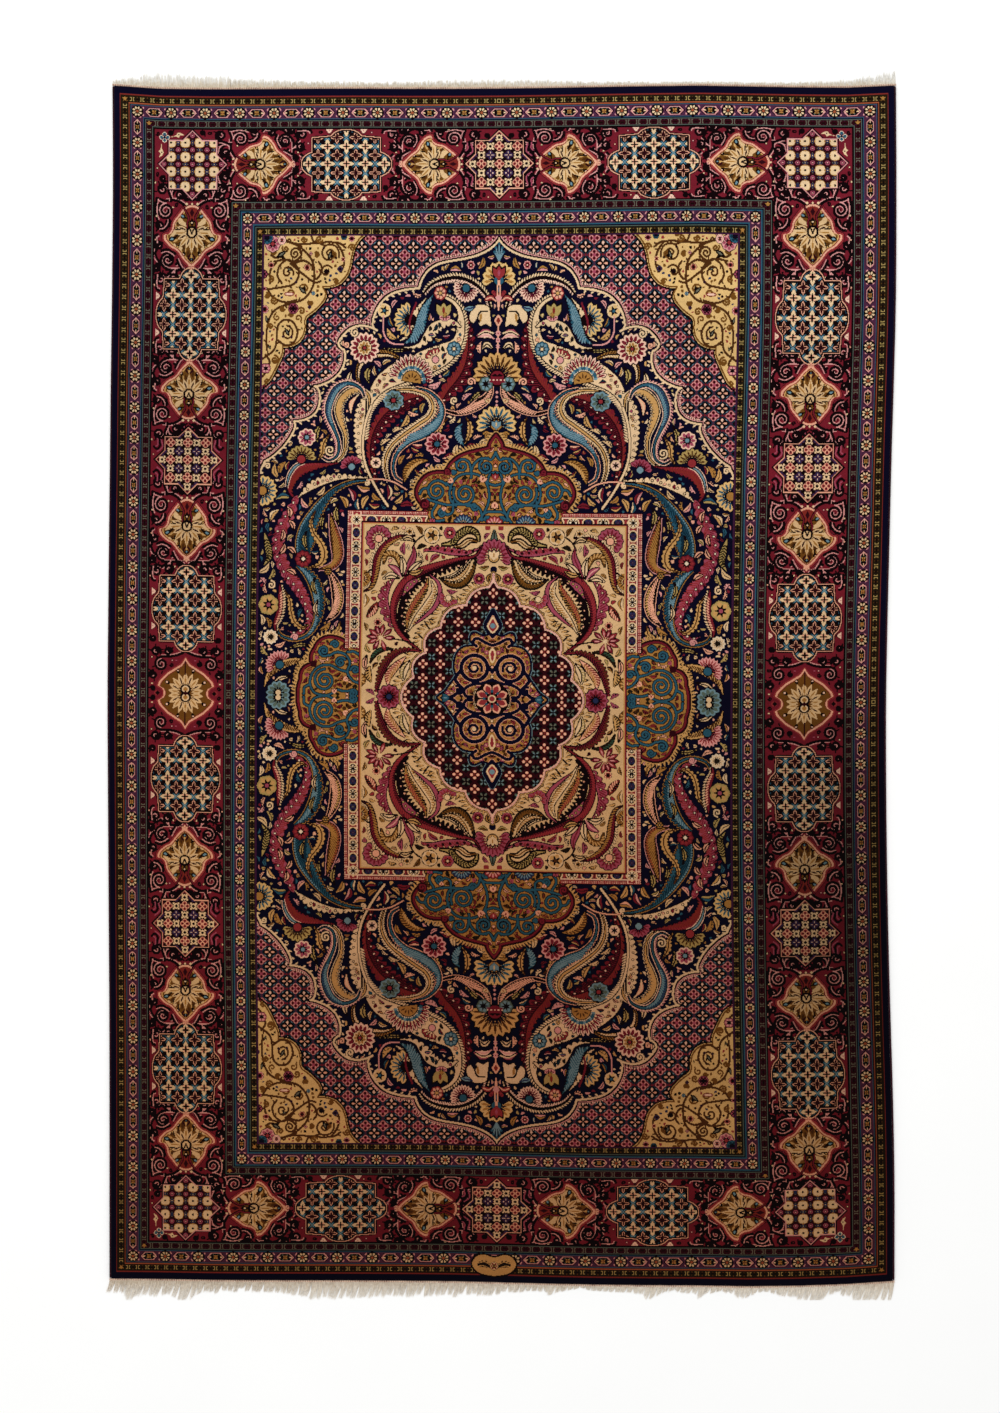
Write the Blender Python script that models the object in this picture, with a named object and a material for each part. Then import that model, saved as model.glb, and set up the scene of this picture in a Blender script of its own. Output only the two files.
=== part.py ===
"""Hand-knotted Persian rug of room size, lying flat on its back.

The rug is a knotted pile sheet between two overcast side cords. At each end a narrow strip of plain
weave locks the knots, and the warp ends run on from it as a fringe. +Y is the long way of the rug,
+X its width, and the underside lies at z = 0. The origin is in the middle of the outline.

A hand-knotted rug is never a true rectangle. Two short tables say how its sides and ends wander.
Lengths in the tables are in millimetres.
"""

import random

import bmesh
import bpy

MM = 0.001

# Driving dimensions, in metres.
PILE_THICKNESS = 9.0 * MM
PILE_EDGE_ROUNDING = 2.5 * MM
SIDE_CORD_WIDTH = 6.0 * MM
SIDE_CORD_HEIGHT = 7.5 * MM
SIDE_CORD_END_GAP = 0.6 * MM  # the end strip crosses the cord's end at a slight slant
END_STRIP_DEPTH = 6.0 * MM
END_STRIP_HEIGHT = 4.0 * MM
FRINGE_ROOT_DEPTH = 5.0 * MM
FRINGE_THICKNESS = 3.0 * MM
FIT_GAP = 0.3 * MM

HALF_LENGTH = 1830.0 * MM  # nominal, along Y
HALF_WIDTH = 1200.0 * MM  # nominal, along X
FRINGE_LIMIT = 1877.0 * MM  # no strand reaches past this at either end

OUTLINE_COLUMNS = 16  # straight stretches that follow each end
OUTLINE_ROWS = 34  # straight stretches that follow each side
FRINGE_TEETH = 68
TOOTH_FILL = 0.74  # share of the pitch that a bunch of strands takes up at its root
TOOTH_TAPER = (1.0, 0.86, 0.42)  # width at root, middle and tip
TOOTH_LEAN = 9.0 * MM
TOOTH_UNEVENNESS = 0.16
SEED = 7

# The sides: place along Y, then the left and the right outer edge.
SIDE_COLUMNS = ("y", "left", "right")
SIDE_TABLE = (
    (-1830.0, -1201.0, 1201.0),
    (-1513.0, -1201.0, 1201.0),
    (-1268.0, -1201.0, 1196.5),
    (-1023.0, -1201.5, 1189.0),
    (-778.0, -1203.0, 1182.5),
    (-534.0, -1204.5, 1178.0),
    (-289.0, -1206.0, 1175.5),
    (-44.0, -1207.0, 1175.5),
    (200.0, -1205.0, 1180.0),
    (445.0, -1202.5, 1186.0),
    (690.0, -1199.5, 1192.0),
    (935.0, -1197.0, 1199.5),
    (1180.0, -1193.5, 1205.5),
    (1547.0, -1190.5, 1207.0),
    (1830.0, -1192.0, 1205.5),
)

# The ends: place along X, the lower and the upper edge of the pile, and the length of the
# fringe beyond each.
END_COLUMNS = ("x", "lower", "upper", "lower_fringe", "upper_fringe")
END_TABLE = (
    (-1200.0, -1812.0, 1836.0, 42.0, 16.0),
    (-1060.0, -1813.0, 1826.0, 52.0, 46.0),
    (-950.0, -1815.0, 1824.5, 50.0, 44.0),
    (-860.0, -1816.5, 1824.0, 32.0, 36.0),
    (-680.0, -1817.5, 1825.0, 38.0, 26.0),
    (-510.0, -1817.5, 1826.5, 52.0, 23.0),
    (-330.0, -1818.5, 1825.5, 50.0, 22.0),
    (-140.0, -1820.5, 1825.5, 44.0, 26.0),
    (40.0, -1825.0, 1827.0, 32.0, 25.0),
    (220.0, -1829.5, 1830.0, 20.0, 20.0),
    (400.0, -1832.0, 1833.0, 27.0, 14.0),
    (590.0, -1833.0, 1835.5, 25.0, 14.0),
    (770.0, -1835.5, 1832.5, 24.0, 14.0),
    (960.0, -1832.5, 1829.5, 43.0, 18.0),
    (1100.0, -1826.5, 1830.0, 38.0, 28.0),
    (1200.0, -1819.0, 1836.0, 54.0, 40.0),
)

MATERIALS = {
    "pile": ("knotted_wool_pile", (0.055, 0.030, 0.062, 1.0), 0.95),
    "cord": ("overcast_crimson_wool", (0.110, 0.012, 0.020, 1.0), 0.90),
    "strip": ("plain_weave_cotton", (0.520, 0.360, 0.300, 1.0), 0.92),
    "fringe": ("cotton_warp_ends", (0.640, 0.540, 0.400, 1.0), 0.92),
}


def clear_scene():
    """Remove every object that a new file starts with."""
    for item in list(bpy.data.objects):
        bpy.data.objects.remove(item, do_unlink=True)


def read_table(table, columns, name, place):
    """Value of the named column at a place, on a smooth curve through the table's rows."""
    column = columns.index(name)
    places = [row[0] * MM for row in table]
    values = [row[column] * MM for row in table]
    place = min(max(place, places[0]), places[-1])
    after = next(i for i in range(1, len(places)) if place <= places[i])
    before = after - 1
    earlier, later = max(before - 1, 0), min(after + 1, len(places) - 1)
    span = places[after] - places[before]
    t = (place - places[before]) / span
    slope_before = (values[after] - values[earlier]) / (places[after] - places[earlier]) * span
    slope_after = (values[later] - values[before]) / (places[later] - places[before]) * span
    return (
        (2 * t**3 - 3 * t**2 + 1) * values[before]
        + (t**3 - 2 * t**2 + t) * slope_before
        + (3 * t**2 - 2 * t**3) * values[after]
        + (t**3 - t**2) * slope_after
    )


def along_edge(name, share):
    """A value of the tables at a share, from 0 to 1, of the way along a side or an end.

    Neighbouring pieces share the same straight stretches, so the gap between them stays even.
    """
    on_side = name in SIDE_COLUMNS
    table, columns = (SIDE_TABLE, SIDE_COLUMNS) if on_side else (END_TABLE, END_COLUMNS)
    half, stretches = (HALF_LENGTH, OUTLINE_ROWS) if on_side else (HALF_WIDTH, OUTLINE_COLUMNS)
    before = min(int(share * stretches), stretches - 1)
    first, second = (
        read_table(table, columns, name, (2 * station / stretches - 1) * half)
        for station in (before, before + 1)
    )
    return first + (second - first) * (share * stretches - before)


def rug_point(across, along):
    """Place on the rug, where across and along run from 0 to 1 between its wandering edges."""
    left, right = along_edge("left", along), along_edge("right", along)
    lower, upper = along_edge("lower", across), along_edge("upper", across)
    return left + (right - left) * across, lower + (upper - lower) * along


def add_object(name, bm, material):
    """Turn a closed bmesh into a named object with its own material."""
    bmesh.ops.recalc_face_normals(bm, faces=bm.faces)
    mesh = bpy.data.meshes.new(name)
    bm.to_mesh(mesh)
    bm.free()
    item = bpy.data.objects.new(name, mesh)
    bpy.context.collection.objects.link(item)
    finish, colour, roughness = MATERIALS[material]
    dressing = bpy.data.materials.new(f"{finish}_{name}")
    dressing.use_nodes = True
    shader = dressing.node_tree.nodes["Principled BSDF"]
    shader.inputs["Base Color"].default_value = colour
    shader.inputs["Roughness"].default_value = roughness
    shader.inputs["Metallic"].default_value = 0.0
    mesh.materials.append(dressing)
    return item


def rimmed_steps(count, size, margin):
    """Shares of a size in even steps, cut short by a margin and with a narrow rim at both ends."""
    start = margin / size
    rim = start + PILE_EDGE_ROUNDING / size
    return [start, rim, *(i / count for i in range(1, count)), 1 - rim, 1 - start]


def make_pile():
    """The knotted sheet: a flat slab with wandering edges and a rounded upper rim."""
    bm = bmesh.new()
    columns = rimmed_steps(OUTLINE_COLUMNS, 2 * HALF_WIDTH, SIDE_CORD_WIDTH + FIT_GAP)
    rows = rimmed_steps(OUTLINE_ROWS, 2 * HALF_LENGTH, 0.0)
    top, bottom = [], []
    for j, along in enumerate(rows):
        top.append([])
        bottom.append([])
        for i, across in enumerate(columns):
            x, y = rug_point(across, along)
            on_rim = i in (0, len(columns) - 1) or j in (0, len(rows) - 1)
            height = PILE_THICKNESS - (PILE_EDGE_ROUNDING if on_rim else 0.0)
            top[j].append(bm.verts.new((x, y, height)))
            bottom[j].append(bm.verts.new((x, y, 0.0)))
    last_row, last_column = len(rows) - 1, len(columns) - 1
    for j in range(last_row):
        for i in range(last_column):
            bm.faces.new((top[j][i], top[j][i + 1], top[j + 1][i + 1], top[j + 1][i]))
            bm.faces.new((bottom[j][i], bottom[j + 1][i], bottom[j + 1][i + 1], bottom[j][i + 1]))
    for i in range(last_column):
        for j in (0, last_row):
            bm.faces.new((top[j][i], bottom[j][i], bottom[j][i + 1], top[j][i + 1]))
    for j in range(last_row):
        for i in (0, last_column):
            bm.faces.new((top[j][i], top[j + 1][i], bottom[j + 1][i], bottom[j][i]))
    return add_object("rug_pile", bm, "pile")


def loft(bm, sections):
    """Closed body through a list of sections, each a ring of points."""
    rings = [[bm.verts.new(point) for point in section] for section in sections]
    count = len(rings[0])
    for one, two in zip(rings, rings[1:]):
        for k in range(count):
            after = (k + 1) % count
            bm.faces.new((one[k], one[after], two[after], two[k]))
    bm.faces.new(rings[0])
    bm.faces.new(list(reversed(rings[-1])))


def make_side_cord(side):
    """Overcast cord along one side: a flat-bottomed half-round section swept down the edge."""
    bm = bmesh.new()
    inward = 1 if side == "left" else -1
    across = 0.0 if side == "left" else 1.0
    profile = (  # share of the width from the outer edge, share of the height
        (0.15, 0.0),
        (1.0, 0.0),
        (1.0, 0.72),
        (0.72, 1.0),
        (0.28, 1.0),
        (0.0, 0.62),
        (0.0, 0.25),
    )
    sections = []
    for j in range(OUTLINE_ROWS + 1):
        x, y = rug_point(across, j / OUTLINE_ROWS)
        if j in (0, OUTLINE_ROWS):
            y += SIDE_CORD_END_GAP if j == 0 else -SIDE_CORD_END_GAP
        sections.append(
            [(x + inward * w * SIDE_CORD_WIDTH, y, h * SIDE_CORD_HEIGHT) for w, h in profile]
        )
    loft(bm, sections)
    return add_object(f"side_cord_{side}", bm, "cord")


def make_end_strip(end):
    """Plain-woven strip that locks the knots at one end, as wide as the whole rug."""
    bm = bmesh.new()
    along, outward = (0.0, -1) if end == "lower" else (1.0, 1)
    profile = ((0.0, 0.0), (1.0, 0.0), (1.0, 0.7), (0.8, 1.0), (0.0, 1.0))
    sections = []
    for i in range(OUTLINE_COLUMNS + 1):
        x, y = rug_point(i / OUTLINE_COLUMNS, along)
        start = y + outward * FIT_GAP
        sections.append(
            [(x, start + outward * d * END_STRIP_DEPTH, h * END_STRIP_HEIGHT) for d, h in profile]
        )
    loft(bm, sections)
    return add_object(f"end_strip_{end}", bm, "strip")


def make_fringe(end):
    """One comb of warp ends: a narrow root band with a tapered tooth for each bunch of strands."""
    bm = bmesh.new()
    rng = random.Random(f"{SEED}-{end}")
    along, outward = (0.0, -1) if end == "lower" else (1.0, 1)
    start_gap = 2 * FIT_GAP + END_STRIP_DEPTH

    def pair(x, y):
        return bm.verts.new((x, y, 0.0)), bm.verts.new((x, y, FRINGE_THICKNESS))

    def close(one, two):
        """Wall between two pairs of verts."""
        bm.faces.new((one[0], two[0], two[1], one[1]))

    def cover(one, two, three, four):
        """Underside and top between four pairs of verts."""
        bm.faces.new((one[0], two[0], three[0], four[0]))
        bm.faces.new((four[1], three[1], two[1], one[1]))

    stations = []
    for tooth in range(FRINGE_TEETH):
        for share in ((1 - TOOTH_FILL) / 2, (1 + TOOTH_FILL) / 2):
            stations.append((tooth + share) / FRINGE_TEETH)
    stations = [0.0, *stations, 1.0]
    inner, outer = [], []
    for across in stations:
        x, y = rug_point(across, along)
        root = y + outward * start_gap
        inner.append(pair(x, root))
        outer.append(pair(x, root + outward * FRINGE_ROOT_DEPTH))

    close(inner[0], outer[0])
    close(inner[-1], outer[-1])
    for i in range(len(stations) - 1):
        cover(inner[i], inner[i + 1], outer[i + 1], outer[i])
        close(inner[i], inner[i + 1])
        if i % 2 == 0:  # a slit between two teeth
            close(outer[i], outer[i + 1])
            continue
        left_x, right_x = outer[i][0].co.x, outer[i + 1][0].co.x
        middle = (left_x + right_x) / 2
        width = right_x - left_x
        root_y = (outer[i][0].co.y + outer[i + 1][0].co.y) / 2
        share_across = (stations[i] + stations[i + 1]) / 2
        length = along_edge(f"{end}_fringe", share_across) - start_gap - FRINGE_ROOT_DEPTH
        length *= 1 + rng.uniform(-TOOTH_UNEVENNESS, TOOTH_UNEVENNESS)
        length = max(min(length, FRINGE_LIMIT - abs(root_y)), FRINGE_ROOT_DEPTH / 2)
        lean = rng.uniform(-TOOTH_LEAN, TOOTH_LEAN) * min(1.0, length / 0.03)
        lean = min(max(lean, inner[0][0].co.x - left_x), inner[-1][0].co.x - right_x)
        before = (outer[i], outer[i + 1])
        for step in (1, 2):
            share = step / 2
            half = width * TOOTH_TAPER[step] / 2
            x = middle + lean * share**2
            y = root_y + outward * length * share
            ring = (pair(x - half, y), pair(x + half, y))
            cover(before[0], before[1], ring[1], ring[0])
            close(before[0], ring[0])
            close(before[1], ring[1])
            before = ring
        close(*before)
    return add_object(f"fringe_{end}", bm, "fringe")


def centre_outline(items):
    """Move all pieces together, by a few millimetres, so that the outline's middle is at the origin."""
    points = [vert.co for item in items for vert in item.data.vertices]
    for axis in (0, 1):
        values = [point[axis] for point in points]
        middle = (min(values) + max(values)) / 2
        for point in points:
            point[axis] -= middle


def main():
    """Build the rug."""
    clear_scene()
    items = [make_pile()]
    items += [make_side_cord(side) for side in ("left", "right")]
    for end in ("lower", "upper"):
        items += [make_end_strip(end), make_fringe(end)]
    centre_outline(items)


main()
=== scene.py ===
"""Looks of the hand-knotted Persian rug.

The pattern is worked the way a rug designer works it: one quarter is drawn on a chart with a square
for every knot, the quarter is turned out to the whole rug, and each knot takes a dyed yarn. Every
curve and flower here is drawn by rule, in millimetres on the flat rug.
"""

import logging
import math
from collections.abc import Iterator, Sequence
from contextlib import contextmanager
from dataclasses import dataclass, field
from enum import IntEnum
from typing import ClassVar

import bpy
import numpy as np
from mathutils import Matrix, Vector


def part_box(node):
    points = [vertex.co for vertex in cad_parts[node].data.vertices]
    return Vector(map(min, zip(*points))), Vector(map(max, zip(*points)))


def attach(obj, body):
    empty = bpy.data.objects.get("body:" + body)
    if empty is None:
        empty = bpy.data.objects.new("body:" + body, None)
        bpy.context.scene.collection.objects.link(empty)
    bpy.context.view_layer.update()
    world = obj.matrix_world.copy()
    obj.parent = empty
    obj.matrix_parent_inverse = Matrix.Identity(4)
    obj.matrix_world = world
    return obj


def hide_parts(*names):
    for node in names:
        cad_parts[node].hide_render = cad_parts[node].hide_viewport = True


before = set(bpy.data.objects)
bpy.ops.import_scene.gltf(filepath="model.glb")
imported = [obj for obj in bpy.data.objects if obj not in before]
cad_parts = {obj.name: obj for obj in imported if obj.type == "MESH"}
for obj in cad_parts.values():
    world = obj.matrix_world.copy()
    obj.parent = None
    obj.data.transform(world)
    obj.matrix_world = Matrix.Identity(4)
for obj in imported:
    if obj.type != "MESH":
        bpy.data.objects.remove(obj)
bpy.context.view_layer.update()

LOG = logging.getLogger("rug")
MM = 0.001
Points = np.ndarray
Path = Sequence[Sequence[float]] | np.ndarray
Node = bpy.types.ShaderNode
Socket = bpy.types.NodeSocket


def linear(hex_colour: str) -> tuple[float, float, float, float]:
    """Turn an sRGB hex colour to linear.

    Args:
        hex_colour: six hex digits after a hash.

    Returns:
        Linear red, green, blue and an alpha of one.
    """
    parts = [int(hex_colour[i : i + 2], 16) / 255 for i in (1, 3, 5)]
    values = [p / 12.92 if p <= 0.04045 else ((p + 0.055) / 1.055) ** 2.4 for p in parts]
    return (*values, 1.0)


# ---------------------------------------------------------------------------------------------
# Yarns
# ---------------------------------------------------------------------------------------------


class Yarn(IntEnum):
    """The dyed yarns, in the order in which the pile material lists their colours."""

    NAVY = 0
    INK = 1
    SOOT = 2
    MAROON = 3
    CRIMSON = 4
    MADDER = 5
    ROSE = 6
    PINK = 7
    SALMON = 8
    RUST = 9
    UMBER = 10
    WALNUT = 11
    OCHRE = 12
    GOLD = 13
    CREAM = 14
    IVORY = 15
    PETROL = 16
    TEAL = 17
    SKY = 18
    SAGE = 19
    OLIVE = 20
    MAUVE = 21
    PLUM = 22
    MOSS = 23
    BROWN = 24
    SAND = 25
    BRICK = 26
    STRAW = 27
    DUSK = 28
    BLUSH = 29
    GREY = 30
    WHITE = 31


YARN_COLOURS: dict[Yarn, str] = {
    Yarn.NAVY: "#080620",
    Yarn.INK: "#0E0306",
    Yarn.SOOT: "#110503",
    Yarn.MAROON: "#2E0610",
    Yarn.CRIMSON: "#721C2A",
    Yarn.MADDER: "#8F2F34",
    Yarn.ROSE: "#A04A60",
    Yarn.PINK: "#DA9A98",
    Yarn.SALMON: "#E8AC90",
    Yarn.RUST: "#9C5234",
    Yarn.UMBER: "#4A2A10",
    Yarn.WALNUT: "#6E4719",
    Yarn.OCHRE: "#A97B3E",
    Yarn.GOLD: "#CBA063",
    Yarn.CREAM: "#E6C9A0",
    Yarn.IVORY: "#DDBA7C",
    Yarn.PETROL: "#0F2D3E",
    Yarn.TEAL: "#29586E",
    Yarn.SKY: "#6F92A0",
    Yarn.SAGE: "#56685F",
    Yarn.OLIVE: "#20180C",
    Yarn.MAUVE: "#4A2540",
    Yarn.PLUM: "#3A1838",
    Yarn.MOSS: "#2B4A3A",
    Yarn.BROWN: "#3E2112",
    Yarn.SAND: "#DCBB8C",
    Yarn.BRICK: "#7E2A24",
    Yarn.STRAW: "#B09A5E",
    Yarn.DUSK: "#252E52",
    Yarn.BLUSH: "#EEC6B0",
    Yarn.GREY: "#6C6C5E",
    Yarn.WHITE: "#F0E2C8",
}


# ---------------------------------------------------------------------------------------------
# The chart
# ---------------------------------------------------------------------------------------------

QUARTERS = ((-1, -1), (-1, 1), (1, -1), (1, 1))  # signs of x and y in the four quarters
KNOT = 2.0  # mm between knots, five to the centimetre
HALF_WIDTH = 1200.0  # mm, nominal half width of the pile
HALF_LENGTH = 1832.0  # mm, nominal half length of the pile


def circle(centre: Sequence[float], radius: float, count: int = 28) -> Points:
    """Points round a circle."""
    angles = np.linspace(0, 2 * math.pi, count, endpoint=False)
    return np.stack([centre[0] + radius * np.cos(angles), centre[1] + radius * np.sin(angles)], 1)


def oval(centre: Sequence[float], half_x: float, half_y: float, count: int = 28) -> Points:
    """Points round an ellipse that lies along the axes."""
    return (circle((0, 0), 1.0, count) * (half_x, half_y)) + np.asarray(centre, float)


def rectangle(left: float, low: float, right: float, high: float) -> Points:
    """Corners of an upright rectangle."""
    return np.array([(left, low), (right, low), (right, high), (left, high)], float)


def arc(centre: Sequence[float], radius: float, start: float, end: float) -> Points:
    """Points along an arc, with its angles in degrees.

    Args:
        centre: its middle.
        radius: its radius.
        start: angle of its first point.
        end: angle of its last point.

    Returns:
        Its points.
    """
    count = max(3, int(abs(end - start) / 8) + 2)
    angles = np.radians(np.linspace(start, end, count))
    return np.stack([centre[0] + radius * np.cos(angles), centre[1] + radius * np.sin(angles)], 1)


def spiral(
    centre: Sequence[float], radius: float, inner: float, start: float, turns: float
) -> Points:
    """Points along a spiral that winds inwards.

    Args:
        centre: where it winds to.
        radius: its first radius.
        inner: its last radius.
        start: its first angle, in degrees.
        turns: how often it goes round; a negative number goes clockwise.

    Returns:
        The points from the outside in.
    """
    share = np.linspace(0, 1, max(8, int(abs(turns) * 32)))
    angles = math.radians(start) + share * turns * 2 * math.pi
    radii = radius + (inner - radius) * share**0.85
    return np.stack([centre[0] + radii * np.cos(angles), centre[1] + radii * np.sin(angles)], 1)


def smooth(points: Sequence[Sequence[float]], steps: int = 8, closed: bool = False) -> Points:
    """Smooth curve through points.

    Args:
        points: the points that it goes through.
        steps: pieces between two points.
        closed: whether it comes back to its start.

    Returns:
        The curve's points.
    """
    given = np.asarray(points, float)
    count = len(given)
    if closed:
        before, after = np.roll(given, 1, 0), np.roll(given, -1, 0)
        later = np.roll(given, -2, 0)
        spans = count
    else:
        padded = np.vstack([2 * given[0] - given[1], given, 2 * given[-1] - given[-2]])
        before, given, after, later = padded[:-3], padded[1:-2], padded[2:-1], padded[3:]
        spans = count - 1
    t = np.linspace(0, 1, steps, endpoint=False)[None, :, None]
    p0, p1, p2, p3 = (a[:spans, None, :] for a in (before, given, after, later))
    curve = 0.5 * (
        2 * p1
        + (p2 - p0) * t
        + (2 * p0 - 5 * p1 + 4 * p2 - p3) * t**2
        + (3 * p1 - p0 - 3 * p2 + p3) * t**3
    )
    curve = curve.reshape(-1, 2)
    return curve if closed else np.vstack([curve, np.asarray(points[-1], float)])


def even_points(path: Points, step: float) -> tuple[Points, Points]:
    """Points an even step apart along a path.

    Args:
        path: the path.
        step: distance between points, in mm.

    Returns:
        The points, and a unit vector along the path at each.
    """
    steps = np.linalg.norm(np.diff(path, axis=0), axis=1)
    lengths = np.concatenate([[0.0], np.cumsum(steps)])
    count = max(2, int(lengths[-1] / step) + 1)
    places = np.linspace(0, lengths[-1], count)
    points = np.stack([np.interp(places, lengths, path[:, k]) for k in (0, 1)], 1)
    ahead = np.gradient(points, axis=0)
    ahead /= np.maximum(np.linalg.norm(ahead, axis=1, keepdims=True), 1e-9)
    return points, ahead


@dataclass
class Chart:
    """Quarter of the weaver's chart, from the rug's middle to its upper right corner.

    Rows run up from the middle and columns run right from it. Each square holds a yarn.
    """

    half_width: float = HALF_WIDTH
    half_length: float = HALF_LENGTH
    knots: np.ndarray = field(init=False)
    allowed: np.ndarray | None = field(init=False, default=None)

    def __post_init__(self) -> None:
        """Start with a chart all in navy."""
        shape = (round(self.half_length / KNOT), round(self.half_width / KNOT))
        self.knots = np.full(shape, int(Yarn.NAVY), np.uint8)

    def squares(self) -> tuple[np.ndarray, np.ndarray]:
        """Middle of each square, as two arrays of mm."""
        rows, columns = self.knots.shape
        return np.meshgrid((np.arange(columns) + 0.5) * KNOT, (np.arange(rows) + 0.5) * KNOT)

    def put(self, rows: np.ndarray, columns: np.ndarray, yarn: Yarn) -> None:
        """Give squares a yarn, where they are on the chart and allowed.

        Args:
            rows: rows of the squares.
            columns: columns of the squares.
            yarn: yarn that they get.
        """
        height, width = self.knots.shape
        good = (rows >= 0) & (rows < height) & (columns >= 0) & (columns < width)
        rows, columns = rows[good], columns[good]
        if self.allowed is not None:
            good = self.allowed[rows, columns]
            rows, columns = rows[good], columns[good]
        self.knots[rows, columns] = int(yarn)

    def enclosed(self, outline: Points) -> tuple[np.ndarray, np.ndarray]:
        """Rows and columns of the squares whose middle an outline encloses.

        Args:
            outline: points in mm.

        Returns:
            The rows, and the columns.
        """
        one = np.asarray(outline, float) / KNOT
        two = np.roll(one, -1, 0)
        low = np.ceil(np.minimum(one[:, 1], two[:, 1]) - 0.5).astype(int).clip(-2, self.knots.shape[0] + 2)
        high = np.ceil(np.maximum(one[:, 1], two[:, 1]) - 0.5).astype(int).clip(-2, self.knots.shape[0] + 2)
        counts = high - low
        edge = np.repeat(np.arange(len(one)), counts)
        if not len(edge):
            return np.zeros(0, int), np.zeros(0, int)
        starts = np.cumsum(counts) - counts
        rows = low[edge] + np.arange(len(edge)) - starts[edge]
        rise = two[edge, 1] - one[edge, 1]
        crossing = one[edge, 0] + (rows + 0.5 - one[edge, 1]) * (two[edge, 0] - one[edge, 0]) / rise
        order = np.lexsort((crossing, rows))
        rows, crossing = rows[order], crossing[order]
        begin = np.ceil(crossing[0::2] - 0.5).astype(int).clip(0, self.knots.shape[1])
        end = np.ceil(crossing[1::2] - 0.5).astype(int).clip(0, self.knots.shape[1])
        spans = np.maximum(end - begin, 0)
        which = np.repeat(np.arange(len(spans)), spans)
        firsts = np.cumsum(spans) - spans
        columns = begin[which] + np.arange(len(which)) - firsts[which]
        return rows[0::2][which], columns

    def mask(self, outline: Points) -> np.ndarray:
        """Chart-sized array that is true inside an outline.

        Args:
            outline: points in mm.

        Returns:
            The array.
        """
        rows, columns = self.enclosed(outline)
        good = (rows >= 0) & (rows < self.knots.shape[0])
        inside = np.zeros(self.knots.shape, bool)
        inside[rows[good], columns[good]] = True
        return inside

    def free(self, outline: Points, inside: np.ndarray, ground: Yarn) -> bool:
        """Whether an outline holds only bare ground.

        Args:
            outline: the outline.
            inside: chart-sized array, true where it may lie.
            ground: yarn of the bare ground.

        Returns:
            True if every square in it is on the chart, allowed and of the ground's yarn.
        """
        height, width = self.knots.shape
        rows, columns = self.enclosed(outline)
        if not len(rows) or rows.min() < 0 or rows.max() >= height or columns.max() >= width:
            return False
        return bool((inside[rows, columns] & (self.knots[rows, columns] == int(ground))).all())

    @contextmanager
    def only(self, inside: np.ndarray) -> Iterator[None]:
        """Let drawing change only some squares.

        Args:
            inside: chart-sized array, true where it may.

        Yields:
            Nothing, while the limit holds.
        """
        before = self.allowed
        self.allowed = inside if before is None else inside & before
        yield
        self.allowed = before

    def fill(self, outline: Points, yarn: Yarn) -> None:
        """Fill an outline."""
        self.put(*self.enclosed(outline), yarn)

    def trace(self, path: Points, width: float, yarn: Yarn) -> None:
        """Draw a line of a width in mm.

        Args:
            path: points in mm.
            width: width of the line in mm.
            yarn: yarn of the line.
        """
        points, _ = even_points(np.asarray(path, float), 1.0)
        reach = width / 2
        steps = np.arange(-math.floor(reach), math.floor(reach) + 1)
        offsets = np.array([(x, y) for x in steps for y in steps if math.hypot(x, y) <= reach + 0.01])
        cells = np.floor((points[:, None, :] + offsets[None, :, :]) / KNOT).astype(int).reshape(-1, 2)
        self.put(cells[:, 1], cells[:, 0], yarn)

    def whole(self) -> np.ndarray:
        """The whole rug's chart, mirrored out of the quarter, with row 0 at the lower end."""
        right = np.vstack([self.knots[::-1], self.knots])
        return np.hstack([right[:, ::-1], right])


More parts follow.
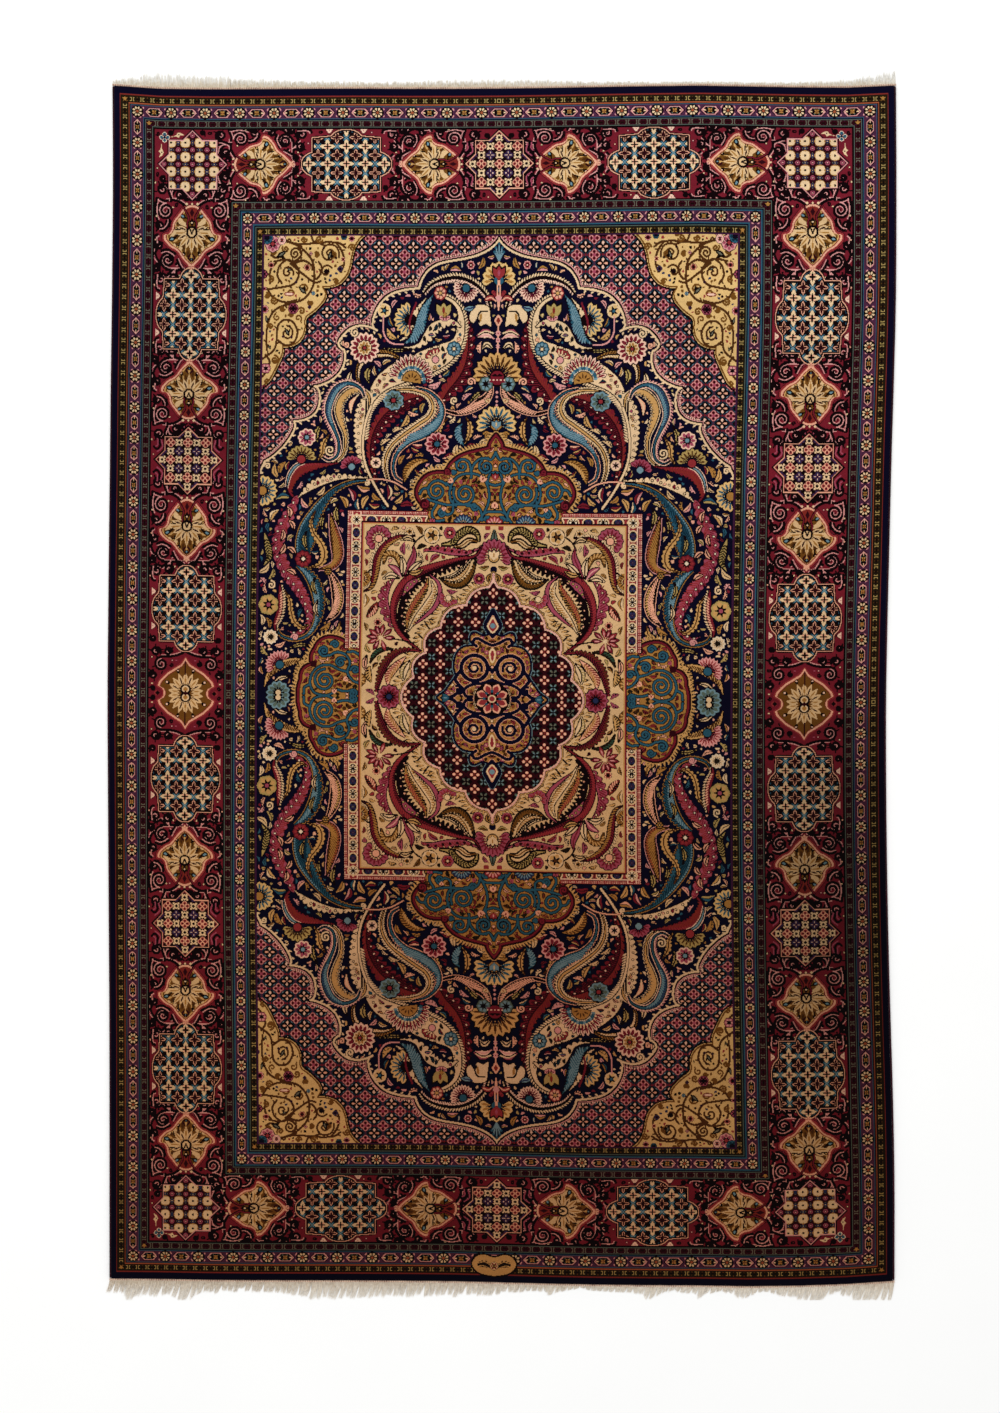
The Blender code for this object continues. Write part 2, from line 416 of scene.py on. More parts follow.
@dataclass(frozen=True)
class Pen:
    """Draws on a chart from a place of its own, turned, scaled or mirrored.

    Attributes:
        chart: the chart to draw on.
        x: where the pen's origin lies, in mm.
        y: where the pen's origin lies, in mm.
        turn: how far it is turned anticlockwise, in degrees.
        scale: how much larger it draws.
        mirror: whether its own y runs the other way.
    """

    chart: Chart
    x: float = 0.0
    y: float = 0.0
    turn: float = 0.0
    scale: float = 1.0
    mirror: bool = False

    def place(self, points: Path) -> Points:
        """Points of the pen's own plane as points of the chart.

        Args:
            points: points of the pen's plane, in mm.

        Returns:
            The same points on the chart.
        """
        own = np.asarray(points, float) * self.scale
        if self.mirror:
            own = own * (1, -1)
        c, s = math.cos(math.radians(self.turn)), math.sin(math.radians(self.turn))
        return np.stack([own[:, 0] * c - own[:, 1] * s, own[:, 0] * s + own[:, 1] * c], 1) + (self.x, self.y)

    def at(self, x: float, y: float, turn: float = 0.0, scale: float = 1.0, mirror: bool = False) -> "Pen":
        """A pen placed relative to this one.

        Args:
            x: place along this pen's x.
            y: place along this pen's y.
            turn: how far it is turned, in degrees.
            scale: how much larger it draws.
            mirror: whether its y is the other way round.

        Returns:
            The new pen.
        """
        centre = self.place([(x, y)])[0]
        turn = -turn if self.mirror else turn
        return Pen(
            self.chart,
            centre[0],
            centre[1],
            self.turn + turn,
            self.scale * scale,
            self.mirror != mirror,
        )

    def flipped(self) -> "Pen":
        """A pen here whose x runs the other way."""
        return self.at(0, 0, 180, mirror=True)

    def toward(self, place: Sequence[float], direction: Sequence[float]) -> "Pen":
        """A pen at a place, with its x along a direction."""
        return self.at(place[0], place[1], math.degrees(math.atan2(direction[1], direction[0])))

    def fill(self, outline: Path, yarn: Yarn) -> None:
        """Fill an outline."""
        self.chart.fill(self.place(outline), yarn)

    def line(self, path: Path, width: float, yarn: Yarn) -> None:
        """Draw a line. Its width isn't scaled, because a line is counted in knots."""
        self.chart.trace(self.place(path), width, yarn)

    def lines(self, path: Path, *layers: tuple[float, Yarn]) -> None:
        """Draw lines over each other, each given as width and yarn."""
        for width, yarn in layers:
            self.line(path, width, yarn)

    def stroke(self, points: Sequence[Sequence[float]], width: float, yarn: Yarn) -> None:
        """Draw a smooth line through points."""
        self.line(smooth(points), width, yarn)

    def strokes(self, points: Sequence[Sequence[float]], *layers: tuple[float, Yarn]) -> None:
        """Draw smooth lines over each other, each given as width and yarn."""
        self.lines(smooth(points), *layers)

    def blob(self, points: Sequence[Sequence[float]], yarn: Yarn) -> None:
        """Fill a smooth closed shape."""
        self.fill(smooth(points, 5, True), yarn)

    def ring(self, outline: Points, width: float, yarn: Yarn) -> None:
        """Draw a closed line."""
        placed = self.place(outline)
        self.chart.trace(np.vstack([placed, placed[:1]]), width, yarn)

    def disc(self, x: float, y: float, radius: float, yarn: Yarn) -> None:
        """Fill a disc."""
        self.fill(circle((x, y), radius), yarn)

    def discs(self, x: float, y: float, *layers: tuple[float, Yarn]) -> None:
        """Fill discs over each other, each given as radius and yarn."""
        for radius, yarn in layers:
            self.disc(x, y, radius, yarn)

    def mask(self, outline: Path) -> np.ndarray:
        """Chart-sized array that is true inside an outline."""
        return self.chart.mask(self.place(outline))

    def petal(
        self, start: float, end: float, width: float, angle: float, yarn: Yarn, fullness: float = 0.62
    ) -> None:
        """Fill a drop-shaped petal that points away from the origin.

        Args:
            start: distance from the origin at which it starts.
            end: distance at which it ends.
            width: its greatest width.
            angle: its direction, in degrees.
            yarn: its yarn.
            fullness: where it is widest, as a share of its length.
        """
        share = np.linspace(0, 1, 9)
        swell = np.sin(np.pi * share ** (math.log(0.5) / math.log(fullness))) * width / 2
        along = start + (end - start) * share
        outline = np.vstack([np.stack([along, swell], 1), np.stack([along, -swell], 1)[::-1]])
        self.at(0, 0, angle).fill(outline, yarn)


# ---------------------------------------------------------------------------------------------
# Small ornaments that several parts share
# ---------------------------------------------------------------------------------------------


def star_outline(tip: float, square: float) -> Points:
    """Eight-pointed star of a square and a square on its corner.

    Args:
        tip: distance of the four axial tips.
        square: half side of the upright square.

    Returns:
        The sixteen corners.
    """
    notch = tip - square
    corner = [(tip, 0), (square, notch), (square, square), (notch, square)]
    points = []
    for quarter in range(4):
        a = math.radians(90 * quarter)
        for x, y in corner:
            points.append((x * math.cos(a) - y * math.sin(a), x * math.sin(a) + y * math.cos(a)))
    return np.array(points)


def rosette(
    pen: Pen,
    radius: float,
    petals: int = 8,
    petal: Yarn = Yarn.CREAM,
    ground: Yarn | None = Yarn.INK,
    heart: Yarn = Yarn.RUST,
    turn: float = 22.5,
) -> None:
    """Round flower of drop petals on a dark ground.

    Args:
        pen: pen to draw with.
        radius: its radius in mm.
        petals: number of petals.
        petal: yarn of the petals.
        ground: yarn of the disc below the petals, or None.
        heart: yarn of the heart.
        turn: angle of the first petal, in degrees.
    """
    if ground is not None:
        pen.disc(0, 0, radius * 1.2, ground)
    for k in range(petals):
        pen.petal(radius * 0.34, radius, 2 * math.pi * radius / petals * 0.5, turn + 360 * k / petals, petal)
    pen.disc(0, 0, radius * 0.27, heart)


def floret(pen: Pen, radius: float, petal: Yarn, heart: Yarn, petals: int = 4, turn: float = 45.0) -> None:
    """Small flower of round petals.

    Args:
        pen: pen to draw with.
        radius: its radius in mm.
        petal: yarn of the petals.
        heart: yarn of the heart.
        petals: number of petals.
        turn: angle of the first petal, in degrees.
    """
    for k in range(petals):
        pen.petal(radius * 0.12, radius, radius * 0.82, turn + 360 * k / petals, petal, 0.6)
    pen.disc(0, 0, radius * 0.2, heart)


def tick(pen: Pen, yarn: Yarn, tall: float = 6.0) -> None:
    """Pair of small upright bars with feet, as in guard stripes.

    Args:
        pen: pen to draw with.
        yarn: its yarn.
        tall: half the height of the bars.
    """
    for side in (-1, 1):
        pen.line([(side * 3, -tall), (side * 3, tall)], 1.2, yarn)
        for end in (-1, 1):
            pen.line([(side * 3, end * tall), (side * 6, end * tall)], 1.2, yarn)


def lozenge(pen: Pen) -> None:
    """Long six-sided leaf panel with a gold floret, between two rosettes.

    Args:
        pen: pen to draw with.
    """
    shape = np.array([(-25, 0), (-14, 12), (14, 12), (25, 0), (14, -12), (-14, -12)])
    for grow, yarn in ((1.22, Yarn.INK), (1.08, Yarn.PINK), (0.9, Yarn.INK)):
        pen.fill(shape * grow, yarn)
    for side in (-1, 1):
        pen.at(side * 17, 0).petal(-5, 5, 4, 0 if side > 0 else 180, Yarn.CREAM, 0.5)
        for end in (-1, 1):
            pen.disc(side * 7, end * 7.5, 2, Yarn.SAGE)
            pen.at(side * 34, end * 11).petal(-5, 5, 4, 60 * side * end, Yarn.PINK, 0.5)
    floret(pen, 8, Yarn.OCHRE, Yarn.RUST)


# ---------------------------------------------------------------------------------------------
# Guard stripes
# ---------------------------------------------------------------------------------------------

# Stripes are narrower at the ends than at the sides. Depths in from the edge, in mm.
MAIN_BORDER = (133.0, 373.0)  # mm in from the side, where the widest band begins and ends
SIDE_DEPTHS = (0.0, *MAIN_BORDER, 476.0)
END_DEPTHS = (0.0, 125.0, 344.0, 448.0)
TICK_PITCH = 31.5  # mm from one pair of ticks to the next
LOZENGE_PITCH = 106.0  # mm between rosettes for which a lozenge is drawn at its full size


def end_depth(side_depth: float) -> float:
    """Depth at an end of the stripe that lies at this depth at a side."""
    return float(np.interp(side_depth, SIDE_DEPTHS, END_DEPTHS))


def side_line(side_depth: float) -> float:
    """How far from the middle a stripe lies at a side."""
    return HALF_WIDTH - side_depth


def end_line(side_depth: float) -> float:
    """How far from the middle a stripe lies at an end."""
    return HALF_LENGTH - end_depth(side_depth)


@dataclass(frozen=True)
class GuardStripes:
    """Narrow stripes on both sides of the main border.

    Attributes:
        stripes: inner edge of each plain stripe, in mm at a side, and its yarn.
        rosette_bands: middle of each rosette band, and its repeats at a side and at an end.
        tick_bands: middle of each tick band, half height of a tick, and its yarns.
    """

    stripes: tuple[tuple[float, Yarn], ...] = (
        (24, Yarn.NAVY), (27, Yarn.BRICK), (50, Yarn.OLIVE), (52, Yarn.SOOT), (55, Yarn.RUST),
        (58, Yarn.MAROON), (60, Yarn.TEAL), (98, Yarn.MAUVE), (100, Yarn.TEAL), (104, Yarn.NAVY),
        (106, Yarn.SAGE), (126, Yarn.MAROON), (128, Yarn.SAGE), (134, Yarn.INK), (372, Yarn.CRIMSON),
        (376, Yarn.INK), (378, Yarn.SAGE), (398, Yarn.MAROON), (400, Yarn.SAGE), (404, Yarn.NAVY),
        (408, Yarn.TEAL), (442, Yarn.MAUVE), (446, Yarn.TEAL), (450, Yarn.NAVY), (452, Yarn.SAGE),
        (472, Yarn.OLIVE), (478, Yarn.PLUM),
    )  # fmt: skip
    rosette_bands: tuple[tuple[float, int, int, float], ...] = ((79, 18, 10, 1.0), (425, 15, 7, 0.94))
    tick_bands: tuple[tuple[float, float, Yarn, Yarn], ...] = (
        (40, 5.5, Yarn.STRAW, Yarn.WALNUT),
        (116, 5.5, Yarn.GREY, Yarn.PLUM),
        (388, 5.5, Yarn.GREY, Yarn.PLUM),
        (464, 4.5, Yarn.STRAW, Yarn.WALNUT),
    )

    def draw(self, chart: Chart) -> None:
        """Draw the plain stripes, then what stands in them.

        Args:
            chart: the quarter's chart.
        """
        x, y = chart.squares()
        depth = np.minimum(HALF_WIDTH - x, np.interp(HALF_LENGTH - y, END_DEPTHS, SIDE_DEPTHS))
        for inner, yarn in reversed(self.stripes):
            chart.knots[depth < inner] = int(yarn)
        for depth_mm, at_side, at_end, size in self.rosette_bands:
            self.rosette_band(Pen(chart), depth_mm, at_side, at_end, size)
        for depth_mm, tall, light, dark in self.tick_bands:
            self.tick_band(Pen(chart), depth_mm, tall, light, dark)

    def rosette_band(self, pen: Pen, depth: float, at_side: int, at_end: int, size: float) -> None:
        """Draw rosettes with long lozenges between them.

        Args:
            pen: the pen.
            depth: middle of the band, in mm in from the side.
            at_side: repeats from the rug's middle to the corner, along a side.
            at_end: whole repeats along an end, where a lozenge stands in the middle.
            size: scale of the flowers.
        """
        x, y = side_line(depth), end_line(depth)
        side_pitch, end_pitch = y / at_side, x / (at_end + 0.5)
        for k in range(at_side + 1):
            rosette(pen.at(x, k * side_pitch, scale=size), 16)
            if k < at_side:
                lozenge(pen.at(x, (k + 0.5) * side_pitch, 90, size * side_pitch / LOZENGE_PITCH))
        for k in range(at_end + 1):
            if k < at_end:
                rosette(pen.at((k + 0.5) * end_pitch, y, scale=size), 16)
            lozenge(pen.at(k * end_pitch, y, 0, size))

    def tick_band(self, pen: Pen, depth: float, tall: float, light: Yarn, dark: Yarn) -> None:
        """Draw pairs of ticks, and a little star where the band turns the corner.

        Args:
            pen: pen to draw with.
            depth: depth of the band's middle line from the rug's edge.
            tall: half the height of the ticks.
            light: yarn of the ticks.
            dark: yarn of the dots between them.
        """
        x, y = side_line(depth), end_line(depth)
        for reach, run, turn in ((y, lambda v: (x, v), 90.0), (x, lambda v: (v, y), 0.0)):
            count = round(reach / TICK_PITCH)
            for k in range(2 * count):
                place = pen.at(*run((k + 0.5) * reach / count / 2), turn)
                if k % 2 == 0:
                    tick(place, light, tall)
                else:
                    for across in (-tall, 0, tall):
                        place.disc(0, across, 1.3, dark)
                    place.line([(-4, 0), (4, 0)], 2, Yarn.SOOT)
        for k in range(5):
            pen.at(x, y).petal(0, 8, 4, 90 + 72 * k, Yarn.OCHRE, 0.4)


# ---------------------------------------------------------------------------------------------
# Main border
# ---------------------------------------------------------------------------------------------


def scroll(pen: Pen, x: float, y: float, radius: float, start: float, turns: float) -> None:
    """Draw a tight scroll: a black vine that winds in, with a rose line beside it and small thorns.

    Args:
        pen: pen to draw with.
        x: place of its middle.
        y: place of its middle.
        radius: radius at which it begins.
        start: angle at which it begins, in degrees.
        turns: number of turns, negative to wind the other way.
    """
    inner = radius * 0.16
    pen.line(spiral((x, y), radius - 5.5, inner, start, turns), 3.2, Yarn.PINK)
    pen.line(spiral((x, y), radius, inner + 3, start, turns), 6.4, Yarn.INK)
    pen.disc(x, y, 2.4, Yarn.INK)
    for k in range(3):
        angle = math.radians(start + math.copysign(50 + 75 * k, turns))
        near, far = radius + 1, radius + 7
        thorn = [
            (x + r * math.cos(angle + r * 0.01), y + r * math.sin(angle + r * 0.01)) for r in (near, far)
        ]
        pen.line(thorn, 3, Yarn.INK)


def vine(pen: Pen, points: Sequence[Sequence[float]], side: float = 4.5) -> None:
    """Draw a black vine with a rose line at one side of it.

    Args:
        pen: pen to draw with.
        points: points that it passes.
        side: distance of the rose line, negative for the right side.
    """
    path, ahead = even_points(smooth(points), 2.0)
    beside = path + np.stack([-ahead[:, 1], ahead[:, 0]], 1) * side
    pen.line(beside, 3, Yarn.PINK)
    pen.line(path, 6.6, Yarn.INK)


def strew_scrolls(
    chart: Chart, inside: np.ndarray, seed: int, ground: Yarn = Yarn.CRIMSON, line: Yarn = Yarn.INK,
    shade: Yarn = Yarn.PINK, thick: float = 4.6, winding: float = 1.6,
    sizes: Sequence[float] = (19, 16, 13, 11, 9, 7.5, 6, 4.5),
) -> None:  # fmt: skip
    """Fill bare ground with small scrolls and buds, the largest first.

    Args:
        chart: the chart.
        inside: chart-sized array, true where they may go.
        seed: seed of the random draws.
        ground: yarn of the bare ground.
        line: yarn of the scrolls.
        shade: yarn of the thin line inside each scroll.
        thick: width of the scrolls' lines, in mm.
        winding: turns of each scroll.
        sizes: their radii, in mm.
    """
    random = np.random.default_rng(seed)
    for size in sizes:
        free = np.argwhere(inside & (chart.knots == int(ground)))
        for row, column in free[random.integers(0, len(free), 500)]:
            place = (column * KNOT, row * KNOT)
            if not chart.free(circle(place, size + 3.5), inside, ground):
                continue
            pen, start = Pen(chart, *place), random.uniform(0, 360)
            turns = winding if random.random() < 0.5 else -winding
            if size > 7:
                pen.line(spiral((0, 0), size - 4.5, size * 0.16, start, turns), 3, shade)
                pen.line(spiral((0, 0), size, size * 0.16 + 1, start, turns), thick, line)
                tail = math.radians(start) - math.copysign(0.25, turns)
                ends = ((math.radians(start), size), (tail, size + 5))
                pen.line([(r * math.cos(a), r * math.sin(a)) for a, r in ends], thick - 0.6, line)
            elif size > 5:
                pen.line(spiral((0, 0), size, 2, start, turns * 0.6), 3, line)
            else:
                bud(pen, 0, 0, (Yarn.CREAM, Yarn.SALMON, Yarn.PINK)[int(random.integers(0, 3))], 3.4)


def bud(pen: Pen, x: float, y: float, yarn: Yarn, size: float = 4.0) -> None:
    """Draw a small round bud."""
    pen.discs(x, y, (size, Yarn.INK), (size * 0.7, yarn))


@dataclass(frozen=True)
class MainBorder:
    """Crimson border with stars, gold palmettes and teal quatrefoils among scrolling vines.

    Attributes:
        end_stations: place along the end of each motif, in mm from the middle.
        side_stations: place along the side of each motif, in mm from the middle.
        half_side: half the width of the band along a side, in mm.
        half_end: half its width along an end.
    """

    end_stations: tuple[float, ...] = (0.0, 199.0, 470.0, 738.0)
    side_stations: tuple[float, ...] = (0.0, 266.0, 518.0, 716.0, 925.0, 1160.0, 1395.0)
    half_side: float = 119.0
    half_end: float = 109.0

    def draw(self, chart: Chart) -> None:
        """Draw the whole border in the quarter.

        Args:
            chart: the quarter's chart.
        """
        pen = Pen(chart)
        x = sum(side_line(depth) for depth in MAIN_BORDER) / 2
        y = sum(end_line(depth) for depth in MAIN_BORDER) / 2
        across, along = chart.squares()
        inside_side = np.abs(across - x) < self.half_side
        inside_end = np.abs(along - y) < self.half_end
        star, first, quatre, second = self.end_stations
        with chart.only(inside_end & (across < x + self.half_side)):
            self.palmette_vines(pen.at(second, y, -90))
            self.palmette_vines(pen.at(first, y, 90))
            self.quatrefoil(pen.at(quatre, y), half=103, tall=80, end=137, crest=108, crest_half=45)
            self.palmette(pen.at(second, y, -90))
            self.palmette(pen.at(first, y, 90))
            self.pink_star(pen.at(star, y))
        middle, quatre_1, palm_1, pink, palm_2, quatre_2, palm_3 = self.side_stations
        with chart.only(inside_side & (along < y + self.half_end)):
            for station, turn in ((palm_1, 0.0), (palm_2, 180.0), (palm_3, 0.0)):
                self.palmette_vines(pen.at(x, station, turn, 1.04))
            self.double_vines(pen.at(x, middle))
            for station in (quatre_1, quatre_2):
                self.quatrefoil(
                    pen.at(x, station, 90), half=99, tall=82, end=131, crest=110, crest_half=45
                )
            for station, turn in ((palm_1, 0.0), (palm_2, 180.0), (palm_3, 0.0)):
                self.palmette(pen.at(x, station, turn))
            self.double_palmette(pen.at(x, middle))
            self.pink_star(pen.at(x, pink))
            self.corner_star(pen.at(x, y))
        band = (inside_side & (along < y + self.half_end)) | (inside_end & (across < x + self.half_side))
        strew_scrolls(chart, band, seed=31)

    def corner_star(self, pen: Pen) -> None:
        """Star on maroon with large cream blossoms between ring florets.

        Args:
            pen: pen to draw with.
        """
        outline = star_outline(107, 76)
        pen.fill(outline * 1.045, Yarn.INK)
        pen.fill(outline, Yarn.PINK)
        pen.fill(outline * 0.965, Yarn.MAROON)
        with pen.chart.only(pen.mask(outline * 0.965)):
            for a in np.arange(-90, 91, 7.5):
                for k in (-45, 0, 45):
                    pen.disc(a, k, 1.6, Yarn.SAGE)
                    pen.disc(k, a, 1.6, Yarn.SAGE)
            for i in (-67.5, -22.5, 22.5, 67.5):
                for j in (-67.5, -22.5, 22.5, 67.5):
                    for k in range(8):
                        pen.at(i, j).disc(11 * math.cos(k * 0.785), 11 * math.sin(k * 0.785), 6.4, Yarn.OCHRE)
                    for k in range(4):
                        pen.at(i, j).disc(
                            6 * math.cos(k * 1.57 + 0.78), 6 * math.sin(k * 1.57 + 0.78), 9.5, Yarn.CREAM
                        )
                    pen.disc(i, j, 3.6, Yarn.INK)
            for i in (-90, -45, 0, 45, 90):
                for j in (-90, -45, 0, 45, 90):
                    place = pen.at(i, j)
                    for spot in circle((0, 0), 8, 4):
                        place.disc(*spot, 2.4, Yarn.INK)
                    place.discs(0, 0, (7.4, Yarn.ROSE), (4.2, Yarn.MAROON), (2.2, Yarn.PINK))
            for i in (-67.5, -22.5, 22.5, 67.5):
                for j in (-45, 0, 45):
                    for u, v in ((i, j), (j, i)):
                        floret(pen.at(u, v), 7, Yarn.DUSK if (i + j) % 4 else Yarn.MOSS, Yarn.CREAM)
        corner = pen.at(88, 84)
        for k in range(4):
            corner.petal(1, 17, 15, 90 * k, Yarn.WHITE, 0.62)
            corner.petal(2, 15, 11, 90 * k, Yarn.TEAL, 0.62)
        corner.disc(0, 0, 3.5, Yarn.NAVY)
        for u, v, turn in ((46, 92, 172), (97, 40, -82)):
            leaf = pen.at(u, v, turn)
            leaf.blob([(-22, 4), (-8, 1), (2, -6), (12, -3), (20, 5), (8, 3), (2, 9), (-6, 5)], Yarn.CREAM)
            leaf.disc(3, 0, 2.2, Yarn.INK)

    def pink_star(self, pen: Pen) -> None:
        """Star on crimson ground, worked as a net of cream knots and salmon and plum quatrefoils.

        Args:
            pen: pen to draw with.
        """
        for right, up in QUARTERS:
            pen.stroke(
                [
                    (right * 93, up * 66), (right * 90, up * 44), (right * 100, up * 33),
                    (right * 109, up * 40),
                ],
                6, Yarn.INK,
            )
            pen.stroke([(right * 98, up * 66), (right * 97, up * 48), (right * 103, up * 42)], 2, Yarn.ROSE)
            pen.stroke([(right * 86, up * 62), (right * 82, up * 40), (right * 98, up * 25)], 2, Yarn.ROSE)
        outline = star_outline(105, 75)
        pen.fill(outline * 1.06, Yarn.INK)
        pen.fill(outline, Yarn.SALMON)
        pen.fill(outline * 0.965, Yarn.CRIMSON)
        pen.fill(outline * 0.93, Yarn.MAROON)
        pitch = 27.5
        with pen.chart.only(pen.mask(outline * 0.955)):
            for odd in (False, True):
                for i in range(-3, 4):
                    for j in range(-3, 4):
                        if odd == bool((i + j) % 2):
                            self.star_stitch(pen.at(i * pitch, j * pitch), odd, i % 2 == 1)

    def star_stitch(self, pen: Pen, cream: bool, plum: bool) -> None:
        """One motif in the net of the star: a cream knot or a quatrefoil.

        Args:
            pen: pen to draw with.
            cream: whether it is a cream knot.
            plum: whether a quatrefoil is plum instead of salmon.
        """
        if cream:
            for k in range(4):
                pen.petal(2, 21, 10, 45 + 90 * k, Yarn.INK, 0.7)
            for k in range(4):
                pen.petal(0, 15, 7, 45 + 90 * k, Yarn.CREAM, 0.8)
                pen.petal(0, 10, 9, 90 * k, Yarn.CREAM, 0.6)
            pen.disc(0, 0, 4.6, Yarn.INK)
            return
        pen.disc(0, 0, 16.5 if plum else 15, Yarn.SOOT if plum else Yarn.MAROON)
        for k in range(4):
            pen.disc(*circle((0, 0), 8, 4)[k], 7.4, Yarn.PLUM if plum else Yarn.SALMON)
            pen.disc(*circle((0, 0), 8.6, 4)[k], 4.8, Yarn.DUSK if plum else Yarn.MADDER)
            pen.petal(2, 11, 2.4, 90 * k, Yarn.BLUSH if plum else Yarn.INK, 0.6)

    def quatrefoil(
        self, pen: Pen, half: float, tall: float, end: float, crest: float, crest_half: float
    ) -> None:
        """Lobed panel worked as a net of cream and salmon stars on dark diamonds.

        Args:
            pen: the pen, with its x along the border.
            half: half length of the panel's square part.
            tall: half height of that part.
            end: distance to the tip of an end lobe.
            crest: distance to the top of a side lobe.
            crest_half: half width of a side lobe.
        """
        lobe = end - half
        right = np.vstack([[(half, -tall)], arc((half - 2, 0), 36, -72, 72), [(half, tall)]])
        right[1:-1, 0] = half + (right[1:-1, 0] - right[1, 0]) * lobe / (34 - (right[1, 0] - half))
        crest_arc = arc((0, 0), 1.0, 15, 165) * (crest_half / 0.966, crest - tall)
        crest_arc[:, 1] += tall - (crest - tall) * 0.1
        upper = np.vstack([[(half, tall)], crest_arc, [(-half, tall)]])
        outline = np.vstack([right, upper, -right, -upper])
        for grow, yarn in ((6, Yarn.INK), (3.6, Yarn.SALMON), (1.2, Yarn.INK)):
            pen.ring(outline, grow * 2, yarn)
        pen.fill(outline, Yarn.INK)
        px, py = 57.5 * half / 101, 55.6 * tall / 81
        with pen.chart.only(pen.mask(outline * 0.975)):
            pen.ring(outline, 6, Yarn.TEAL)
            for i in range(-7, 8):
                for j in range(-7, 8):
                    place = pen.at(i * px / 2, j * py / 2)
                    if (i + j) % 2:
                        for k in range(4):
                            place.petal(0, 15, 7, 45 + 90 * k, Yarn.TEAL, 0.35)
                            place.petal(2, 9, 4, 45 + 90 * k, Yarn.SKY, 0.5)
                        place.disc(0, 0, 2.6, Yarn.SKY)
                        continue
                    pale = i % 2 == 0
                    petal, core = (Yarn.CREAM, Yarn.SOOT) if pale else (Yarn.SALMON, Yarn.MAROON)
                    for k in range(4):
                        place.petal(2, 27 if pale else 23, 18 if pale else 15, 90 * k, Yarn.INK, 0.45)
                    for k in range(4):
                        place.petal(2, 25 if pale else 20, 13 if pale else 10, 90 * k, petal, 0.45)
                        place.petal(0, 13 if pale else 17, 5 if pale else 6, 90 * k, core, 0.5)
                        if pale:
                            place.petal(3, 12, 5, 45 + 90 * k, Yarn.SALMON, 0.5)
                        else:
                            place.petal(4, 15, 4, 45 + 90 * k, Yarn.BROWN, 0.5)
        for side, edge in QUARTERS:
            place = pen.at(side * 53, edge * (crest + 1), 0 if edge > 0 else 180)
            place.fill([(-13, 0), (13, 0), (4, -13), (0, -17), (-4, -13)], Yarn.INK)
            place.fill([(-11, 0), (11, 0), (3, -12), (-3, -12)], Yarn.BLUSH)
            place.disc(0, -4, 2, Yarn.ROSE)

    PALMETTE_HALF: ClassVar = (
        (26, 70), (44, 48), (58, 29), (64, 6), (74, -6), (89, -10), (85, -26), (66, -43), (45, -54),
        (28, -75), (13, -90), (0, -99),
    )

    def palmette(self, pen: Pen) -> None:
        """Brown palmette with gold rays round a dark ring, its crown towards +y.

        Args:
            pen: pen to draw with.
        """
        half = smooth(self.PALMETTE_HALF, 4)
        outline = np.vstack([half, (half * (-1, 1))[::-1]])
        pen.ring(outline, 14, Yarn.INK)
        pen.ring(outline, 10, Yarn.MADDER)
        pen.stroke([(-24, 66), (-13, 74), (0, 78), (13, 74), (24, 66)], 8, Yarn.INK)
        for u in (-17, 0, 17):
            pen.disc(u, 83, 3.2, Yarn.CREAM)
        pen.fill(outline, Yarn.SALMON)
        for share, yarn in ((0.925, Yarn.BRICK), (0.89, Yarn.GOLD), (0.84, Yarn.WALNUT)):
            pen.fill(outline * share + (0, -0.5), yarn)
        with pen.chart.only(pen.mask(outline * 0.88)):
            for k in range(-5, 6):
                angle, long = -90 + 21.5 * k, 49 if k % 2 else 61
                pen.petal(14, long, 13.5, angle, Yarn.SAND, 0.5)
                pen.petal(14, long - 6, 5, angle, Yarn.MAROON if k % 2 else Yarn.OCHRE, 0.6)
                pen.petal(long - 10, long + 12, 8, angle + 10.7, Yarn.UMBER, 0.5)
                pen.petal(long - 2, long + 18, 6.5, angle, Yarn.GOLD, 0.5)
            for side in (-1, 1):
                own = pen if side > 0 else pen.flipped()
                for leaf in (
                    [(13, 16), (28, 18), (42, 26), (42, 42), (32, 38), (24, 29), (14, 26)],
                    [(36, 6), (50, -2), (58, -14), (70, -14), (64, -6), (52, 10), (44, 16)],
                    [(30, -44), (44, -42), (54, -34), (60, -38), (46, -50), (34, -56)],
                    [(36, 48), (46, 36), (52, 20), (56, 24), (48, 42), (38, 54)],
                ):
                    own.blob(leaf, Yarn.SAND)
                for u, v, size, turn, spot in (
                    (62, -20, 11, -20, Yarn.SKY), (27, -65, 10, -60, Yarn.BLUSH), (29, 46, 10, 30, Yarn.SKY),
                    (50, 10, 7, 30, Yarn.GOLD), (44, -42, 7, -45, Yarn.GOLD),
                ):
                    seed = own.at(u, v, turn)
                    seed.fill(oval((0, 0), size, size * 0.66, 16), Yarn.SOOT)
                    seed.fill(oval((1, 0), size * 0.5, size * 0.3, 16), spot)
                    seed.line([(-size, 0), (-size * 1.8, size * 0.5)], 3, Yarn.SOOT)
                own.stroke([(4, -64), (10, -72), (5, -82), (0, -90)], 4, Yarn.MAROON)
        pen.discs(0, -77, (5, Yarn.INK), (2.2, Yarn.SKY))
        pen.fill([(-22, 66), (-12, 73), (0, 76), (12, 73), (22, 66), (8, 34), (-8, 34)], Yarn.BRICK)
        pen.stroke([(-24, 67), (-13, 74), (0, 77), (13, 74), (24, 67)], 4, Yarn.SALMON)
        pen.fill([(-7, 57), (0, 70), (7, 57), (0, 44)], Yarn.MAROON)
        for side in (-1, 1):
            path = smooth(
                [(side * 13, 12), (side * 14, 26), (side * 10, 40), (side * 17, 57), (side * 28, 74)]
            )
            pen.line(path, 7, Yarn.INK)
            pen.line(path + (side, 0), 2, Yarn.CRIMSON)
        pen.fill([(-8, 30), (0, 14), (8, 30), (0, 42)], Yarn.INK)
        pen.disc(0, 27, 2.6, Yarn.CREAM)
        pen.disc(0, 0, 18, Yarn.INK)
